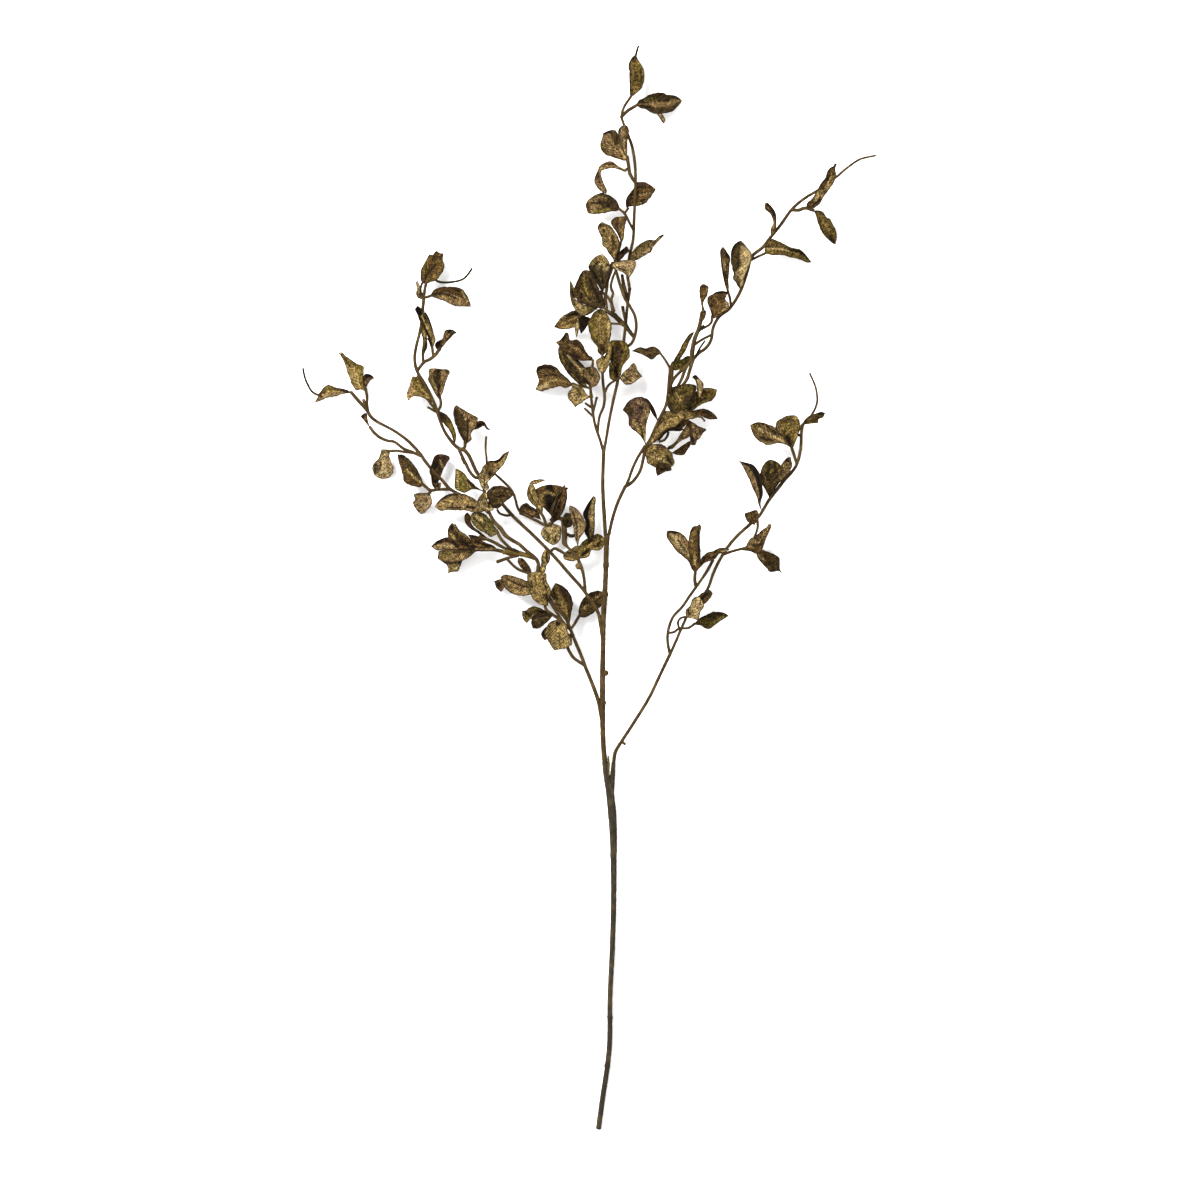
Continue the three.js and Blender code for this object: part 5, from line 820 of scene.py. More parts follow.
            585, 305.5, 578, 302, 574.5, 297, 573.6, 291, 577, 282, 580, 275), right=(602.5, 301, 600, 292,
            596, 283, 592, 275, 588, 270.5), marks=(Mark((576, 287, 575, 298), 2.6, Tone.BROWN),
            Mark((590, 280, 597, 296, 600, 303), 2, Tone.PAINTED_HOLLOW_SHADE),
            Mark((583, 278, 588, 294), 3, Tone.GREEN_OLIVE), Mark((580, 290, 588, 302), 1.6, Tone.TAN))),
        Leaf((598, 309.5, 27), (570, 280.3, 24), 12, Tone.STRAW, Tone.BEIGE, roll=35, left=(590, 312.5,
            584, 316.5, 579, 314.5, 572.5, 306, 570, 296, 569.7, 287), right=(592, 307, 584, 305, 577, 301,
            574, 295, 574, 288, 572, 283.5), marks=(Mark((584, 313, 592, 310), 3, Tone.GREEN_OLIVE),
            Mark((573, 300, 580, 310), 2, Tone.BEIGE), Mark((572, 289, 573, 297), 1.8, Tone.DARK_BROWN))),
        Leaf((584, 315, 26), (553.8, 327, 14), 16, Tone.BROWN, Tone.TAN, Side.RIM, left=(580, 320,
            577, 326.5, 570, 329, 561, 329.5), right=(580, 311.5, 574, 311, 567, 313.8, 561, 317.5,
            557, 322.5), marks=(Mark((562, 324, 572, 319, 580, 316), 1.8, Tone.TAN),
            Mark((562, 328, 572, 325), 1.8, Tone.TAN), Mark((567, 316, 576, 313), 2, Tone.PAINTED_HOLLOW_SHADE))),
        Leaf((578, 317, 26.4), (576.5, 338, 26), 4, Tone.BEIGE, roll=50, left=(579.2, 323, 578.8, 331),
            right=(576.2, 322, 574.8, 330)),
        Leaf((583.5, 316, 26.4), (581, 334, 23), 6, Tone.DARK_BROWN, left=(590, 318.5, 588, 325,
            584.5, 330), right=(580.5, 318, 579, 325, 579.5, 330)),
        # The dark brown mark at this leaf's base is painted shade under it.
        Leaf((602.3, 357, 27), (601, 308.5, 24), 23, Tone.OLIVE, Tone.TAUPE, left=(597.5, 352, 597.5, 348,
            593, 342, 589.5, 334, 588, 326, 590, 319, 595, 312), right=(606.5, 352, 609.5, 342, 611, 334,
            611.6, 327, 610, 320, 606, 312.5), marks=(Mark((600, 318, 602, 332, 602, 345), 3.4, Tone.TAUPE),
            Mark((609, 322, 608.5, 337), 2.4, Tone.STRAW), Mark((602, 347, 602, 355), 4, Tone.DARK_BROWN),
            Mark((592, 322, 592, 334), 2.6, Tone.GREEN_OLIVE))),
        Leaf((619, 378.5, 25), (615, 341, 31), 20, Tone.OLIVE, Tone.DARK_BROWN, Side.MIDRIB,
            left=(613, 380.5, 609.5, 378.5, 609, 371, 610, 362, 611, 350, 610.5, 341.5), right=(621, 375,
            622, 368, 626, 362, 629.3, 357, 629, 349, 626, 343.5, 620.5, 341.2),
            marks=(Mark((612.3, 348, 612, 362), 2, Tone.PAINTED_HOLLOW_SHADE),
            Mark((618, 350, 619, 362), 4, Tone.PURPLE_BROWN),
            Mark((626, 347, 627, 356), 2.4, Tone.GREEN_OLIVE),
            Mark((615, 368, 617, 376), 3, Tone.PAINTED_HOLLOW_SHADE, 0.6))),
        Leaf((603, 375, 27.6), (607, 338.5, 33), 12, Tone.TAN, Tone.STRAW, left=(599, 371.5, 596.5, 366,
            596.3, 361, 600, 358.3, 604.5, 356.5, 606.7, 350, 607, 344), right=(606.5, 370.5, 609, 366,
            610.5, 358, 611.7, 351, 611.8, 346.5, 609.8, 342),
            marks=(Mark((599, 364, 601, 371), 2.4, Tone.BEIGE),
            Mark((604, 360, 608, 350), 2, Tone.DARK_BROWN))),
        Leaf((619.5, 378.5, 25), (642.5, 376, 16), 16, Tone.TAUPE, Tone.BEIGE, left=(623, 373, 628, 368.5,
            633.8, 363.5, 636, 366.5, 638, 371), right=(622, 381.5, 626, 384.8, 631, 384.5, 636, 381),
            marks=(Mark((628, 371, 634, 376), 4, Tone.PINK_TAUPE),
            Mark((634, 380, 639, 378), 2.6, Tone.STRAW), Mark((624, 376, 631, 381), 1.6, Tone.DARK_BROWN))),
        Leaf((588, 388, 26), (558.5, 346, 10), 14, Tone.DARK_OLIVE, Tone.OLIVE, left=(579, 384.5, 575, 381,
            569, 375, 564, 368, 560, 361, 558.3, 355, 558, 350), right=(583, 380, 577, 375, 575, 368,
            575, 364, 569, 358, 560.5, 348),
            marks=(Mark((563, 352, 568, 363, 574, 373), 2.4, Tone.GREEN_OLIVE),
            Mark((573, 365, 577, 374), 2.4, Tone.PAINTED_HOLLOW_SHADE))),
        Leaf((593, 361, 27), (555.5, 342, 20), 14, Tone.BROWN, Tone.DARK_BROWN, left=(588, 361, 581, 361,
            574, 359, 569, 354.5, 562, 350, 558, 345), right=(592, 357.5, 589, 356, 585, 350, 581, 343,
            577, 340.5, 570, 340.5, 568.5, 334.5, 566, 333, 563.5, 336, 560, 340),
            marks=(Mark((571, 356, 577, 357.5), 5, Tone.PAINTED_HOLLOW_SHADE, 1.2),
            Mark((564.5, 335, 563, 340), 3, Tone.PAINTED_HOLLOW_SHADE), Mark((570, 345, 580, 351), 2.4, Tone.TAUPE),
            Mark((575, 342, 584, 352), 1.8, Tone.DARK_BROWN))),
        Leaf((590.5, 380, 26.2), (566, 354.5, 29), 9, Tone.BEIGE, Tone.TAN, fold=50, left=(585, 376.5,
            579, 371.5, 573.5, 365.5, 568.5, 359.5), right=(588, 371, 582.5, 368, 577.5, 364, 572, 358.5,
            568, 355)),
        Leaf((588.6, 385, 25.2), (562, 350, 22), 14, Tone.DARK_OLIVE, Tone.PAINTED_HOLLOW_SHADE, Side.MOTTLED, roll=4,
            left=(580, 381.5, 571, 371.5, 563.6, 359), right=(590.6, 377, 584, 366.5, 577, 359, 568, 351.5),
            marks=(Mark((576, 365, 582, 375), 2.6, Tone.TAUPE, 0.5),)),
        Leaf((590.5, 388, 26), (586, 368, 31), 9, Tone.TAUPE, Tone.BROWN, left=(587.5, 384, 583.5, 378,
            583, 371.5), right=(596.5, 386, 600, 379, 598, 372, 592.5, 367.5),
            marks=(Mark((592, 376), 3.4, Tone.PAINTED_HOLLOW_SHADE, 1), Mark((585, 379, 588, 385), 3, Tone.PAINTED_HOLLOW_SHADE))),
        Leaf((573, 385, 25), (535, 389, 0.5), 22, Tone.BROWN, Tone.TAUPE, left=(566, 388.3, 560, 386.5,
            554, 388, 549, 389, 542, 391), right=(568, 379, 561, 373, 555, 366.5, 545, 364.5, 538, 366.5,
            536, 371, 538.5, 380), marks=(Mark((536.5, 370, 545, 366.5, 554, 368), 2.8, Tone.PAINTED_HOLLOW_SHADE),
            Mark((545, 383, 555, 380, 565, 382), 2, Tone.TAN), Mark((540, 387, 548, 385.5), 4, Tone.BEIGE),
            Mark((545, 375, 556, 375), 2, Tone.PAINTED_HOLLOW_SHADE), Mark((541, 379, 550, 378.5), 2, Tone.TAUPE))),
        Leaf((591, 397, 26.5), (575, 408, 17), 16, Tone.TAN, Tone.BEIGE, left=(585, 400.5, 581.5, 403,
            578.5, 405), right=(586, 394, 583, 388.5, 577, 384.5, 571.5, 383, 571.5, 388.5, 568, 393.5,
            568, 398.5, 571, 402, 574, 405.5), marks=(Mark((573, 393, 577, 400), 4, Tone.BEIGE),
            Mark((577, 389, 581, 395), 2, Tone.DARK_BROWN))),
    )


@dataclass(frozen=True)
class RightCentreBranch(LeafyBranch):
    """The leafy branch that leans right, up to the far right tendril."""

    node: str = "right_centre_branch"
    wires: tuple[Wire | Knob, ...] = (
        Wire(((608.9, 535.2, 23, 2.8), (610.5, 527, 23.2, 2.8), (613.5, 515, 23.6, 2.8),
            (618, 502, 24, 2.8), (625.5, 486, 24, 3))),
        Wire(((624.9, 488, 24, 2.4), (628.5, 480, 25, 2.4), (632, 470, 25.6, 2.4), (637, 459, 26, 2.4),
            (645, 446, 26, 2.6))),
        Wire(((625.2, 487, 24, 2.6), (630, 484, 23.4, 2.8), (635, 479, 23, 2.8), (640, 471, 23, 2.8),
            (643, 460, 24, 2.8), (645.5, 446, 25.6, 3))),
        Wire(((645, 448, 26, 3), (651, 438, 26.6, 2.6), (659, 420, 27, 2.6), (666, 405, 27, 2.6),
            (668, 393, 26.6, 2.6), (669, 380, 26, 2.6), (670.5, 366, 25.6, 2.4))),
        Wire(((669, 389, 26.4, 2.4), (674, 379, 26, 2.4), (681, 371, 25.6, 2.6), (692.4, 360.5, 25, 3))),
        Wire(((677, 388, 26.2, 2.2), (681.6, 379, 27, 2.6), (685, 370, 26.6, 2.8), (691.6, 359, 25, 2.4))),
        Wire(((681.6, 386.5, 26, 2.4), (687, 379, 26.4, 2.8), (689.8, 370, 26, 3), (693.6, 359, 25, 2.6))),
        Wire(((670.6, 389, 26.4, 2.2), (671.8, 379, 26.2, 2.6), (672.2, 368, 25.8, 2.4))),
        Wire(((691.5, 362, 25, 4), (692.4, 350, 24.6, 4.2), (695, 338, 24.2, 3.8), (699, 328, 23.8, 3.6),
            (702, 312, 23.4, 3.2))),
        Wire(((695.6, 357, 25.2, 1.6), (700, 348, 26.4, 1.4), (705, 341, 26, 1.2)), Tone.DARK_WIRE, 0),
        Wire(((699, 331, 24.6, 2.6), (704, 326, 25, 2.2)), Tone.DARK_WIRE),
        Wire(((697, 416.5, 24, 1.4), (702, 418, 24, 1.4), (704.6, 421.5, 24, 1.3))),
        Wire(((659, 442, 26.4, 1.8), (664, 440.3, 26.4, 1.8), (667, 436.5, 26.6, 1.8),
            (668.4, 432.4, 27.4, 1.8)), Tone.DARK_WIRE),
        Wire(((691.8, 361.5, 25, 2.6), (698, 354, 24.2, 2.6), (706, 348, 23.6, 2.6), (711, 340, 23, 2.6),
            (713, 328, 22.6, 2.6), (719, 317, 22, 2.6), (730, 308, 21.4, 2.6), (740, 292, 20.6, 2.8),
            (747, 272, 19.6, 3), (751.5, 257, 18.6, 3), (763, 247, 18, 2.8), (770, 238, 17.4, 2.6),
            (779, 227, 17, 2.6), (793, 208, 16, 2.6), (805, 198, 15.4, 2.4), (818, 190, 15, 2.2),
            (836, 177, 14, 2), (848, 167, 13.4, 1.8), (860, 159, 13, 1.7), (876, 155, 12, 1.5))),
        Wire(((694.6, 345, 24.6, 2), (700, 341, 24, 2.2), (711, 335, 23, 2))),
        Wire(((699.5, 330, 23.8, 2), (706, 327, 23.6, 2), (711, 323, 23, 2), (712, 316, 23, 2))),
        Wire(((662, 412, 26.8, 2.2), (675, 413.5, 25.6, 2.2), (689, 412, 24, 2.2))),
        Wire(((683, 412.6, 24.8, 2), (687, 421, 23, 2), (691, 434, 21, 2), (691.5, 442, 20, 1.8))),
        Wire(((669.5, 367.5, 25.6, 1.8), (665, 360, 25.4, 1.8), (659, 352, 25, 1.8))),
        Wire(((731, 307, 21.2, 2), (730, 299, 21.4, 2), (727.5, 290, 21, 2))),
        Wire(((741, 291, 20.6, 2), (740, 286, 20, 2))),
        Wire(((750.5, 260.5, 18.8, 2), (757, 257, 18, 2), (766, 253, 17, 2))),
        Wire(((791.5, 210, 16.2, 2.6), (799, 210, 17, 3), (805, 208, 17.4, 3), (814, 210.5, 17, 2.6))),
    )
    leaves: tuple[Leaf, ...] = (
        # Lower leaves
        Leaf((645.5, 445, 26), (622.3, 410.5, 31), 24, Tone.PURPLE_BROWN, Tone.TAN, Side.BASE, roll=-8,
            left=(641, 437.5, 636, 432.5, 631, 428.5, 628.3, 424, 628.5, 419, 627.3, 415.5),
            right=(645.8, 434, 646, 427, 647.5, 420, 650, 413, 650, 406, 646, 401, 640, 397.2, 630, 400.5),
            marks=(Mark((625, 406, 629, 411), 8, Tone.DARK_OLIVE),
            Mark((640, 427, 643, 438), 2.2, Tone.PAINTED_HOLLOW_SHADE), Mark((641, 408), 4.4, Tone.PAINTED_HOLLOW_SHADE, 0.6),
            Mark((644.5, 411, 648.5, 416), 2, Tone.STRAW), Mark((637, 402, 644, 405), 3, Tone.PINK_TAUPE),
            Mark((634, 422, 640, 432), 3, Tone.TAN))),
        Leaf((657.5, 421, 27), (641, 397.5, 29), 7, Tone.DARK_BROWN, roll=30, left=(652, 414, 649.5, 408,
            645.5, 401.5), right=(656, 413, 652, 405, 647, 399.3)),
        Leaf((651, 443, 26.4), (686, 416.5, 24), 18, Tone.TAN, Tone.BROWN, left=(655, 434, 659, 424,
            663, 415, 668, 411.5, 676, 412.5), right=(658, 439, 662, 433.5, 668, 429, 675, 427, 680, 423)),
        Leaf((683, 412.5, 24.6), (689, 384.2, 29), 26, Tone.DARK_OLIVE, Tone.OLIVE, roll=5,
            left=(677, 414.2, 669.5, 411, 667, 403, 667.5, 394, 670, 389, 676, 386.5, 683, 384.6),
            right=(688, 408, 692, 402, 695, 395, 696.5, 386.5),
            marks=(Mark((691.5, 401, 694, 394, 696, 387), 3.4, Tone.PAINTED_HOLLOW_SHADE, 0.6),
            Mark((687, 389), 4.4, Tone.GREEN_OLIVE), Mark((676.5, 394, 680.5, 403), 2, Tone.TAN),
            Mark((673, 391.5), 3.6, Tone.DARK_BROWN))),
        Leaf((685.5, 412.2, 24.4), (717.3, 389.3, 16), 17, Tone.OLIVE, Tone.BROWN, left=(690, 406, 693, 400,
            696, 392, 700, 388.8, 708, 388, 713, 388.3), right=(692, 409.5, 700, 405.5, 707, 402.5,
            712, 400.5, 715.3, 397, 716.8, 392), marks=(Mark((698, 396, 706, 393), 4.6, Tone.BROWN),
            Mark((700, 389.5, 711, 389.5), 1.8, Tone.PINK_TAUPE),
            Mark((688, 410.5, 697, 404, 706, 398), 1.8, Tone.PAINTED_HOLLOW_SHADE))),
        Leaf((699, 401, 22.6), (691.7, 377.8, 27), 6, Tone.BEIGE, Tone.DARK_BROWN, Side.TIP, left=(697, 391,
            696.3, 385, 695, 380.5), right=(702.8, 389, 703.2, 384.5, 699, 378.8, 695, 375.2),
            marks=(Mark((692.5, 377.5, 697, 378.5), 3, Tone.DARK_BROWN),)),
        Leaf((687, 413, 24), (718, 418.8, 12), 9, Tone.BROWN, Tone.DARK_BROWN, roll=20, left=(692, 411.3,
            698, 409.7, 703, 409, 708, 410.3, 712.5, 412.8, 716.3, 416), right=(691, 415.6, 697, 415,
            703, 417, 708, 419, 713, 419.3), marks=(Mark((688, 417, 699, 415.5), 3, Tone.TAN),
            Mark((703, 412.5, 712, 416), 2, Tone.DARK_BROWN))),
        Leaf((686, 418, 23), (706.8, 429.6, 12), 21, Tone.PURPLE_BROWN, Tone.TAUPE, left=(690, 421,
            696, 424.3, 701, 427.3, 705, 428.3), right=(686.5, 428, 688, 434, 690, 438, 690.5, 444.3,
            695.5, 444.6, 696.5, 441, 700, 438, 703, 433),
            marks=(Mark((691, 424, 697, 430, 699, 437), 2.4, Tone.TAN),
            Mark((691, 436, 693, 443), 3, Tone.PAINTED_HOLLOW_SHADE))),
        Leaf((687.5, 422, 23), (669, 449.5, 20), 7, Tone.TAUPE, left=(690, 430, 689.3, 436.5, 682, 440.5,
            677, 444, 673, 448.5), right=(684.5, 428, 680, 434.5, 676.5, 440, 672.5, 444.3, 667.5, 447.3),
            marks=(Mark((670, 448), 4, Tone.DARK_BROWN),)),
        Leaf((691.5, 441, 20), (672, 452.5, 12), 9, Tone.BROWN, left=(690, 446, 687, 450.8, 684, 455,
            679, 455.2, 675, 454.2), right=(688.5, 441.7, 683, 445.3, 677, 449.3)),
        Leaf((656.5, 443, 26), (684, 430, 31), 6, Tone.DARK_BROWN, roll=30, left=(659.5, 437.5, 663, 432.5,
            668.5, 429, 675, 427, 680, 427.5), right=(661.5, 438.5, 664, 435.3, 668, 432, 673, 431.3,
            679, 431.6), marks=(Mark((662, 437, 670, 432, 679, 430), 3, Tone.PAINTED_HOLLOW_SHADE),)),
        Leaf((691, 414.5, 24), (674.6, 427.6, 24.6), 11, Tone.BROWN, Tone.PAINTED_HOLLOW_SHADE, Side.TIP, roll=4,
            left=(688.6, 421, 683, 428, 677.6, 430.6), right=(684, 414.4, 679.6, 418.6, 675, 423.6)),
        Leaf((674, 413.6, 26.2), (700.6, 416.4, 22), 7, Tone.TAN, Tone.TAUPE, roll=5, left=(681, 410.8,
            691, 411.4), right=(681, 419.4, 691, 419.6)),
        Leaf((686, 413, 23.4), (701, 398.6, 20), 8, Tone.DARK_OLIVE, Tone.OLIVE, roll=3, left=(687, 407.4,
            692.6, 400.6), right=(692, 411.4, 698.4, 405.6)),
        Leaf((648.4, 446, 25.8), (665, 419.6, 26.8), 9, Tone.TAUPE, Tone.TAN, roll=4, left=(649.6, 438.6,
            656, 427.6), right=(656.4, 441.8, 665, 431)),
        Leaf((645.5, 447, 25.6), (670.5, 467, 8), 23, Tone.TAN, Tone.OLIVE, left=(650, 444.8, 656, 444,
            662, 444.6, 667, 448, 672, 453.3, 673.3, 458, 674.7, 462, 673.5, 465.2), right=(645, 452,
            645.8, 458, 646.8, 463, 651, 465.8, 656, 467.8, 663, 469),
            marks=(Mark((657, 446.5, 664, 447.5), 3.4, Tone.PURPLE_BROWN),
            Mark((650, 455, 658, 459, 668, 463), 2, Tone.BEIGE),
            Mark((667, 456, 671, 463), 3, Tone.DARK_BROWN))),
        Leaf((658, 463, 22), (657.2, 475.9, 10), 9, Tone.BROWN, left=(668, 464, 670.8, 467.5, 670.8, 470.5,
            666, 471.4, 662, 473.5), right=(656.5, 466, 655.6, 469.5, 656.3, 473),
            marks=(Mark((662, 469, 667, 468.5), 3, Tone.PAINTED_HOLLOW_SHADE),)),
        # Middle leaves
        Leaf((662, 354, 25), (631.5, 351, 20), 11, Tone.DARK_OLIVE, Tone.BROWN, roll=30, left=(657, 356,
            652, 360.3, 646, 357, 639, 353.7), right=(659, 349.5, 653, 346.5, 646, 348.5, 640, 347.3)),
        Leaf((670, 368, 25.6), (691.5, 357, 22), 11, Tone.GREEN_OLIVE, Tone.OLIVE, left=(671.5, 362.8,
            676, 360.8, 682, 359.3, 687.5, 356), right=(675, 370.8, 682.5, 369, 688, 365.5, 691.8, 361),
            marks=(Mark((684, 368.3, 691, 366), 3, Tone.PAINTED_HOLLOW_SHADE),
            Mark((676, 363.5, 686, 359.5), 2.4, Tone.GREEN_OLIVE))),
        Leaf((671, 367, 25.4), (694.5, 331.8, 18), 8, Tone.OLIVE, Tone.BROWN, left=(674, 360, 678.5, 352,
            682.5, 344, 687.5, 336.5, 691, 333), right=(675.5, 364.5, 681, 358, 686, 350.5, 689.5, 342,
            692.3, 336.5)),
        Leaf((701.8, 314, 23.4), (703.5, 284, 26), 9, Tone.BROWN, Tone.TAUPE, left=(701.5, 309, 700.5, 302,
            699.3, 295, 699.2, 289, 700.5, 285.5), right=(704.3, 311, 703, 305, 704, 301.5, 706.8, 297,
            708, 291, 708.6, 287.8, 706.5, 285.8),
            marks=(Mark((702, 287.5, 708, 286.5), 2.6, Tone.DARK_BROWN),)),
        Leaf((700.5, 324, 23.6), (705.5, 310.5, 27), 6, Tone.BROWN, left=(700.8, 318, 702.5, 311.5),
            right=(704.5, 319, 706, 313.5)),
        Leaf((712, 319.5, 23), (728.5, 292.8, 27), 20, Tone.BROWN, Tone.TAUPE, Side.RIM, left=(710.5, 312,
            708.5, 307, 707, 301.5, 708.5, 297, 712.5, 294.8, 716.5, 292.4, 722, 291.5), right=(717, 317.5,
            723, 313, 728.5, 308.5, 728.5, 303.5, 725.3, 300.5, 726.5, 296),
            marks=(Mark((726.5, 303, 727.5, 307), 4, Tone.PINK_TAUPE),
            Mark((714, 293.8, 722, 292.5, 728, 293.5), 2.4, Tone.PAINTED_HOLLOW_SHADE),
            Mark((711, 306), 3.6, Tone.DARK_BROWN), Mark((714, 298, 719, 305), 2, Tone.TAUPE))),
        Leaf((728, 293, 21), (723, 246, 10), 10, Tone.BROWN, Tone.DARK_BROWN, roll=25, left=(726.3, 290,
            725, 285.5, 723.5, 280, 722, 272, 720.8, 264, 720.2, 257, 720.3, 250), right=(729, 288,
            728.5, 282, 729, 273, 729.8, 264, 730, 257, 727.5, 252, 725, 248),
            marks=(Mark((726.5, 250, 728, 257), 3.6, Tone.PAINTED_HOLLOW_SHADE),
            Mark((723.5, 260, 724.5, 270), 2.8, Tone.STRAW))),
        Leaf((739.8, 289, 20), (740.5, 241, 25), 19, Tone.DARK_OLIVE, Tone.BEIGE, Side.RIGHT,
            left=(738, 287, 735.5, 282.5, 732.5, 279, 733.5, 275, 732, 269, 730.8, 262, 730.6, 254,
            732, 248, 736, 243.3), right=(743.5, 285, 744, 279, 746, 273, 749, 266, 751, 260, 751, 255,
            747.5, 249, 743.5, 244), marks=(Mark((735, 277, 742, 270, 749, 261), 5, Tone.BEIGE),
            Mark((738, 243.5, 744, 245.5), 4, Tone.DARK_BROWN),
            Mark((740, 250, 741, 262), 1.6, Tone.TAUPE))),
        # Upper leaves
        Leaf((764.5, 253, 17), (812, 261.3, 4), 16, Tone.OLIVE, Tone.BROWN, left=(765, 246, 769.5, 239,
            776, 240, 783.5, 243.5, 791, 247.3, 800, 248.8, 805, 252.5, 809, 257.5), right=(772, 255.4,
            782, 255.2, 791, 257.3, 801, 259.5, 807.5, 262),
            marks=(Mark((766, 248.5, 778, 249, 790, 250.5), 2, Tone.BEIGE),
            Mark((790, 249.5, 801, 251.5, 807, 256, 811, 260), 2.6, Tone.PAINTED_HOLLOW_SHADE),
            Mark((797, 254), 3.4, Tone.TAN), Mark((771, 243, 783, 246), 3, Tone.TAUPE))),
        Leaf((772, 236, 17.4), (765, 203.3, 25), 7, Tone.BROWN, left=(770.5, 233, 771, 228, 773, 223.5,
            771.5, 217, 769, 213, 765.5, 210.5, 764.3, 206), right=(774.5, 234, 776, 229, 776.3, 222,
            775.8, 215, 774, 211, 770.5, 206.5, 767, 203.2),
            marks=(Mark((768, 205, 772, 209, 774.5, 215), 3.4, Tone.PAINTED_HOLLOW_SHADE, 0.6),
            Mark((772, 218, 773.5, 228), 1.8, Tone.TAN))),
        Leaf((811, 210, 17), (837.5, 163.5, 8), 13, Tone.BROWN, Tone.TAUPE, left=(806.5, 206.5,
            807.5, 202.5, 811, 199.5, 815, 194, 818.5, 187, 822, 181.5, 825, 178, 827, 172, 830, 167.5,
            834, 165, 835, 162.5), right=(816, 207, 820, 203.5, 823, 198, 826.5, 193, 831, 187.5,
            834.5, 181.5, 836.5, 174, 835.8, 170, 836.2, 166),
            marks=(Mark((815, 199, 819.5, 191), 4, Tone.STRAW),
            Mark((812.5, 206, 820, 199.5), 2, Tone.PAINTED_HOLLOW_SHADE), Mark((828, 180), 4.4, Tone.PAINTED_HOLLOW_SHADE),
            Mark((824, 190, 832, 176), 1.8, Tone.TAUPE), Mark((833, 166, 836, 165), 3.4, Tone.DARK_BROWN))),
        Leaf((813, 210.5, 17), (835.8, 243.8, -4), 14, Tone.OLIVE, Tone.GREEN_OLIVE, roll=5,
            left=(819, 210.5, 823.5, 212.5, 827, 217.5, 830.5, 219, 833, 224, 836, 229, 837.3, 235,
            837, 240), right=(815.5, 214, 817, 220, 819.5, 227, 822.5, 233, 827, 237.5, 832, 241.5),
            marks=(Mark((821, 218, 826, 224, 831, 231), 3, Tone.TAUPE),
            Mark((832, 236, 835, 242), 4, Tone.DARK_BROWN))),
    )


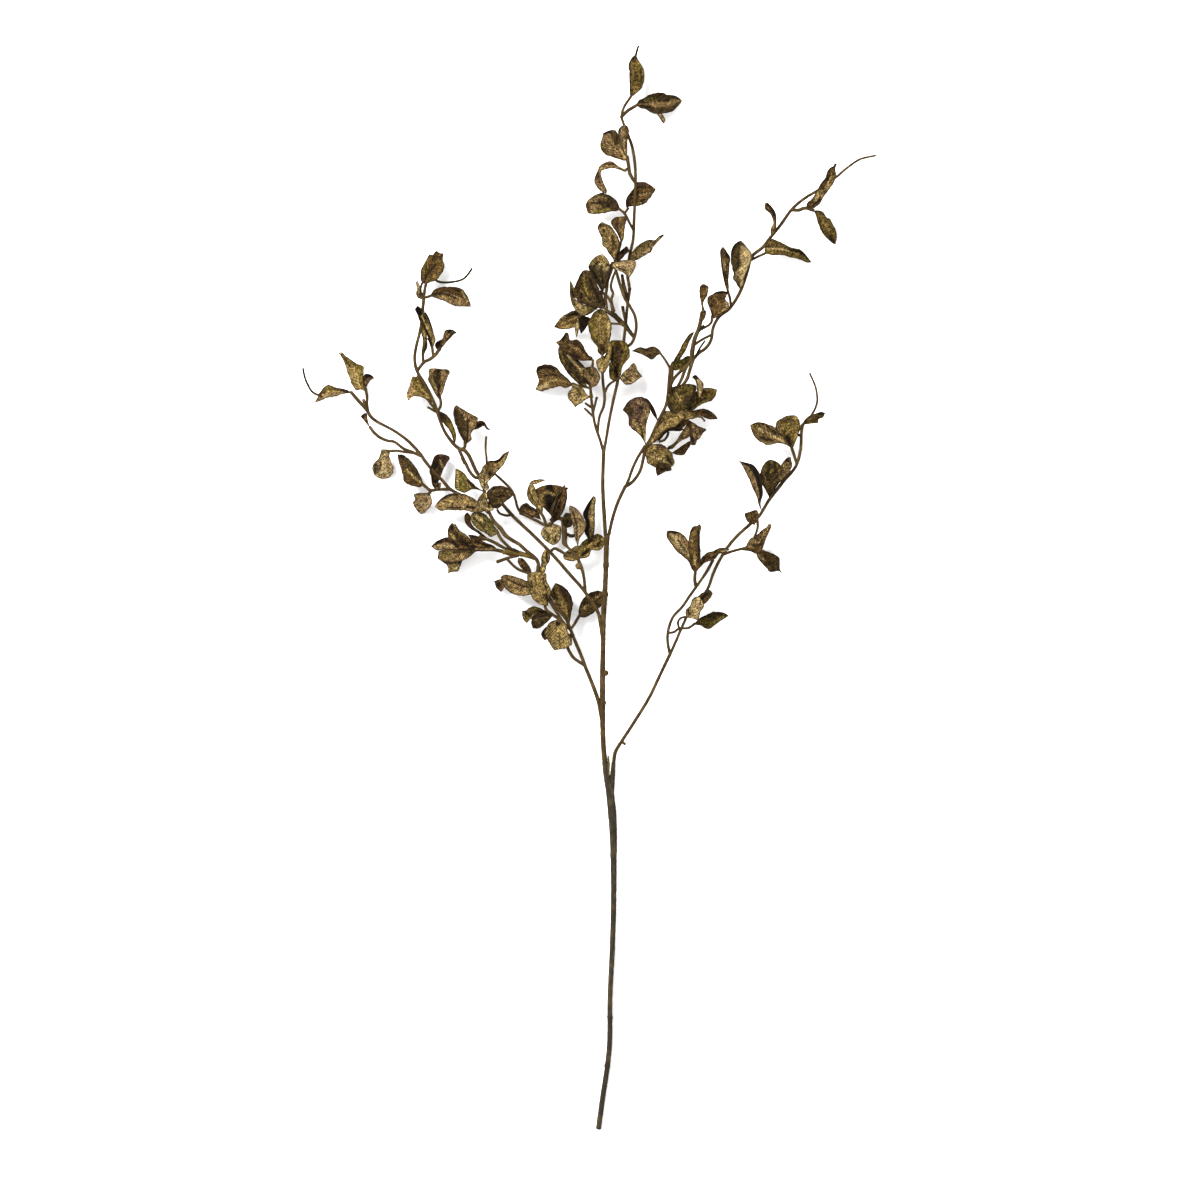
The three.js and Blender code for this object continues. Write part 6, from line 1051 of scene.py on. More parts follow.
@dataclass(frozen=True)
class RightBranch(LeafyBranch):
    """The leafy branch on the fork's right prong."""

    node: str = "right_branch"
    wires: tuple[Wire | Knob, ...] = (
        Wire(((613.8, 761.3, 14.6, 3.2), (615.5, 752, 15, 3), (622, 741, 15.6, 2.9), (633, 724, 16.6, 2.8),
            (649, 698, 18, 2.8), (660, 675, 19.4, 2.8), (670.5, 653, 20.6, 3))),
        Wire(((622, 741.5, 15.6, 2), (625.2, 744.5, 16.8, 2.2))),
        Wire(((670, 654.5, 20.6, 2.6), (667.6, 642, 21, 2.4), (668.3, 630, 21.4, 2.4), (673, 617, 22, 2.4),
            (682, 607, 22, 2.4), (691, 594, 22, 2.4), (701, 580, 22, 2.4), (707, 571, 22, 2.4),
            (713, 560, 22, 2.4))),
        Wire(((669.8, 654.5, 20.6, 2.6), (676, 641, 19.6, 2.4), (681.5, 628, 19, 2.4),
            (690, 611, 18.6, 2.2), (707, 590, 19, 2.4), (713, 574, 20, 2.4), (718, 563, 21, 2.6),
            (727, 548, 21.4, 2.8), (737, 536, 21.4, 2.8), (748, 526, 21.2, 2.8), (759, 516, 20.6, 2.8),
            (769, 500, 20, 2.8), (783, 482, 19, 2.8), (796, 466, 18, 2.6), (800.5, 450, 17, 2.4),
            (803, 425, 16, 2.2), (811, 416, 15, 1.9), (817, 403, 14, 1.7), (816, 388, 13, 1.6),
            (810, 373, 12, 1.5))),
        Wire(((668.4, 633, 21.4, 2), (674, 632, 20.5, 2), (679, 628.5, 20, 2), (688, 628, 19, 2),
            (695, 623.5, 18, 2))),
        Wire(((679, 628.5, 20, 1.8), (678, 622, 22, 1.8), (681, 618, 23, 1.8), (689, 616.5, 23, 1.8))),
        Wire(((696, 588, 22, 2.6), (694.7, 580, 23, 3), (695.5, 569, 23, 2.4))),
        Wire(((723, 554.5, 21.2, 2.4), (733, 551, 20, 2.2), (741, 549, 18, 2.2), (747.5, 547, 16, 2.2))),
        Wire(((741, 549, 18, 2), (750, 550, 14, 2), (759, 552.5, 10, 2))),
        Wire(((757, 517.5, 20.8, 2.4), (757.5, 528, 20, 2), (754, 538, 18, 1.8))),
        Wire(((757, 517, 20.8, 2.2), (753.5, 524.5, 20.8, 2))),
        Wire(((797, 464.5, 18, 2.4), (794, 455, 19, 2.4), (791, 446, 20, 2.4))),
        Wire(((802, 436, 16.6, 2), (797.5, 434, 17, 2), (800.5, 427, 17, 2), (804, 423, 16, 2))),
    )
    leaves: tuple[Leaf, ...] = (
        # Leaves, from the lowest to the highest
        Leaf((693.5, 624.5, 18), (729.2, 616, 7), 16, Tone.DARK_OLIVE, Tone.OLIVE, left=(697, 620.5,
            700.5, 617.5, 706, 615, 711, 612.5, 717, 611.7, 723, 612.3, 727, 614), right=(697, 624.9,
            701, 625.5, 704.5, 628, 709, 629, 713, 626.5, 719, 622, 725, 618.5),
            marks=(Mark((703, 617, 714, 614, 722, 614), 3, Tone.DARK_BROWN),
            Mark((703, 624, 713, 623, 722, 618), 2.8, Tone.GREEN_OLIVE))),
        Leaf((687, 617.5, 23), (699.5, 597, 27), 13, Tone.BEIGE, Tone.PINK_TAUPE, left=(685.3, 614.5,
            685.5, 610, 689.5, 605.5, 692, 599.5, 695.5, 596.5), right=(694, 619, 698, 620, 700, 613,
            703.8, 605.5, 701.5, 600.5), marks=(Mark((693, 603, 696, 612), 4.4, Tone.BEIGE),
            Mark((688, 610, 690, 615), 2, Tone.DARK_BROWN))),
        Leaf((689.8, 611.8, 18.6), (713, 593.3, 14), 10, Tone.BROWN, Tone.DARK_BROWN, roll=30,
            left=(694, 603.5, 697.5, 596.5, 703, 592.3, 707.5, 589.5, 710.5, 590.3), right=(697, 606.5,
            704.5, 604, 709, 600, 711.5, 596.5), marks=(Mark((700, 600, 706, 594), 3, Tone.PAINTED_HOLLOW_SHADE),)),
        Leaf((695.3, 573, 23), (667.3, 530.3, 12), 15, Tone.TAUPE, Tone.BEIGE, Side.MIDRIB,
            left=(691.5, 569, 688.5, 562, 683.5, 557, 676.5, 551.5, 671, 544, 667, 538, 666.3, 533.5),
            right=(694, 563, 692, 552, 688.5, 542, 684, 535.5, 679, 532, 673, 530.5),
            marks=(Mark((671, 541, 678, 547, 684, 553), 2.2, Tone.BEIGE),
            Mark((668, 532, 678, 532.5), 2.6, Tone.PAINTED_HOLLOW_SHADE),
            Mark((678, 540, 687, 553), 2, Tone.DARK_BROWN))),
        Leaf((695.5, 573, 23), (699, 523.8, 28), 11, Tone.BROWN, Tone.OLIVE, roll=-25, left=(691, 565,
            689.3, 555, 688, 545, 688.5, 538, 690.5, 530, 693, 526.5, 697, 526), right=(699.5, 567,
            700.2, 555, 699.7, 545, 699.7, 535, 701, 526.5),
            marks=(Mark((698.3, 530, 698.5, 546, 698.3, 562), 2, Tone.PAINTED_HOLLOW_SHADE),
            Mark((694, 555, 695, 564), 3, Tone.STRAW), Mark((692, 532, 692, 546), 2, Tone.TAUPE))),
        Leaf((696, 571.5, 23), (730, 549.8, 32), 9, Tone.BROWN, Tone.TAUPE, roll=20, left=(699, 563,
            702.5, 556.5, 707, 552.8, 713, 551.2, 718, 548.5, 724, 547.8), right=(700.5, 567, 704.5, 563,
            710, 561, 715.5, 558.5, 718.5, 554.5, 724, 552.5), marks=(Mark((714, 557), 3.6, Tone.PAINTED_HOLLOW_SHADE),
            Mark((703, 557.5), 3, Tone.DARK_BROWN), Mark((721, 551.5, 726, 550.5), 2, Tone.BEIGE))),
        Leaf((746, 548, 16), (771.5, 524.3, 12), 14, Tone.TAUPE, Tone.BROWN, Side.RIGHT, left=(746.5, 545,
            750, 539, 756, 535.5, 762, 530, 767, 526.5, 768.5, 524), right=(750, 550.5, 755, 553.5,
            761, 552, 763.5, 547, 765.5, 540, 768.5, 533.5, 771, 527.5),
            marks=(Mark((757, 541, 764, 535), 2.4, Tone.TAUPE),
            Mark((753, 546, 762, 544), 2.4, Tone.DARK_BROWN))),
        Leaf((756, 551, 11), (785, 575.7, -9), 17, Tone.DARK_OLIVE, Tone.BROWN, Side.BASE, roll=0, fold=4,
            wave=0.5, curl=0, left=(761, 549.5, 766, 551, 772, 553, 777, 555.5, 779.8, 557.5, 780.2, 563,
            780.5, 569), right=(758, 558, 762, 563, 767, 568.5, 770.5, 572, 775, 571.5, 779, 571),
            marks=(Mark((757, 554, 764, 559.5), 2.4, Tone.BEIGE),
            Mark((765, 556, 775, 565), 1.8, Tone.DARK_BROWN))),
        Leaf((754, 524.5, 20.8), (744.3, 513.5, 26), 11, Tone.BROWN, Tone.TAUPE, left=(750, 524, 746.5, 521,
            744.6, 517), right=(757.5, 520, 758.3, 513, 756.5, 510, 750, 511.5),
            marks=(Mark((754, 511.5), 4, Tone.DARK_BROWN),)),
        Leaf((761.5, 511, 20.4), (737.7, 460.7, 25), 13, Tone.TAUPE, Tone.PAINTED_HOLLOW_SHADE, Side.RIGHT, roll=-35,
            left=(758.5, 505, 756.5, 497, 752.5, 489, 749, 480, 744, 470, 740, 463), right=(760.5, 503,
            762.5, 495, 761.8, 487, 760.5, 479, 758, 472, 753, 465.5, 746, 463),
            marks=(Mark((749, 464, 755, 469, 759, 479, 761, 490, 760, 500), 3, Tone.PAINTED_HOLLOW_SHADE),
            Mark((746, 470, 752, 484), 2, Tone.TAUPE))),
        Leaf((769.5, 498, 20), (770.5, 460, 28), 18, Tone.DARK_OLIVE, Tone.OLIVE, fold=20, left=(765, 490,
            761.5, 484, 759.5, 477, 761, 469, 764, 463.5, 768, 460.3), right=(774, 488, 777, 480, 781, 471,
            780, 465.5, 775.5, 461.5), marks=(Mark((763, 470, 766, 484), 2.4, Tone.TAUPE),
            Mark((775, 464, 776, 478), 2.4, Tone.DARK_BROWN))),
        Leaf((771.5, 496, 20), (790.5, 457.5, 24), 13, Tone.TAUPE, Tone.BROWN, roll=20, left=(771.5, 487,
            773, 478, 777, 470, 781, 464.5, 785, 459.5, 788, 457.5), right=(774.5, 490, 779.5, 483,
            785, 478, 789.5, 472, 792, 466, 791, 460),
            marks=(Mark((774, 489, 780, 482, 787, 476), 2.2, Tone.PAINTED_HOLLOW_SHADE),
            Mark((786, 473), 4, Tone.PURPLE_BROWN), Mark((786, 460, 790, 462), 3.4, Tone.DARK_BROWN),
            Mark((777, 474, 783, 466), 2.4, Tone.STRAW))),
        Leaf((791.5, 448, 20), (749.8, 425.3, 24), 20, Tone.TAUPE, Tone.OLIVE, left=(786, 445, 780, 443.5,
            775, 443.7, 769.5, 445.4, 763, 444.3, 757.5, 441, 753.5, 436, 751, 430.5), right=(787, 441,
            781, 434, 775, 428.5, 769, 425, 763, 422.8, 755, 423),
            marks=(Mark((757, 428, 770, 434, 784, 443), 2, Tone.BEIGE),
            Mark((760, 438, 772, 441), 3, Tone.DARK_BROWN),
            Mark((766, 426, 776, 433), 2, Tone.DARK_BROWN))),
        Leaf((792.5, 449, 20), (795, 414.8, 9), 23, Tone.OLIVE, Tone.TAN, left=(789.5, 446.5, 784, 444,
            778, 440, 774.5, 434, 775, 427, 777, 421.5, 782, 418, 787, 415.5), right=(795, 443, 797, 438,
            798.5, 433, 800, 427, 799.7, 421, 797.5, 416.5),
            marks=(Mark((787, 437, 790, 444), 5, Tone.PAINTED_HOLLOW_SHADE, 0.8),
            Mark((778.5, 426, 780, 434), 3, Tone.STRAW), Mark((787, 419, 794, 421), 3, Tone.DARK_BROWN))),
        Leaf((802.5, 424.5, 16), (825.8, 412.5, 5), 9, Tone.OLIVE, Tone.BROWN, left=(804.5, 420, 808, 416.5,
            813, 414.5, 818, 412.5, 822, 411.5), right=(808, 424, 813, 423.5, 818, 422.5, 819, 419,
            823.5, 417), marks=(Mark((820, 413.5, 825, 413), 2.8, Tone.PAINTED_HOLLOW_SHADE),
            Mark((808, 419, 816, 417.5), 2, Tone.TAUPE))),
    )


@dataclass(frozen=True)
class LowerLeftBranch(LeafyBranch):
    """The leafy branch from the lower left of the main stem, with the left leaf cluster."""

    node: str = "lower_left_branch"
    wires: tuple[Wire | Knob, ...] = (
        Wire(((601.6, 721, 17.2, 2.6), (600.2, 711, 17.4, 3.2), (598.2, 700.5, 17.6, 3.5),
            (594.4, 689.5, 18, 3.4), (589.9, 678, 18.6, 3.2), (585.4, 667, 19.2, 3),
            (581.8, 657, 19.8, 2.8), (575.5, 642, 20.8, 2.8), (570.3, 629, 21.4, 2.8),
            (566.5, 620, 22, 2.4), (559.4, 611, 23, 2.4), (550, 598, 24, 2.4), (545, 588, 25, 2.6),
            (540, 578, 26, 2.8), (538, 570, 26.4, 3.2), (538.5, 564, 26.6, 3.2), (536, 559, 26.6, 3.2),
            (526, 550.3, 26.6, 3), (518.7, 544, 26.6, 3), (511, 539.5, 26.6, 3.2), (505.3, 535, 26.6, 3.6),
            (501, 529, 26.6, 3.6), (494.5, 522, 26.6, 2.8), (490.5, 515, 26.6, 2.6),
            (486.5, 505, 26.4, 2.6), (484.5, 492, 25.2, 2.6), (483.5, 481, 24.4, 2.6))),
        Wire(((570.5, 630, 21.4, 2.4), (566, 625.5, 22.6, 2.2), (556.7, 612.5, 24, 2.2),
            (548, 598, 25, 2.2))),
        Wire(((584.4, 665, 19.2, 2.8), (578, 661.2, 19, 2.6), (572.8, 657, 18.4, 2.6),
            (566.6, 646, 17.6, 2.6))),
        Wire(((570.6, 629, 21.2, 2.2), (573.5, 625.5, 18, 2.2), (576.5, 620.5, 14, 2.4),
            (580, 614.5, 10, 2.4))),
        Wire(((564.5, 627, 22.4, 2.2), (560, 620, 22.4, 2.4), (549.5, 612.5, 23, 2.6),
            (545.7, 608.5, 23.6, 2.4), (545, 600, 24.4, 2.4))),
        Wire(((536, 559, 26.4, 3), (526, 555.7, 25, 3), (519, 554.4, 24, 3), (509.8, 554, 23, 3),
            (500.8, 551, 22, 3), (487, 549, 21, 3), (477, 549.5, 20, 2.6))),
        Wire(((503, 553, 23.4, 2.6), (510, 551.4, 24.4, 4.6), (520, 553.6, 25, 4.8), (530, 556.4, 26, 3.8)),
            Tone.OLIVE, 0.35),
        Wire(((508.6, 548.6, 25.6, 2.2), (514, 550.4, 26, 3.4), (519.6, 552.6, 26, 2.6)), Tone.DARK_WIRE),
        Wire(((519.6, 554, 24, 2.6), (505.3, 548.5, 24.4, 2.6), (491.8, 541.3, 24.8, 2.6),
            (479, 536.5, 24.6, 2.4))),
        Wire(((519, 554, 24.4, 2.6), (510.7, 548.5, 25, 2.4), (500.8, 538.5, 26, 2.4),
            (496.5, 530, 26.6, 2.4))),
        Wire(((518.5, 555.5, 24, 2.4), (509.8, 557.5, 23, 2.4), (497, 562, 21, 2.8))),
        Wire(((506.2, 558, 22.8, 2.2), (514.3, 566.4, 22, 2.2), (519.6, 570, 22, 2.2), (531, 574, 24, 2.4),
            (541, 579, 25.6, 2.2))),
        Wire(((484.3, 489, 25, 2.2), (486, 479, 28, 2.2), (487, 469, 29, 2.2), (486.8, 458, 30, 1.8),
            (485.9, 451, 31, 1.6), (486.4, 437, 33, 1.5))),
    )
    leaves: tuple[Leaf, ...] = (
        # Strap at the foot of the large cluster
        Leaf((499, 551.6, 23), (468, 545, 21.6), 11, Tone.BROWN, Tone.PAINTED_HOLLOW_SHADE, Side.LEFT, roll=4,
            left=(492, 551.4, 484, 551.4, 476, 551.4, 471, 549), right=(494, 546, 488, 543.4, 480, 540,
            473, 538.4), marks=(Mark((492, 549.4, 476, 549.4), 2, Tone.TAUPE),
            Mark((490, 546, 476, 542), 1.8, Tone.PAINTED_HOLLOW_SHADE))),
        # Leaves below the cluster
        Leaf((578.5, 617, 11), (606, 593, 4), 22, Tone.DARK_OLIVE, Tone.BROWN, roll=0, fold=4,
            left=(579, 608, 583, 598.5, 590, 592.8, 598, 590.5), right=(585, 617.5, 592, 614, 599, 608,
            604.5, 600.5), marks=(Mark((584, 608, 592, 600, 600, 595), 2, Tone.TAUPE),
            Mark((590, 596, 598, 592.5), 2.4, Tone.DARK_BROWN))),
        Leaf((569.5, 624, 21), (555.5, 582.8, 12), 20, Tone.OLIVE, Tone.DARK_BROWN, Side.RIGHT,
            left=(562, 612, 555, 602, 550, 594, 552.5, 588), right=(571.5, 612, 573, 603, 570, 594,
            563.5, 586.5), marks=(Mark((558, 592, 562, 604, 566, 614), 1.8, Tone.TAUPE),
            Mark((553, 590, 557, 600), 2.4, Tone.DARK_BROWN))),
        Leaf((559, 619.5, 22), (554.5, 650.7, 14), 24, Tone.TAN, Tone.STRAW, left=(566, 624, 568, 631,
            570, 636.5, 572, 643, 567, 648, 560, 649.3), right=(551, 621.5, 546.5, 627.5, 545.5, 636,
            549, 642.5, 552, 647.5), marks=(Mark((551, 632, 555, 640, 557, 648), 1.8, Tone.BEIGE),
            Mark((563, 628, 565, 640), 1.8, Tone.BEIGE), Mark((558, 624), 6, Tone.PAINTED_HOLLOW_SHADE, 1),
            Mark((559, 632, 560, 646), 1.8, Tone.BROWN))),
        Leaf((554, 624, 20.6), (543.8, 640, 14), 7, Tone.DARK_BROWN, left=(549, 630, 547.5, 636, 546, 640),
            right=(546, 627, 542.5, 631, 541.2, 635)),
        Leaf((567, 646, 17.6), (570.5, 633.5, 21), 9, Tone.BROWN, left=(564, 643, 565, 638, 568, 634.5),
            right=(571.5, 645, 572, 640, 571.5, 636)),
        Leaf((556, 616, 23), (521.7, 610.5, 17), 13, Tone.OLIVE, Tone.TAUPE, left=(549, 616, 541, 612.5,
            534.5, 615, 530, 620, 526.5, 623.3, 523.5, 617), right=(551, 613.5, 545, 610.5, 540, 608,
            534.5, 606.4, 529, 607.8, 526, 610.3), marks=(Mark((532, 619, 536, 612.5), 2.4, Tone.STRAW),
            Mark((526, 612, 530, 616), 3, Tone.PAINTED_HOLLOW_SHADE), Mark((540, 611, 549, 614.5), 2, Tone.DARK_BROWN))),
        Leaf((548, 612.5, 23), (531, 619.5, 14), 10, Tone.OLIVE, Tone.BROWN, left=(541, 615, 536, 616.3),
            right=(541, 611.8, 535.5, 612.8)),
        Leaf((522.8, 611, 18.4), (524.5, 621.5, 15), 5, Tone.STRAW, roll=40, left=(524.8, 615, 525.5, 619),
            right=(521.9, 614, 522.8, 618.5)),
        Leaf((553, 615.5, 22.6), (532.5, 628.5, 8), 13, Tone.DARK_OLIVE, Tone.BROWN, left=(548, 621.5,
            543.5, 625.5, 538, 628.6), right=(547, 613.5, 540, 613.5, 534, 616.5, 531, 621.5),
            marks=(Mark((535, 620, 547, 617), 2, Tone.TAUPE),
            Mark((537, 626, 545, 622), 2, Tone.DARK_BROWN))),
        Leaf((548, 606, 24.6), (536, 572.5, 28), 22, Tone.TAN, Tone.OLIVE, left=(540, 604.3, 535, 601,
            531.5, 596.5, 529, 590, 528, 583, 528, 573.5), right=(548.8, 600, 551, 591, 548.5, 584,
            546.5, 580, 546.3, 573.5), marks=(Mark((532, 577.5, 533, 583), 4, Tone.STRAW),
            Mark((547, 594, 548, 601), 3, Tone.PAINTED_HOLLOW_SHADE), Mark((538, 586, 542, 598), 2, Tone.TAUPE),
            Mark((543, 578, 546, 588), 2, Tone.DARK_BROWN))),
        Leaf((539, 596, 25), (536, 571, 25), 14, Tone.TAN, Tone.BEIGE, left=(534, 591, 531, 584,
            531.5, 575), right=(541, 590, 541.5, 582, 540, 574)),
        Leaf((541.5, 575.5, 26), (544.5, 549.8, 27), 8, Tone.TAN, Tone.BROWN, Side.RIM, roll=-20,
            left=(539.3, 571, 541.2, 564, 541.5, 556), right=(545.5, 571, 546.5, 566, 549.5, 562,
            550.3, 556, 547.5, 551.5), marks=(Mark((543.5, 555, 543.5, 570), 2.8, Tone.STRAW),
            Mark((541.2, 555.5), 2.4, Tone.BEIGE), Mark((546.5, 553, 547.5, 562), 2.4, Tone.PAINTED_HOLLOW_SHADE),
            Mark((545.5, 573.5), 3.4, Tone.PAINTED_HOLLOW_SHADE))),
        Leaf((531.5, 574.3, 24.2), (518.3, 558, 20), 9, Tone.BROWN, left=(526, 571.5, 521, 567.5,
            517.8, 562.5), right=(531, 569.5, 526.5, 562, 522.5, 558.3)),
        Leaf((545.6, 590, 25), (500, 577, 8), 20, Tone.TAUPE, Tone.BROWN, left=(536, 594.5, 529, 595,
            523, 596, 515, 594.5, 507, 590.5, 503, 584), right=(538, 583, 527, 581, 519, 577.5, 510, 575,
            504, 574.5), marks=(Mark((507, 579, 522, 586, 540, 589), 1.8, Tone.DARK_BROWN),
            Mark((510, 577.5, 524, 582.5), 3, Tone.TAUPE), Mark((515, 591, 530, 592), 2.4, Tone.TAN))),
        Leaf((505, 584.5, 12), (493.7, 581.3, 4), 12, Tone.BROWN, Tone.DARK_BROWN, left=(503.5, 588.5,
            501, 591.5, 496.5, 588.5), right=(501, 579, 498, 579.5),
            marks=(Mark((499, 584), 5, Tone.PAINTED_HOLLOW_SHADE),)),
        # Leaves of the far cluster
        Leaf((482, 550, 20), (447, 573.3, -5), 24, Tone.TAN, Tone.BROWN, roll=0, fold=6, curl=0,
            left=(474, 552.3, 468.5, 555.7, 463, 560.5, 460.3, 565, 457.8, 571, 452, 571.8),
            right=(465, 550, 452, 549, 440, 551, 437, 557, 439, 560, 444.5, 562, 447.5, 568),
            marks=(Mark((442, 562.5, 452, 562, 461, 562), 2, Tone.PAINTED_HOLLOW_SHADE),
            Mark((449, 567, 456, 567), 4, Tone.BEIGE), Mark((441, 554, 452, 553.5), 3.4, Tone.TAN),
            Mark((452, 556, 464, 554), 2, Tone.DARK_BROWN))),
        Leaf((480, 549, 20.6), (430.5, 546.5, 3), 16, Tone.TAUPE, Tone.DARK_BROWN, Side.RIGHT,
            left=(470, 550, 455, 550.5, 442, 549.5, 436, 550), right=(472, 545, 460, 541, 447, 537,
            441, 538.7, 435.5, 541.5), marks=(Mark((431, 546, 436, 542, 441, 540.5), 2.4, Tone.PAINTED_HOLLOW_SHADE),
            Mark((441, 545.5, 455, 546.5), 2, Tone.BEIGE))),
        Leaf((475, 550.5, 19), (437, 558.5, 2), 15, Tone.TAUPE, Tone.TAN),
        Leaf((481, 547.5, 22), (452, 522.8, 15), 17, Tone.BROWN, Tone.DARK_BROWN, Side.MIDRIB,
            left=(470, 549, 460, 548.8, 454, 545.5, 449.3, 540, 447.7, 533, 448.7, 526.5),
            right=(476, 541.5, 471, 539.5, 466, 534.7, 460.5, 531.5, 456.3, 525.5),
            marks=(Mark((452, 541, 457, 547.5), 4, Tone.PAINTED_HOLLOW_SHADE, 0.6),
            Mark((462, 541, 470, 546.5), 4, Tone.PAINTED_HOLLOW_SHADE, 0.6),
            Mark((454.5, 524, 460, 532, 467, 537), 2, Tone.STRAW), Mark((451.5, 527.5), 4, Tone.PAINTED_HOLLOW_SHADE),
            Mark((450.5, 533, 455, 540), 2.4, Tone.TAN))),
        Leaf((472, 540.5, 21), (455, 523.5, 21), 5, Tone.STRAW, roll=40, left=(463, 536, 457, 530),
            right=(466, 534.5, 459.5, 530)),
        # A dark brown leaf, whose dark tone also paints the shadow among the leaves of the cluster.
        Leaf((487, 540.5, 24.6), (468, 534.5, 20), 8, Tone.DARK_BROWN, left=(478, 541, 471, 539),
            right=(480, 537, 473, 535)),
        Leaf((491, 541, 24.6), (467.5, 512.5, 18), 8, Tone.DARK_BROWN, Tone.BROWN, left=(483, 537,
            477, 532.5, 471, 529, 466, 524, 464.4, 518, 465.5, 514), right=(486, 536.5, 480, 531.5,
            474.5, 527.5, 471, 522, 470.5, 516)),
        Leaf((497.5, 534, 26.4), (473, 512.5, 22), 15, Tone.GREY_OLIVE, Tone.OLIVE, left=(491, 537,
            486, 533.5, 480, 530.5, 474.5, 526.5, 471.5, 521, 470.8, 515.8), right=(497, 529.5, 494, 525,
            490, 519, 484.5, 514, 479, 512), marks=(Mark((476, 515, 482, 520.5), 2.4, Tone.BEIGE),
            Mark((486, 517, 493, 527), 4, Tone.GREEN_OLIVE), Mark((474, 518, 484, 528), 1.6, Tone.PAINTED_HOLLOW_SHADE))),
        Leaf((488.4, 510, 26.5), (434.8, 506.5, 18), 18, Tone.TAUPE, Tone.TAN, roll=4, fold=6,
            left=(480, 512.5, 472, 512, 465, 510.3, 456, 510.7, 448, 510, 441, 511), right=(480, 503.5,
            473, 498, 463, 493.7, 453, 493, 446, 495.5, 439, 500.5),
            marks=(Mark((445, 503, 460, 501, 475, 503.5), 4, Tone.TAN),
            Mark((458, 503, 464, 505.5), 3, Tone.PINK_TAUPE), Mark((448, 508, 461, 508), 1.8, Tone.PAINTED_HOLLOW_SHADE),
            Mark((439, 500, 448, 495.5, 458, 494.5), 2.2, Tone.PAINTED_HOLLOW_SHADE),
            Mark((467, 507, 474, 508), 2.8, Tone.PAINTED_HOLLOW_SHADE))),
        # Its dark olive base and the dark brown mark there are painted shadow near the base.
        Leaf((484, 491.5, 25.2), (455.6, 468.4, 17), 24, Tone.GREEN_OLIVE, Tone.DARK_OLIVE, Side.BASE,
            left=(473, 489.3, 465, 493, 460, 491.5, 455, 488.3, 455.2, 478), right=(477, 487, 470, 480,
            463.5, 472.5, 459, 469.7), marks=(Mark((469, 482, 478, 489.5), 6, Tone.DARK_BROWN),
            Mark((457, 474, 458, 485), 3, Tone.STRAW), Mark((463, 479, 472, 489), 1.6, Tone.TAUPE))),
        Leaf((485, 492, 27.5), (483.5, 472.5, 32), 10, Tone.BEIGE, Tone.TAN, left=(481.5, 487, 479.8, 483,
            478, 478, 480, 474), right=(489.5, 488, 488, 483, 490, 479, 488.5, 474.5),
            marks=(Mark((484, 476, 485, 488), 1.6, Tone.DARK_BROWN),)),
        Leaf((485, 491, 26.4), (487, 512, 30), 13, Tone.BEIGE, Tone.TAN, left=(488, 495, 488, 501, 492, 506,
            494, 510), right=(482, 494, 478.5, 499.5, 478, 504, 481.5, 508.5),
            marks=(Mark((482.5, 493, 485, 498), 3, Tone.GREEN_OLIVE),
            Mark((487, 499, 489.5, 508), 2, Tone.DARK_BROWN))),
        Leaf((485, 478.5, 28.4), (509.9, 450.8, 34), 14, Tone.TAUPE, Tone.BROWN, Side.LEFT, roll=5,
            left=(479.5, 475, 481.5, 471, 483, 467, 487, 463.5, 489.5, 461, 495, 461, 500, 458.5,
            503, 454.5), right=(489, 481, 493, 477.5, 497, 473, 501.5, 468, 505, 463, 508, 456.5),
            marks=(Mark((489, 461.5, 496, 461.5, 503, 457), 2, Tone.PAINTED_HOLLOW_SHADE),
            Mark((491, 474.5), 5, Tone.PAINTED_HOLLOW_SHADE, 1.2), Mark((483, 469, 486, 476), 3.4, Tone.BEIGE),
            Mark((497, 469, 505, 459), 3, Tone.TAN))),
        Leaf((489, 510, 27), (513.3, 493, 30), 19, Tone.DARK_OLIVE, Tone.BROWN, roll=4, fold=6,
            left=(488.5, 500, 487, 494, 489, 490, 493.5, 486.8, 500, 486, 506, 487.3, 510.5, 489.3),
            right=(493.5, 508.5, 498, 508.8, 502, 506.3, 505, 502.5, 509, 499.3, 512.8, 496),
            marks=(Mark((491, 492, 500, 490, 508, 491), 2, Tone.TAUPE),
            Mark((494, 507, 500, 505.5), 3, Tone.PAINTED_HOLLOW_SHADE), Mark((494, 498, 504, 496), 2, Tone.DARK_BROWN))),
    )


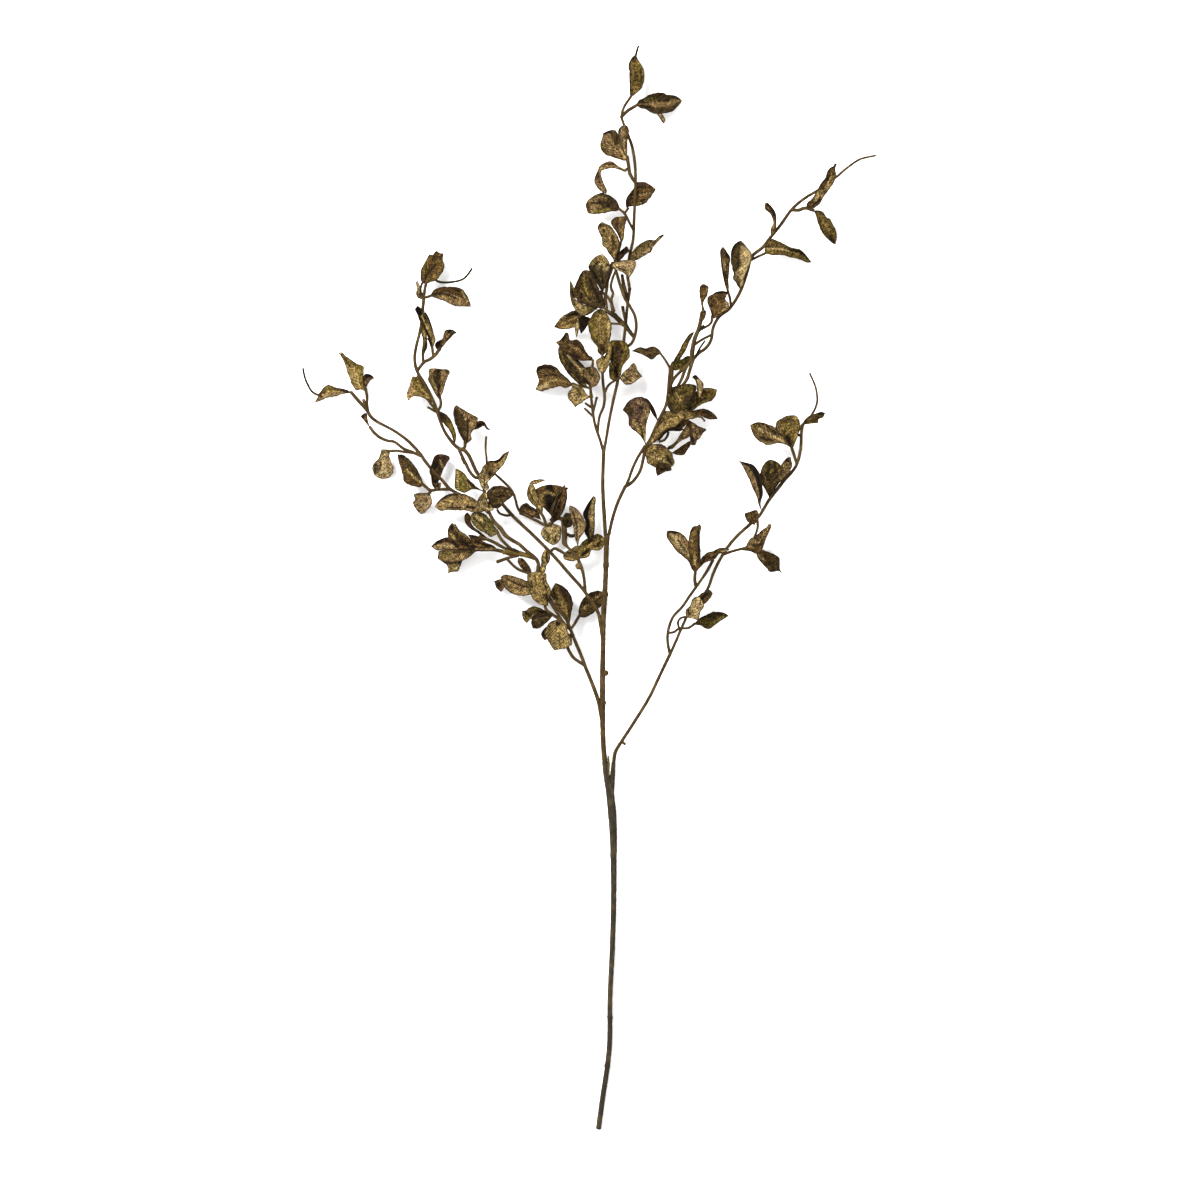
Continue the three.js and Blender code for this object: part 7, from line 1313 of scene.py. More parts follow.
@dataclass(frozen=True)
class FarLeftTwig(LeafyBranch):
    """The leafy twig from the left cluster to the far left tendril."""

    node: str = "far_left_twig"
    wires: tuple[Wire | Knob, ...] = (
        Wire(((489, 513.2, 23.2, 2.4), (482, 507, 20.6, 2.4), (472, 500, 17, 2.4), (458, 493.5, 15, 2.6),
            (450, 489, 15, 2.6), (441, 479, 15.6, 2.6), (433, 471, 16, 2.6), (425, 461, 16, 2.6),
            (421, 455, 16, 2.8), (407, 440, 16, 2.6), (392, 429.5, 15.6, 2.3), (376, 421, 15, 2.4),
            (371, 417, 15, 2.6), (366, 409, 15, 3), (360, 402.5, 14.6, 3), (356, 398, 14.2, 3),
            (350.5, 391.5, 14, 2.8))),
        Wire(((421.2, 456, 16, 2.6), (412, 452, 16.6, 2.6), (404, 448.8, 17, 2.4), (394, 441.7, 17, 2.3),
            (388, 440.8, 17, 2.4), (380, 437.5, 17, 2.6), (374, 432.5, 17, 2.6), (369.5, 426.5, 17, 2.6))),
        Wire(((414, 453, 16.4, 2), (405, 452, 16, 2), (397, 450.8, 15.6, 2), (387, 451, 15, 2.4))),
        Wire(((451.5, 489.3, 15, 2.4), (441, 489.3, 15.6, 2.4), (430, 490, 15, 2.6),
            (426.5, 487.5, 14.6, 2.4), (421, 483, 14.4, 2.4))),
        Wire(((431.5, 490, 15, 2.2), (428, 494.5, 14.4, 2.4))),
        Wire(((368, 412, 15, 2.4), (367, 404, 16, 2.4), (367, 397, 17, 2.4), (365.5, 388, 17.4, 2.4))),
        Wire(((367, 411, 15.4, 2.6), (363.3, 399.5, 19, 2.2))),
        Wire(((324, 396.6, 8, 2), (312.4, 392, 9, 1.6), (307.5, 384.5, 11, 1.6), (304.3, 376, 13, 1.5),
            (302.8, 368.2, 15, 1.5)), Tone.DARK_WIRE),
    )
    leaves: tuple[Leaf, ...] = (
        Leaf((352.5, 393, 14), (313.8, 401.7, 4), 13, Tone.TAN, Tone.BROWN, Side.RIGHT, roll=10,
            left=(347, 393.3, 341, 394.5, 335, 396.3, 328, 397.5, 322, 399.5, 318, 401.5),
            right=(347, 389.8, 341, 388, 335, 387, 331, 385, 328, 384.3, 324.5, 386, 321, 390, 318, 394,
            317, 397), marks=(Mark((322, 395, 332, 394.5, 340, 392.5), 2.4, Tone.PINK_TAUPE),
            Mark((341, 389.8, 350, 392), 2.4, Tone.PAINTED_HOLLOW_SHADE),
            Mark((325, 388.5, 331, 388), 4, Tone.GREEN_OLIVE))),
        Leaf((366, 391.8, 17.2), (338, 352.5, 8), 16, Tone.TAN, Tone.OLIVE, Side.RIGHT, left=(361, 389.5,
            356, 390.3, 353, 386.5, 350, 380, 347, 372, 344.5, 364, 341.5, 357.5), right=(364.5, 387,
            363, 380, 363.7, 373, 364, 367.5, 360.5, 364.5, 357, 363.7, 351, 359.5, 345.5, 355.5,
            341.5, 352), marks=(Mark((355, 374, 357, 381, 360.5, 388), 2.2, Tone.STRAW),
            Mark((342, 355, 350, 366), 2, Tone.DARK_BROWN),
            Mark((360, 368, 361, 378), 2.4, Tone.GREEN_OLIVE))),
        Leaf((365.6, 389, 17.4), (374.7, 378.3, 24), 9, Tone.BROWN, left=(363.5, 382, 363.5, 376,
            366.5, 374, 371, 375), right=(368.5, 384, 371.5, 380.5, 373.5, 379.3),
            marks=(Mark((366, 376, 371, 376.5), 3.4, Tone.PAINTED_HOLLOW_SHADE),)),
        Leaf((386, 449.5, 15), (382.5, 478.7, -4), 21, Tone.BEIGE, Tone.PINK_TAUPE, roll=0, fold=3, curl=0,
            left=(389.5, 450.5, 389.5, 456, 391, 462, 393, 467, 392.8, 472, 390.5, 475.5, 387, 478),
            right=(381.5, 449.5, 380, 454, 378, 458.5, 374.5, 461.5, 372, 466, 372, 471, 374.5, 475.5,
            378.5, 478), marks=(Mark((375.5, 464, 375, 471), 4, Tone.PURPLE_BROWN),
            Mark((380.5, 462, 380, 467), 2, Tone.DARK_BROWN), Mark((388, 456, 389, 470), 2.4, Tone.TAUPE))),
        Leaf((423, 485, 14.4), (397, 454.2, 8), 16, Tone.DARK_OLIVE, Tone.BROWN, Side.LEFT, roll=6,
            left=(420.5, 487, 415, 486.5, 409, 485, 404.3, 482, 402.5, 475, 400.5, 468, 398.5, 461.5),
            right=(422.5, 481, 420, 475, 416.5, 468.5, 411.5, 462, 406.5, 457, 402, 454.3),
            marks=(Mark((423, 484, 415, 478, 407, 470), 1.8, Tone.STRAW),
            Mark((404, 470, 407, 482), 3, Tone.BROWN), Mark((398, 455.5, 402, 459), 3.4, Tone.DARK_BROWN))),
        Leaf((429, 493, 14.4), (420.3, 514, -2), 18, Tone.PINK_TAUPE, Tone.BEIGE, roll=5, left=(431, 497,
            431.8, 501.5, 430.5, 506, 426.5, 510.5, 423.5, 513), right=(424, 493, 418, 493, 413.5, 494.5,
            415, 499, 412.5, 502, 414, 506.5, 417.5, 512), marks=(Mark((417, 496, 421, 498), 3.4, Tone.TAN),
            Mark((426, 500), 4.4, Tone.PURPLE_BROWN))),
        # Its dark brown is painted shadow, where the main wire crosses over it.
        Leaf((434.5, 489, 15), (442, 453.8, 6), 14, Tone.DARK_BROWN, Tone.BROWN, roll=10, left=(431.8, 484,
            431, 478, 429.3, 471, 431.5, 464, 433.8, 457, 437, 454.2), right=(438, 485, 438.5, 482,
            441.5, 474, 445.5, 465, 449.8, 457, 446.5, 454.8),
            marks=(Mark((434, 480, 438, 483), 3.4, Tone.PAINTED_HOLLOW_SHADE),
            Mark((433, 470, 437, 464.5), 3, Tone.PAINTED_HOLLOW_SHADE), Mark((440, 460, 443, 468), 2, Tone.TAUPE))),
        Leaf((434.5, 489.5, 15), (441, 482.5, 13), 6, Tone.BEIGE),
        Leaf((370, 428, 17), (363.5, 414, 19), 7, Tone.BROWN, Tone.DARK_BROWN, Side.TIP, left=(366.5, 424,
            363.5, 420, 360.7, 416.5), right=(368, 420, 367.5, 416, 366.3, 413)),
    )


@dataclass(frozen=True)
class TopLeftTwig(LeafyBranch):
    """The leafy twig from the left cluster up to the top left tendril."""

    node: str = "top_left_twig"
    wires: tuple[Wire | Knob, ...] = (
        Wire(((482.9, 479.8, 24.3, 2.6), (479, 475.5, 24, 3), (475.5, 470, 23.8, 3), (472, 462, 23.6, 3),
            (468.5, 455, 23.4, 3), (464.5, 450.5, 23.2, 3), (459.5, 448.8, 23, 3), (454.6, 445, 23, 3),
            (450, 439.6, 23, 2.8), (444.8, 431.6, 23, 2.6), (441.2, 423.5, 23, 2.6),
            (438.9, 416.3, 22.8, 2.8), (434.8, 404.6, 22.4, 2.6), (425.9, 385.8, 21.6, 2.6),
            (416.9, 370.5, 21, 2.8), (414.7, 359, 20.2, 2.6), (415.8, 349, 19.8, 2.6),
            (420.7, 327.8, 18.6, 2.6), (422.5, 311, 17.8, 2.6), (423.3, 303, 17.4, 2.8),
            (424, 294.6, 17, 2.8), (424.8, 289, 16.8, 2.6), (426.5, 281, 16, 2.2))),
        Wire(((480.5, 477.5, 24, 2.4), (475.5, 477.5, 23.4, 2.6), (470.8, 473, 23, 2.6),
            (465.5, 463, 22.8, 2.6), (462, 456, 22.8, 2.6), (458.5, 448.5, 23, 2.6))),
        Wire(((464.8, 464, 22.8, 2), (461.8, 458.5, 24, 1.6))),
        Wire(((461, 449.6, 23, 2.6), (464.7, 447.5, 22.6, 2.6), (465, 441, 22, 2.6))),
        Wire(((438, 411.5, 22.6, 2.2), (441, 405, 22, 2.2), (440.1, 397.5, 21.6, 2.2))),
        Wire(((437.5, 412.5, 22.6, 2.4), (427.7, 407.3, 23.6, 1.6))),
        Wire(((435, 408.5, 22.5, 2), (431.5, 405, 22.6, 2), (428, 399, 22.4, 2))),
        Wire(((416.9, 371.6, 21, 2.8), (420.5, 366.5, 20.6, 2.8), (424.5, 362, 20, 2.8),
            (429.5, 359.5, 19.6, 2.8), (434.9, 355.3, 19.2, 2.8), (440, 348.5, 19, 2.8))),
        Wire(((433.2, 356.5, 19.2, 2.2), (432, 347, 20, 2.2), (428.5, 338, 20.4, 2.2))),
        Wire(((423.4, 363, 20, 2), (423, 353, 20, 2.4), (425.5, 345, 19.6, 2.2))),
        Wire(((423.6, 299, 17, 2), (420.5, 290, 17, 1.8), (421.4, 285, 17, 1.8), (424.5, 279, 16.4, 1.8))),
        Wire(((424, 297.6, 17, 2.2), (427.5, 296.8, 16.6, 2.2), (432, 295, 15.6, 2.2))),
        Wire(((432, 277, 14.6, 1.6), (439.1, 281.6, 13.6, 1.6), (455.3, 281.2, 13, 1.6),
            (463.4, 278.5, 13, 1.6), (468.7, 273.1, 13.4, 1.5), (472, 268, 14, 1.5)), Tone.DARK_WIRE),
    )
    leaves: tuple[Leaf, ...] = (
        Leaf((466, 445, 22), (456.3, 404.8, 12), 24, Tone.DARK_OLIVE, Tone.TAUPE, Side.RIGHT, roll=-4,
            left=(463, 440, 459, 433, 456, 425, 454, 418, 453.3, 411, 454.3, 407), right=(468, 443,
            472, 439.5, 471, 435, 472.5, 431.5, 476, 427.5, 477.5, 422, 478.5, 418.5, 473, 415, 466, 411,
            460, 407.3), marks=(Mark((467, 418, 468, 430, 467.5, 442), 2, Tone.PAINTED_HOLLOW_SHADE),
            Mark((463.8, 414.5), 3.4, Tone.DARK_BROWN), Mark((466, 420, 464, 410), 2.2, Tone.PINK_TAUPE),
            Mark((455, 410, 457, 424, 463, 438), 2.2, Tone.DARK_BROWN),
            Mark((473, 421, 472, 429), 3, Tone.TAUPE))),
        Leaf((469, 427, 19.4), (490.8, 430.2, 10), 8, Tone.BROWN, left=(473.5, 424, 478, 421, 482, 420.2,
            485.5, 423.2, 487.5, 427), right=(474, 429.5, 479, 428.3, 484, 426.2, 486.2, 429),
            marks=(Mark((478, 426, 485, 423.5), 3, Tone.PAINTED_HOLLOW_SHADE, 0.6),)),
        Leaf((454.8, 444, 23), (439.5, 411.3, 25), 9, Tone.OLIVE, Tone.DARK_BROWN, Side.TIP, roll=30,
            left=(453.5, 441, 452, 436, 449.5, 430.5, 445, 425, 441.5, 420.5, 439.8, 415.5),
            right=(456.3, 439, 456, 433, 454, 427, 451.3, 420.5, 447.5, 415.7, 443, 412.7),
            marks=(Mark((441, 413, 445, 418.5), 4, Tone.DARK_BROWN),
            Mark((447, 423, 451, 432), 1.8, Tone.TAN))),
        Leaf((432, 403.5, 22.4), (408, 389, 10), 26, Tone.TAN, Tone.OLIVE, Side.RIGHT, left=(428.5, 402,
            425, 398.8, 419, 397, 412.5, 397.5, 409, 400.5, 406.5, 396, 406.8, 392.5), right=(432.3, 398,
            429, 389.5, 423.5, 381.5, 418.3, 374, 416, 377, 412.5, 376.3, 410.5, 382.5),
            marks=(Mark((410, 383, 412, 395), 4, Tone.PINK_TAUPE),
            Mark((418, 376, 424, 385, 430.5, 395), 2, Tone.DARK_BROWN),
            Mark((416, 386, 424, 395), 3, Tone.OLIVE))),
        Leaf((440.4, 400.5, 21.8), (441, 370.5, 27), 21, Tone.TAUPE, Tone.DARK_BROWN, Side.MIDRIB,
            left=(438, 398, 434.5, 392.5, 431, 385, 428.3, 380, 429.5, 375, 429.5, 369.8, 434, 368.9),
            right=(441.5, 396, 444, 391, 446, 383, 448.5, 377, 450.3, 371.5, 448, 369.8),
            marks=(Mark((438.5, 389), 4, Tone.PAINTED_HOLLOW_SHADE, 0.6), Mark((447.5, 372), 4, Tone.PAINTED_HOLLOW_SHADE),
            Mark((431.5, 372.5), 3.6, Tone.TAN), Mark((432, 380, 436, 389), 2.8, Tone.STRAW))),
        Leaf((440, 350.5, 19), (450.5, 328.9, 13), 13, Tone.TAUPE, Tone.PAINTED_HOLLOW_SHADE, Side.TIP, fold=40,
            left=(439.5, 347, 441.5, 341, 443.5, 335.5, 444.5, 331.5, 446.3, 329.8), right=(442.5, 347,
            446, 343, 450, 339, 454, 334.5, 457, 333, 454.5, 330.5),
            marks=(Mark((449.5, 332.5), 3.4, Tone.PAINTED_HOLLOW_SHADE, 0.6),
            Mark((446, 341, 453, 334.5), 2, Tone.DARK_BROWN))),
        Leaf((438.3, 352, 19), (442, 339.2, 15), 6, Tone.DARK_BROWN, left=(436.5, 349, 435, 345.3,
            437, 341.8), right=(439.5, 347.5, 441.3, 343)),
        Leaf((432.5, 349.5, 19.9), (417.8, 305.8, 19), 10, Tone.TAN, Tone.PAINTED_HOLLOW_SHADE, Side.TIP, fold=45,
            left=(430.5, 345, 427.8, 337, 424.5, 329.5, 420, 321.5, 417.3, 314.5, 415.2, 309.5),
            right=(434.2, 345, 435.7, 340.5, 433.5, 333, 430, 324, 426.5, 316.5, 422, 309.5),
            marks=(Mark((418, 309), 4.4, Tone.PAINTED_HOLLOW_SHADE, 1),
            Mark((425, 328, 429, 338, 432.5, 348), 2, Tone.PAINTED_HOLLOW_SHADE),
            Mark((417.3, 315, 420.5, 327), 2, Tone.BROWN), Mark((422, 316, 427, 328), 2, Tone.STRAW))),
        Leaf((432.4, 348, 20), (424.3, 310.8, 21), 6, Tone.DARK_BROWN, left=(432, 337, 428.5, 324,
            425.3, 315), right=(434, 336, 431.2, 323.5, 427.7, 315)),
        Leaf((423.4, 358, 20), (424, 325, 19.6), 6, Tone.OLIVE, Tone.TAN, left=(421.7, 354, 422.3, 347,
            423, 341, 422, 335, 420.5, 329), right=(425, 353, 427.3, 348, 427.5, 342, 426.8, 335,
            425.5, 329), marks=(Mark((426, 343, 425, 352), 2.4, Tone.PAINTED_HOLLOW_SHADE),
            Mark((424, 332, 424.5, 341), 2, Tone.TAN))),
        Leaf((422.6, 299.5, 17.2), (417.3, 280.3, 20), 5, Tone.STRAW, left=(418, 298, 416, 294, 417, 288,
            416, 283.5), right=(421.5, 297, 420.5, 292, 420, 287, 418.8, 283),
            marks=(Mark((417, 283, 418, 287), 3, Tone.BEIGE),)),
        Leaf((425.5, 284.5, 16.4), (443.5, 252.8, 6), 23, Tone.BROWN, Tone.OLIVE, left=(421.3, 281.5,
            420.2, 276, 421, 270, 424, 263.5, 427, 257, 429.3, 254.2, 432.5, 254.5, 436.2, 250.3,
            439.5, 252.5), right=(430, 282.3, 436, 280.3, 440, 275.5, 443.7, 269.5, 444.5, 265,
            442.8, 259.5), marks=(Mark((424, 281, 427, 275.5, 431, 269.5, 435.5, 264), 2, Tone.PAINTED_HOLLOW_SHADE),
            Mark((423, 272, 427, 261), 3, Tone.GREEN_OLIVE),
            Mark((433, 256, 441, 257), 2.4, Tone.DARK_BROWN))),
        Leaf((430.5, 296, 16), (470.5, 305.8, 2), 17, Tone.TAUPE, Tone.BROWN, Side.LEFT, left=(432, 292.3,
            435, 289.5, 440, 287.5, 447, 286.7, 455, 286.7, 461, 288.5, 465, 292, 468, 297, 469.5, 301.5),
            right=(433, 297, 438, 299, 444, 301, 450, 303.5, 455, 305.7, 462, 305.7, 467, 305.8),
            marks=(Mark((434, 294, 445, 293.5, 456, 298), 2, Tone.PAINTED_HOLLOW_SHADE),
            Mark((454, 289, 463, 293), 2, Tone.DARK_BROWN), Mark((462, 291.5, 467.5, 301), 2.2, Tone.STRAW),
            Mark((442, 298, 456, 302.5), 2.8, Tone.TAUPE))),
    )


@dataclass(frozen=True)
class UpperLeftBranch(LeafyBranch):
    """The leafy branch from the upper left of the main stem."""

    node: str = "upper_left_branch"
    wires: tuple[Wire | Knob, ...] = (
        Wire(((602.6, 644, 21.4, 2.2), (601.6, 633, 21.4, 2.8), (600.2, 622, 21.4, 3),
            (598.6, 614, 21.2, 2.8), (594.8, 606.5, 21, 2.8), (589, 598, 20.4, 2.8),
            (583.6, 590, 19.6, 2.8), (570, 574.5, 17.6, 2.8), (551.8, 554, 15, 2.8), (534, 536, 12.6, 2.8),
            (520.4, 523.3, 10.8, 2.8), (511.4, 514.4, 9.6, 2.8), (499, 500, 8, 2.4))),
        Wire(((585.2, 592, 19.8, 2.6), (584.6, 583, 20, 2.6), (583.2, 574, 20.4, 2.6),
            (581.6, 568, 20.8, 2.6), (577.6, 558, 21.4, 2.6))),
        Knob((579, 566, 21), 3.4, Tone.TAUPE, 1.4),
        Wire(((549.8, 552, 14.8, 2.4), (554.5, 548.5, 15.4, 2.4), (560, 551, 16.4, 2.4),
            (568, 555.5, 18.6, 2.6), (578.5, 559, 21.2, 2.6))),
        Wire(((578.5, 559, 21.4, 2.6), (573, 552, 20.2, 2.2), (568, 547.5, 19, 2.2),
            (564.6, 543, 18.4, 4.4), (564.6, 536, 18.6, 5), (564, 527, 19, 4.8), (562.4, 519.5, 19.4, 4),
            (557.5, 518.5, 19, 2.8), (547, 525, 18, 2.4), (536.2, 520.5, 16, 2.4), (529, 517, 14, 2.4),
            (520, 511.5, 12, 2.2), (517, 506, 11.6, 2), (515.5, 500, 11.4, 2), (513.3, 493.5, 11.2, 2),
            (510.5, 488.8, 11, 2), (505.7, 483.7, 10.6, 2), (493, 472, 10, 1.8))),
        Wire(((566.4, 533.5, 18.8, 2), (570.7, 536, 19, 3), (577, 535, 19.8, 2.4)), Tone.DARK_WIRE),
        Knob((552.6, 519.6, 20), 2.6, Tone.DARK_BROWN, 1.5),
        Wire(((546, 525, 18, 2.4), (543.4, 517, 19, 2.4), (537, 508, 20, 2.4))),
        Wire(((511.5, 514.7, 10, 2), (507, 515.4, 11, 1.8), (502.5, 514.6, 12, 1.8), (499, 512.8, 13, 1.8),
            (497, 509.5, 14, 1.8))),
    )
    leaves: tuple[Leaf, ...] = (
        # Leaves by the main stem
        Leaf((580, 558, 21), (563, 556, 14), 13, Tone.TAN, Tone.OLIVE, roll=5, left=(574, 561, 568, 561,
            564, 558.8), right=(583, 549, 577, 546, 570, 549.3, 564.5, 552.5),
            marks=(Mark((568, 553, 578, 552), 2, Tone.DARK_BROWN),)),
        Leaf((576, 559, 21), (604.5, 538, 12), 15, Tone.OLIVE, Tone.TAN, roll=-5, fold=5, left=(578, 548,
            584, 540.5, 591, 537, 597, 533.8, 602, 535.5), right=(582, 558.5, 588.5, 557, 591.5, 550.5,
            600, 550, 604.5, 543.5), marks=(Mark((583, 554, 588.5, 550.5), 4, Tone.PAINTED_HOLLOW_SHADE, 0.8),
            Mark((592.5, 541), 3.6, Tone.PAINTED_HOLLOW_SHADE), Mark((588, 545, 600, 540), 2, Tone.TAN))),
        Leaf((588, 549, 19), (600, 535.5, 12), 10, Tone.DARK_BROWN, roll=0, left=(588.5, 542, 593, 537.5),
            right=(594, 548, 600, 543)),
        Leaf((578, 547, 21), (570, 505.5, 24), 12, Tone.PINK_TAUPE, Tone.BEIGE, left=(575, 538, 573, 526,
            570.5, 515.5, 569, 508.5), right=(579.5, 539, 584.5, 531.5, 586, 524, 581.5, 515, 575.5, 508),
            marks=(Mark((573, 512, 577, 526, 577, 540), 2, Tone.DARK_BROWN),
            Mark((580, 520, 582, 530), 3, Tone.TAUPE))),
        Leaf((590, 545, 18), (593, 495.7, 8), 14, Tone.TAUPE, Tone.PAINTED_HOLLOW_SHADE, Side.LEFT, roll=20,
            left=(587, 537, 584.5, 532, 585.7, 523, 583, 514.5, 585.7, 507, 590, 500), right=(593, 538,
            594.5, 530, 595, 520, 595, 508.5, 595.7, 497),
            marks=(Mark((586.5, 508, 586.5, 530), 2.4, Tone.PAINTED_HOLLOW_SHADE),
            Mark((592.5, 502, 592, 530), 2.4, Tone.STRAW))),
        Leaf((566.5, 528, 19), (566, 512.8, 22), 9, Tone.DARK_OLIVE, left=(563, 525, 562.9, 517),
            right=(571.5, 526, 573, 520, 570, 513.5)),
        # Leaves of the middle cluster
        Leaf((553, 523.5, 18), (553, 545.5, 10), 20, Tone.BEIGE, Tone.TAUPE, Side.MOTTLED, left=(561, 526.5,
            561.3, 532, 560.5, 538.5, 557, 543.5), right=(549, 524.8, 543.5, 527.5, 540.3, 533, 543, 538.8,
            548.3, 543), marks=(Mark((557, 528.6), 5, Tone.STRAW),
            Mark((546, 531, 550, 539), 3, Tone.GREEN_OLIVE),
            Mark((556, 535, 555, 542), 2, Tone.DARK_BROWN))),
        Leaf((554, 521, 18.6), (549.5, 484.5, 24), 25, Tone.BROWN, Tone.PAINTED_HOLLOW_SHADE, Side.MIDRIB, cup=2,
            left=(550, 514.3, 544.3, 508.6, 538.6, 503, 536.5, 496, 535.7, 490, 541.4, 486.4),
            right=(559.5, 517, 563.5, 508, 566.5, 500, 565.7, 490, 561.4, 486.4, 555, 485),
            marks=(Mark((549, 499, 551, 509), 9, Tone.PAINTED_HOLLOW_SHADE, 1.4),
            Mark((541, 505, 541, 497, 547, 491.5, 554, 495), 2.6, Tone.TAN),
            Mark((557, 497, 560, 510), 2.4, Tone.DARK_BROWN))),
        Leaf((556, 520, 21), (566.5, 487.5, 28.6), 13, Tone.DARK_BROWN, Tone.BROWN, left=(553, 512,
            557, 500, 562, 490), right=(561.5, 515, 565.5, 506, 567.4, 496),
            marks=(Mark((562, 497, 560, 510), 2, Tone.TAUPE),)),
        Leaf((551.5, 518, 22.6), (565, 484.6, 32.6), 6, Tone.STRAW, Tone.TAN, roll=20, left=(551, 509,
            556.5, 498, 560.4, 489.4), right=(555.6, 509.6, 561, 499, 565.4, 492.4)),
        Leaf((563.4, 488.6, 31.6), (569, 488, 31), 3, Tone.BROWN, left=(566, 487.4), right=(566, 490.6)),
        Leaf((542.5, 514, 20), (531, 482, 26), 9, Tone.TAN, Tone.STRAW, left=(537, 508.6, 530.6, 502.5,
            527, 494.6, 528.4, 487), right=(543, 508, 540.4, 500, 536.4, 492, 534, 485.6),
            marks=(Mark((529.6, 492, 533, 500), 2.4, Tone.BROWN, 0.5),)),
        Leaf((529.4, 484, 25.6), (547, 480, 27), 4, Tone.TAN, Tone.BROWN, left=(532, 481, 540, 479.2),
            right=(536, 484.4, 541, 482.4)),
        Leaf((541, 520, 17), (518.7, 514, 8), 13, Tone.BROWN, Tone.DARK_BROWN, left=(534, 517.5, 528, 516.5,
            523, 515.7), right=(538, 511, 531, 506, 526, 503, 520.5, 506.5),
            marks=(Mark((524, 510, 534, 514.5), 2, Tone.TAUPE),
            Mark((527, 506, 536, 511), 2, Tone.DARK_BROWN))),
    )


@dataclass(frozen=True)
class BareStem:
    """A stem with no leaves: its wires and knobs."""

    node: str
    wires: tuple[Wire | Knob, ...]

    def build(self, finish: "TapedWire | WashedStem") -> list[bpy.types.Object]:
        """Builds and dresses the stem in place of its plain solid.

        Args:
            finish: Its finish.

        Returns:
            The stem, as one piece.
        """
        skin = Skin()
        for part in self.wires:
            part.add_to(skin)
        piece = skin.to_object(f"{self.node}_coated", finish.material())
        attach(piece, "root")
        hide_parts(self.node)
        return [piece]


@dataclass(frozen=True)
class LowerStem(BareStem):
    """The dark lower stem, which forks into two prongs."""

    node: str = "lower_stem"
    wires: tuple[Wire | Knob, ...] = (
        Wire(((598.5, 1130, 2.2, 4.6), (602.5, 1100, 2.2, 4.6), (607, 1070, 2.2, 4.7),
            (609.5, 1045, 2.6, 4.5), (610, 1000, 4, 4.4), (612.5, 945, 6, 4.8), (613.7, 900, 8, 5),
            (613.6, 860, 10, 5.8), (613.3, 835, 11, 7), (612, 812, 12, 8), (609.5, 790, 13, 7.4),
            (606.5, 775, 14, 6), (604.8, 761, 15, 5.2)), Tone.STEM, 0.25),
        Wire(((611.2, 797, 12.6, 5), (612.4, 778, 13.6, 4.6), (613.6, 762.3, 14.4, 3.6)), Tone.STEM, 0.25),
        Wire(((608.5, 776, 15.8, 1.6), (608.7, 764, 16.4, 1.8), (608.2, 756, 16.8, 1)), Tone.GREEN_OLIVE,
            0.3),
        Wire(((610.1, 1017, 3.4, 5.2), (609.9, 1019.4, 3.3, 5.2)), Tone.STEM, 0.3),
        Wire(((607.3, 1066, 2.9, 5.3), (607.1, 1068.4, 2.9, 5.3)), Tone.STEM, 0.3),
    )


@dataclass(frozen=True)
class MainStem(BareStem):
    """The ochre main stem, from the left prong up to where it divides."""

    node: str = "main_stem"
    wires: tuple[Wire | Knob, ...] = (
        Wire(((604.7, 760.3, 15, 5), (603.8, 750, 15.4, 4.6), (602.8, 730, 16.2, 4.6),
            (602.5, 700, 17.4, 5), (602.5, 680, 18, 5), (603, 650, 19, 4.5), (603.8, 610, 21, 4.5),
            (604.8, 595, 21.6, 5), (605.7, 575, 22.4, 4.4), (606.5, 545, 23.6, 4.6), (607, 536, 24, 5.4)),
            lumps=0.3),
        Wire(((606, 567, 22.6, 5.6), (606.1, 563, 22.8, 5.6)), lumps=0.3),
        Wire(((605.2, 592.6, 21.7, 6), (605.1, 596, 21.6, 6)), lumps=0.3),
        Wire(((603, 701.5, 17.6, 5.8), (603, 704, 17.5, 5.8)), lumps=0.3),
        Knob((605.6, 673, 18.6), 3, Tone.BROWN),
    )


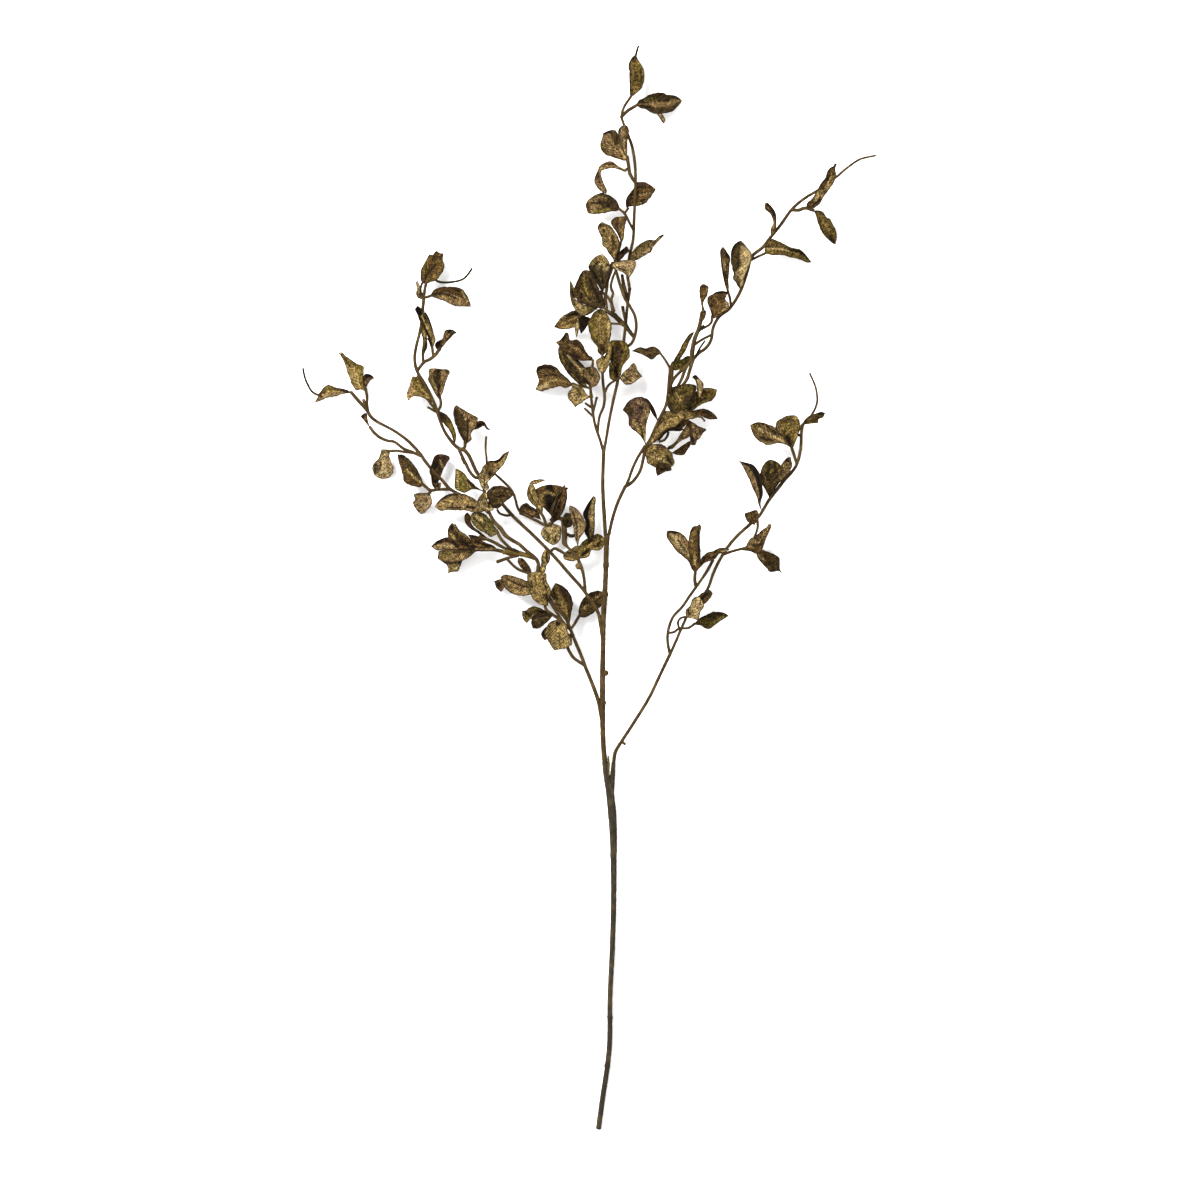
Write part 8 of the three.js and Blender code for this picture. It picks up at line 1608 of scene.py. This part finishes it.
@dataclass(frozen=True)
class FlockedLeaf:
    """Polyester leaf cloth, heat-pressed over a veined mould, flocked and dry-brush painted by hand.

    The short nap kills all gloss and breaks the colour into grains. The dry-brush paint catches on
    the pressed veins, so these show pale, and the hot-cut rims are darker than the faces. The tone
    read from each point also holds painted shade at the leaf bases, in hollows and in the creases
    of the crumples, and painted light on their raised places.
    """

    slot: str = "leaf_fabric"
    grain_mm: float = 2.0  # real flock is 0.3 mm, drawn coarser so that it shows
    patch_mm: float = 7.0
    vein_mm: float = 2.6
    ior: float = 1.57
    roughness: float = 0.92

    def material(self) -> bpy.types.Material:
        """Makes the material, or finds it where it is already made.

        Returns:
            The material.
        """
        name = "flocked_polyester_heat_pressed"
        if name in bpy.data.materials:
            return bpy.data.materials[name]
        made, tree, shader = new_material(name)
        where = add_node(tree, "ShaderNodeTexCoord").outputs["Object"]
        tone = add_node(tree, "ShaderNodeAttribute", {"attribute_name": "tone"}).outputs["Color"]
        blade = add_node(tree, "ShaderNodeAttribute", {"attribute_name": "blade"}).outputs["Vector"]
        split = add_node(tree, "ShaderNodeSeparateXYZ", inputs={0: blade})
        along, across, inward = split.outputs
        grain = add_node(tree, "ShaderNodeTexNoise", inputs={
            "Vector": where, "Scale": 1 / (self.grain_mm * MM), "Detail": 2.0, "Roughness": 0.7,
        }).outputs["Fac"]
        patch = add_node(tree, "ShaderNodeTexNoise", inputs={
            "Vector": where, "Scale": 1 / (self.patch_mm * MM), "Detail": 3.0, "Roughness": 0.6,
        }).outputs["Fac"]
        sideways = add_node(tree, "ShaderNodeMath", {"operation": "ABSOLUTE"}, {0: across}).outputs[0]
        slanted = add_node(tree, "ShaderNodeMath", {"operation": "MULTIPLY_ADD"}, {
            0: sideways, 1: -0.9, 2: along,
        }).outputs[0]
        strayed = add_node(tree, "ShaderNodeMath", {"operation": "MULTIPLY_ADD"}, {
            0: patch, 1: 2.2, 2: slanted,
        }).outputs[0]
        turned = add_node(tree, "ShaderNodeMath", {"operation": "MULTIPLY"}, {
            0: strayed, 1: 2 * math.pi / self.vein_mm,
        }).outputs[0]
        swing = add_node(tree, "ShaderNodeMath", {"operation": "SINE"}, {0: turned}).outputs[0]
        vein = ramp(tree, swing, 0.35, 1.0, 0.0, 1.0)
        veined = ramp(tree, swing, -0.9, 0.9, 0.66, 1.4)
        midrib = ramp(tree, sideways, 0.35, 0.9, 1.0, 0.0)
        ribbed = ramp(tree, sideways, 0.35, 0.9, 1.5, 1.0)
        rim = ramp(tree, inward, 0.3, 1.6, 1.0, 0.0)
        grainy = ramp(tree, grain, 0.36, 0.64, 0.35, 1.75)
        patchy = ramp(tree, patch, 0.35, 0.65, 0.82, 1.16)
        colour = tint(tree, "MULTIPLY", 1.0, tone, grey(tree, grainy))
        colour = tint(tree, "MULTIPLY", 1.0, colour, grey(tree, patchy))
        colour = tint(tree, "MULTIPLY", 1.0, colour, grey(tree, veined))
        colour = tint(tree, "MULTIPLY", 1.0, colour, grey(tree, ribbed))
        colour = tint(tree, "MIX", scaled(tree, rim, 0.75), colour, linear(Tone.DARK_BROWN.value))
        relief = add_node(tree, "ShaderNodeMath", {"operation": "MULTIPLY_ADD"}, {
            0: vein, 1: 0.5, 2: grain,
        }).outputs[0]
        relief = add_node(tree, "ShaderNodeMath", {"operation": "ADD"}, {0: relief, 1: midrib}).outputs[0]
        bump = add_node(tree, "ShaderNodeBump", inputs={
            "Height": relief, "Distance": 0.35 * MM, "Strength": 0.9,
        }).outputs["Normal"]
        dress(tree, shader, colour, bump, self.roughness, self.ior)
        return made


@dataclass(frozen=True)
class TapedWire:
    """Iron wire wrapped in paper floral tape and dusted with ochre pigment.

    The tape's crepe gives fine streaks along the wire, and the dust leaves it matt and uneven.
    """

    slot: str = "ochre_wire_coating"
    streak_mm: float = 0.9
    streak_length_mm: float = 7.0
    ior: float = 1.47
    roughness: float = 0.8

    def material(self) -> bpy.types.Material:
        """Makes the material, or finds it where it is already made.

        Returns:
            The material.
        """
        name = "paper_taped_wire_dusted"
        if name in bpy.data.materials:
            return bpy.data.materials[name]
        made, tree, shader = new_material(name)
        tone = add_node(tree, "ShaderNodeAttribute", {"attribute_name": "tone"}).outputs["Color"]
        streak = streaks(tree, self.streak_mm, self.streak_length_mm)
        shade = ramp(tree, streak, 0.35, 0.65, 0.35, 1.5)
        colour = tint(tree, "MULTIPLY", 1.0, tone, grey(tree, shade))
        bump = add_node(tree, "ShaderNodeBump", inputs={
            "Height": streak, "Distance": 0.25 * MM, "Strength": 0.8,
        }).outputs["Normal"]
        dress(tree, shader, colour, bump, self.roughness, self.ior)
        return made


@dataclass(frozen=True)
class WashedStem:
    """Polyethylene moulded over wire, under a dark matt wash that is rubbed back in streaks.

    The wash sits in the moulded bark lines, and the rubbed ridges show pale and greyish.
    """

    slot: str = "dark_stem_coating"
    streak_mm: float = 1.3
    streak_length_mm: float = 14.0
    ior: float = 1.51
    roughness: float = 0.72

    def material(self) -> bpy.types.Material:
        """Makes the material, or finds it where it is already made.

        Returns:
            The material.
        """
        name = "moulded_polyethylene_washed"
        if name in bpy.data.materials:
            return bpy.data.materials[name]
        made, tree, shader = new_material(name)
        tone = add_node(tree, "ShaderNodeAttribute", {"attribute_name": "tone"}).outputs["Color"]
        streak = streaks(tree, self.streak_mm, self.streak_length_mm)
        shade = ramp(tree, streak, 0.3, 0.7, 0.5, 1.35)
        colour = tint(tree, "MULTIPLY", 1.0, tone, grey(tree, shade))
        rubbed = ramp(tree, streak, 0.56, 0.7, 0.0, 0.75)
        colour = tint(tree, "MIX", rubbed, colour, linear(Tone.STEM_RIDGE.value))
        bump = add_node(tree, "ShaderNodeBump", inputs={
            "Height": streak, "Distance": 0.35 * MM, "Strength": 0.9,
        }).outputs["Normal"]
        dress(tree, shader, colour, bump, self.roughness, self.ior)
        return made


def new_material(name: str) -> tuple[bpy.types.Material, bpy.types.NodeTree, bpy.types.Node]:
    """Starts a material.

    Args:
        name: Its name.

    Returns:
        The material, its nodes and its shader.
    """
    made = bpy.data.materials.new(name)
    made.use_nodes = True
    return made, made.node_tree, made.node_tree.nodes["Principled BSDF"]


def ramp(
    tree: bpy.types.NodeTree, value: bpy.types.NodeSocket,
    start: float, end: float, low: float, high: float,
) -> bpy.types.NodeSocket:
    """Maps a value smoothly from one range to another.

    Args:
        tree: The material's nodes.
        value: What is mapped.
        start: The value that gives low.
        end: The value that gives high.
        low: The first result.
        high: The last result.

    Returns:
        The mapped value.
    """
    node = add_node(tree, "ShaderNodeMapRange", {"interpolation_type": "SMOOTHSTEP"}, {
        "Value": value, "From Min": start, "From Max": end, "To Min": low, "To Max": high,
    })
    return node.outputs["Result"]


def scaled(tree: bpy.types.NodeTree, value: bpy.types.NodeSocket, by: float) -> bpy.types.NodeSocket:
    """Multiplies a value by a number."""
    return add_node(tree, "ShaderNodeMath", {"operation": "MULTIPLY"}, {0: value, 1: by}).outputs[0]


def grey(tree: bpy.types.NodeTree, value: bpy.types.NodeSocket) -> bpy.types.NodeSocket:
    """Turns a value into a grey colour."""
    return add_node(tree, "ShaderNodeCombineColor", inputs={0: value, 1: value, 2: value}).outputs[0]


def tint(
    tree: bpy.types.NodeTree, way: str, share: float | bpy.types.NodeSocket,
    below: bpy.types.NodeSocket, above: bpy.types.NodeSocket | tuple[float, ...],
) -> bpy.types.NodeSocket:
    """Lays one colour over another.

    Args:
        tree: The material's nodes.
        way: How they are mixed, such as MIX or MULTIPLY.
        share: How much of the upper colour shows.
        below: The lower colour.
        above: The upper colour.

    Returns:
        The mixed colour.
    """
    settings = {"data_type": "RGBA", "blend_type": way, "clamp_result": False}
    node = add_node(tree, "ShaderNodeMix", settings, {0: share, 6: below, 7: above})
    return node.outputs[2]


def streaks(tree: bpy.types.NodeTree, width_mm: float, length_mm: float) -> bpy.types.NodeSocket:
    """Draws streaks that run along a wire.

    Args:
        tree: The material's nodes.
        width_mm: Their width.
        length_mm: Their length.

    Returns:
        A value that is high in the streaks.
    """
    blade = add_node(tree, "ShaderNodeAttribute", {"attribute_name": "blade"}).outputs["Vector"]
    stretched = add_node(tree, "ShaderNodeVectorMath", {"operation": "MULTIPLY"}, {
        0: blade, 1: (1 / length_mm, 1 / width_mm, 1.0),
    }).outputs[0]
    return add_node(tree, "ShaderNodeTexNoise", inputs={
        "Vector": stretched, "Scale": 1.0, "Detail": 4.0, "Roughness": 0.65,
    }).outputs["Fac"]


def dress(
    tree: bpy.types.NodeTree, shader: bpy.types.Node, colour: bpy.types.NodeSocket,
    bump: bpy.types.NodeSocket, roughness: float, ior: float,
) -> None:
    """Connects a colour and a bump to a shader, with no gloss.

    Args:
        tree: The material's nodes.
        shader: The principled shader.
        colour: The base colour.
        bump: The bumped normal.
        roughness: The shader's roughness.
        ior: Its index of refraction.
    """
    tree.links.new(colour, shader.inputs["Base Color"])
    tree.links.new(bump, shader.inputs["Normal"])
    shader.inputs["Roughness"].default_value = roughness
    shader.inputs["IOR"].default_value = ior
    shader.inputs["Specular IOR Level"].default_value = GLOSS


@dataclass(frozen=True)
class Studio:
    """The plain pale floor, the soft lights and the camera that looks straight down."""

    floor_size: float = 12.0
    floor_drop: float = 0.0003
    floor_white: float = 0.97
    world_strength: float = 1.35
    key_power: float = 210.0
    key_size: float = 1.2
    key_place: tuple[float, float, float] = (-1.5, 1.5, 2.3)
    fill_power: float = 12.0
    fill_size: float = 2.4
    fill_place: tuple[float, float, float] = (1.8, -1.2, 2.4)

    def build_floor(self) -> None:
        """Lays the floor just under the spray."""
        half = self.floor_size / 2
        mesh = bpy.data.meshes.new("floor")
        plan = ((-half, -half), (half, -half), (half, half), (-half, half))
        corners = [(x, y, -self.floor_drop) for x, y in plan]
        mesh.from_pydata(corners, [], [(0, 1, 2, 3)])
        floor = bpy.data.objects.new("floor", mesh)
        bpy.context.collection.objects.link(floor)
        made, _, shader = new_material("matt_white_studio_board")
        shader.inputs["Base Color"].default_value = (self.floor_white,) * 3 + (1.0,)
        shader.inputs["Roughness"].default_value = 0.95
        shader.inputs["Specular IOR Level"].default_value = 0.0
        mesh.materials.append(made)

    def build_light(self, name: str, power: float, size: float, place: tuple[float, float, float]) -> None:
        """Hangs one square soft light that faces the spray.

        Args:
            name: The light's name.
            power: Its power in watts.
            size: Its side in metres.
            place: Where it hangs.
        """
        light = bpy.data.lights.new(name, "AREA")
        light.energy = power
        light.size = size
        lamp = bpy.data.objects.new(name, light)
        lamp.location = place
        lamp.rotation_euler = (-Vector(place)).to_track_quat("-Z", "Y").to_euler()
        bpy.context.collection.objects.link(lamp)

    def build_world(self) -> None:
        """Fills the room with even white light."""
        world = bpy.data.worlds.new("white_room")
        world.use_nodes = True
        backdrop = world.node_tree.nodes["Background"]
        backdrop.inputs["Color"].default_value = (1.0, 1.0, 1.0, 1.0)
        backdrop.inputs["Strength"].default_value = self.world_strength
        bpy.context.scene.world = world

    def build_camera(self) -> None:
        """Places the camera straight above, with a long lens."""
        data = bpy.data.cameras.new("camera")
        data.sensor_width = SENSOR_WIDTH
        data.lens = SENSOR_WIDTH * (CAMERA_HEIGHT - SPRAY_MEAN_HEIGHT) / VIEW_WIDTH
        data.clip_end = 100.0
        camera = bpy.data.objects.new("camera", data)
        camera.location = on_sheet((*VIEW_MIDDLE, CAMERA_HEIGHT)) * MM
        bpy.context.collection.objects.link(camera)
        bpy.context.scene.camera = camera
        bpy.context.scene.view_settings.view_transform = "Standard"

    def build(self) -> None:
        """Builds the whole studio."""
        self.build_floor()
        self.build_light("key_softbox", self.key_power, self.key_size, self.key_place)
        self.build_light("fill_softbox", self.fill_power, self.fill_size, self.fill_place)
        self.build_world()
        self.build_camera()


def main() -> None:
    """Builds the spray and its studio, and reports each piece."""
    logging.basicConfig(level=logging.INFO, format="%(message)s")
    taped, washed, flocked = TapedWire(), WashedStem(), FlockedLeaf()
    made = [*LowerStem().build(washed), *MainStem().build(taped)]
    for branch in (
        CentreBranch(), RightCentreBranch(), RightBranch(), LowerLeftBranch(),
        FarLeftTwig(), TopLeftTwig(), UpperLeftBranch(),
    ):
        made.extend(branch.build(taped, flocked))
    for piece in made:
        LOG.info("%s: %d faces", piece.name, len(piece.data.polygons))
    Studio().build()


if __name__ == "__main__":
    main()
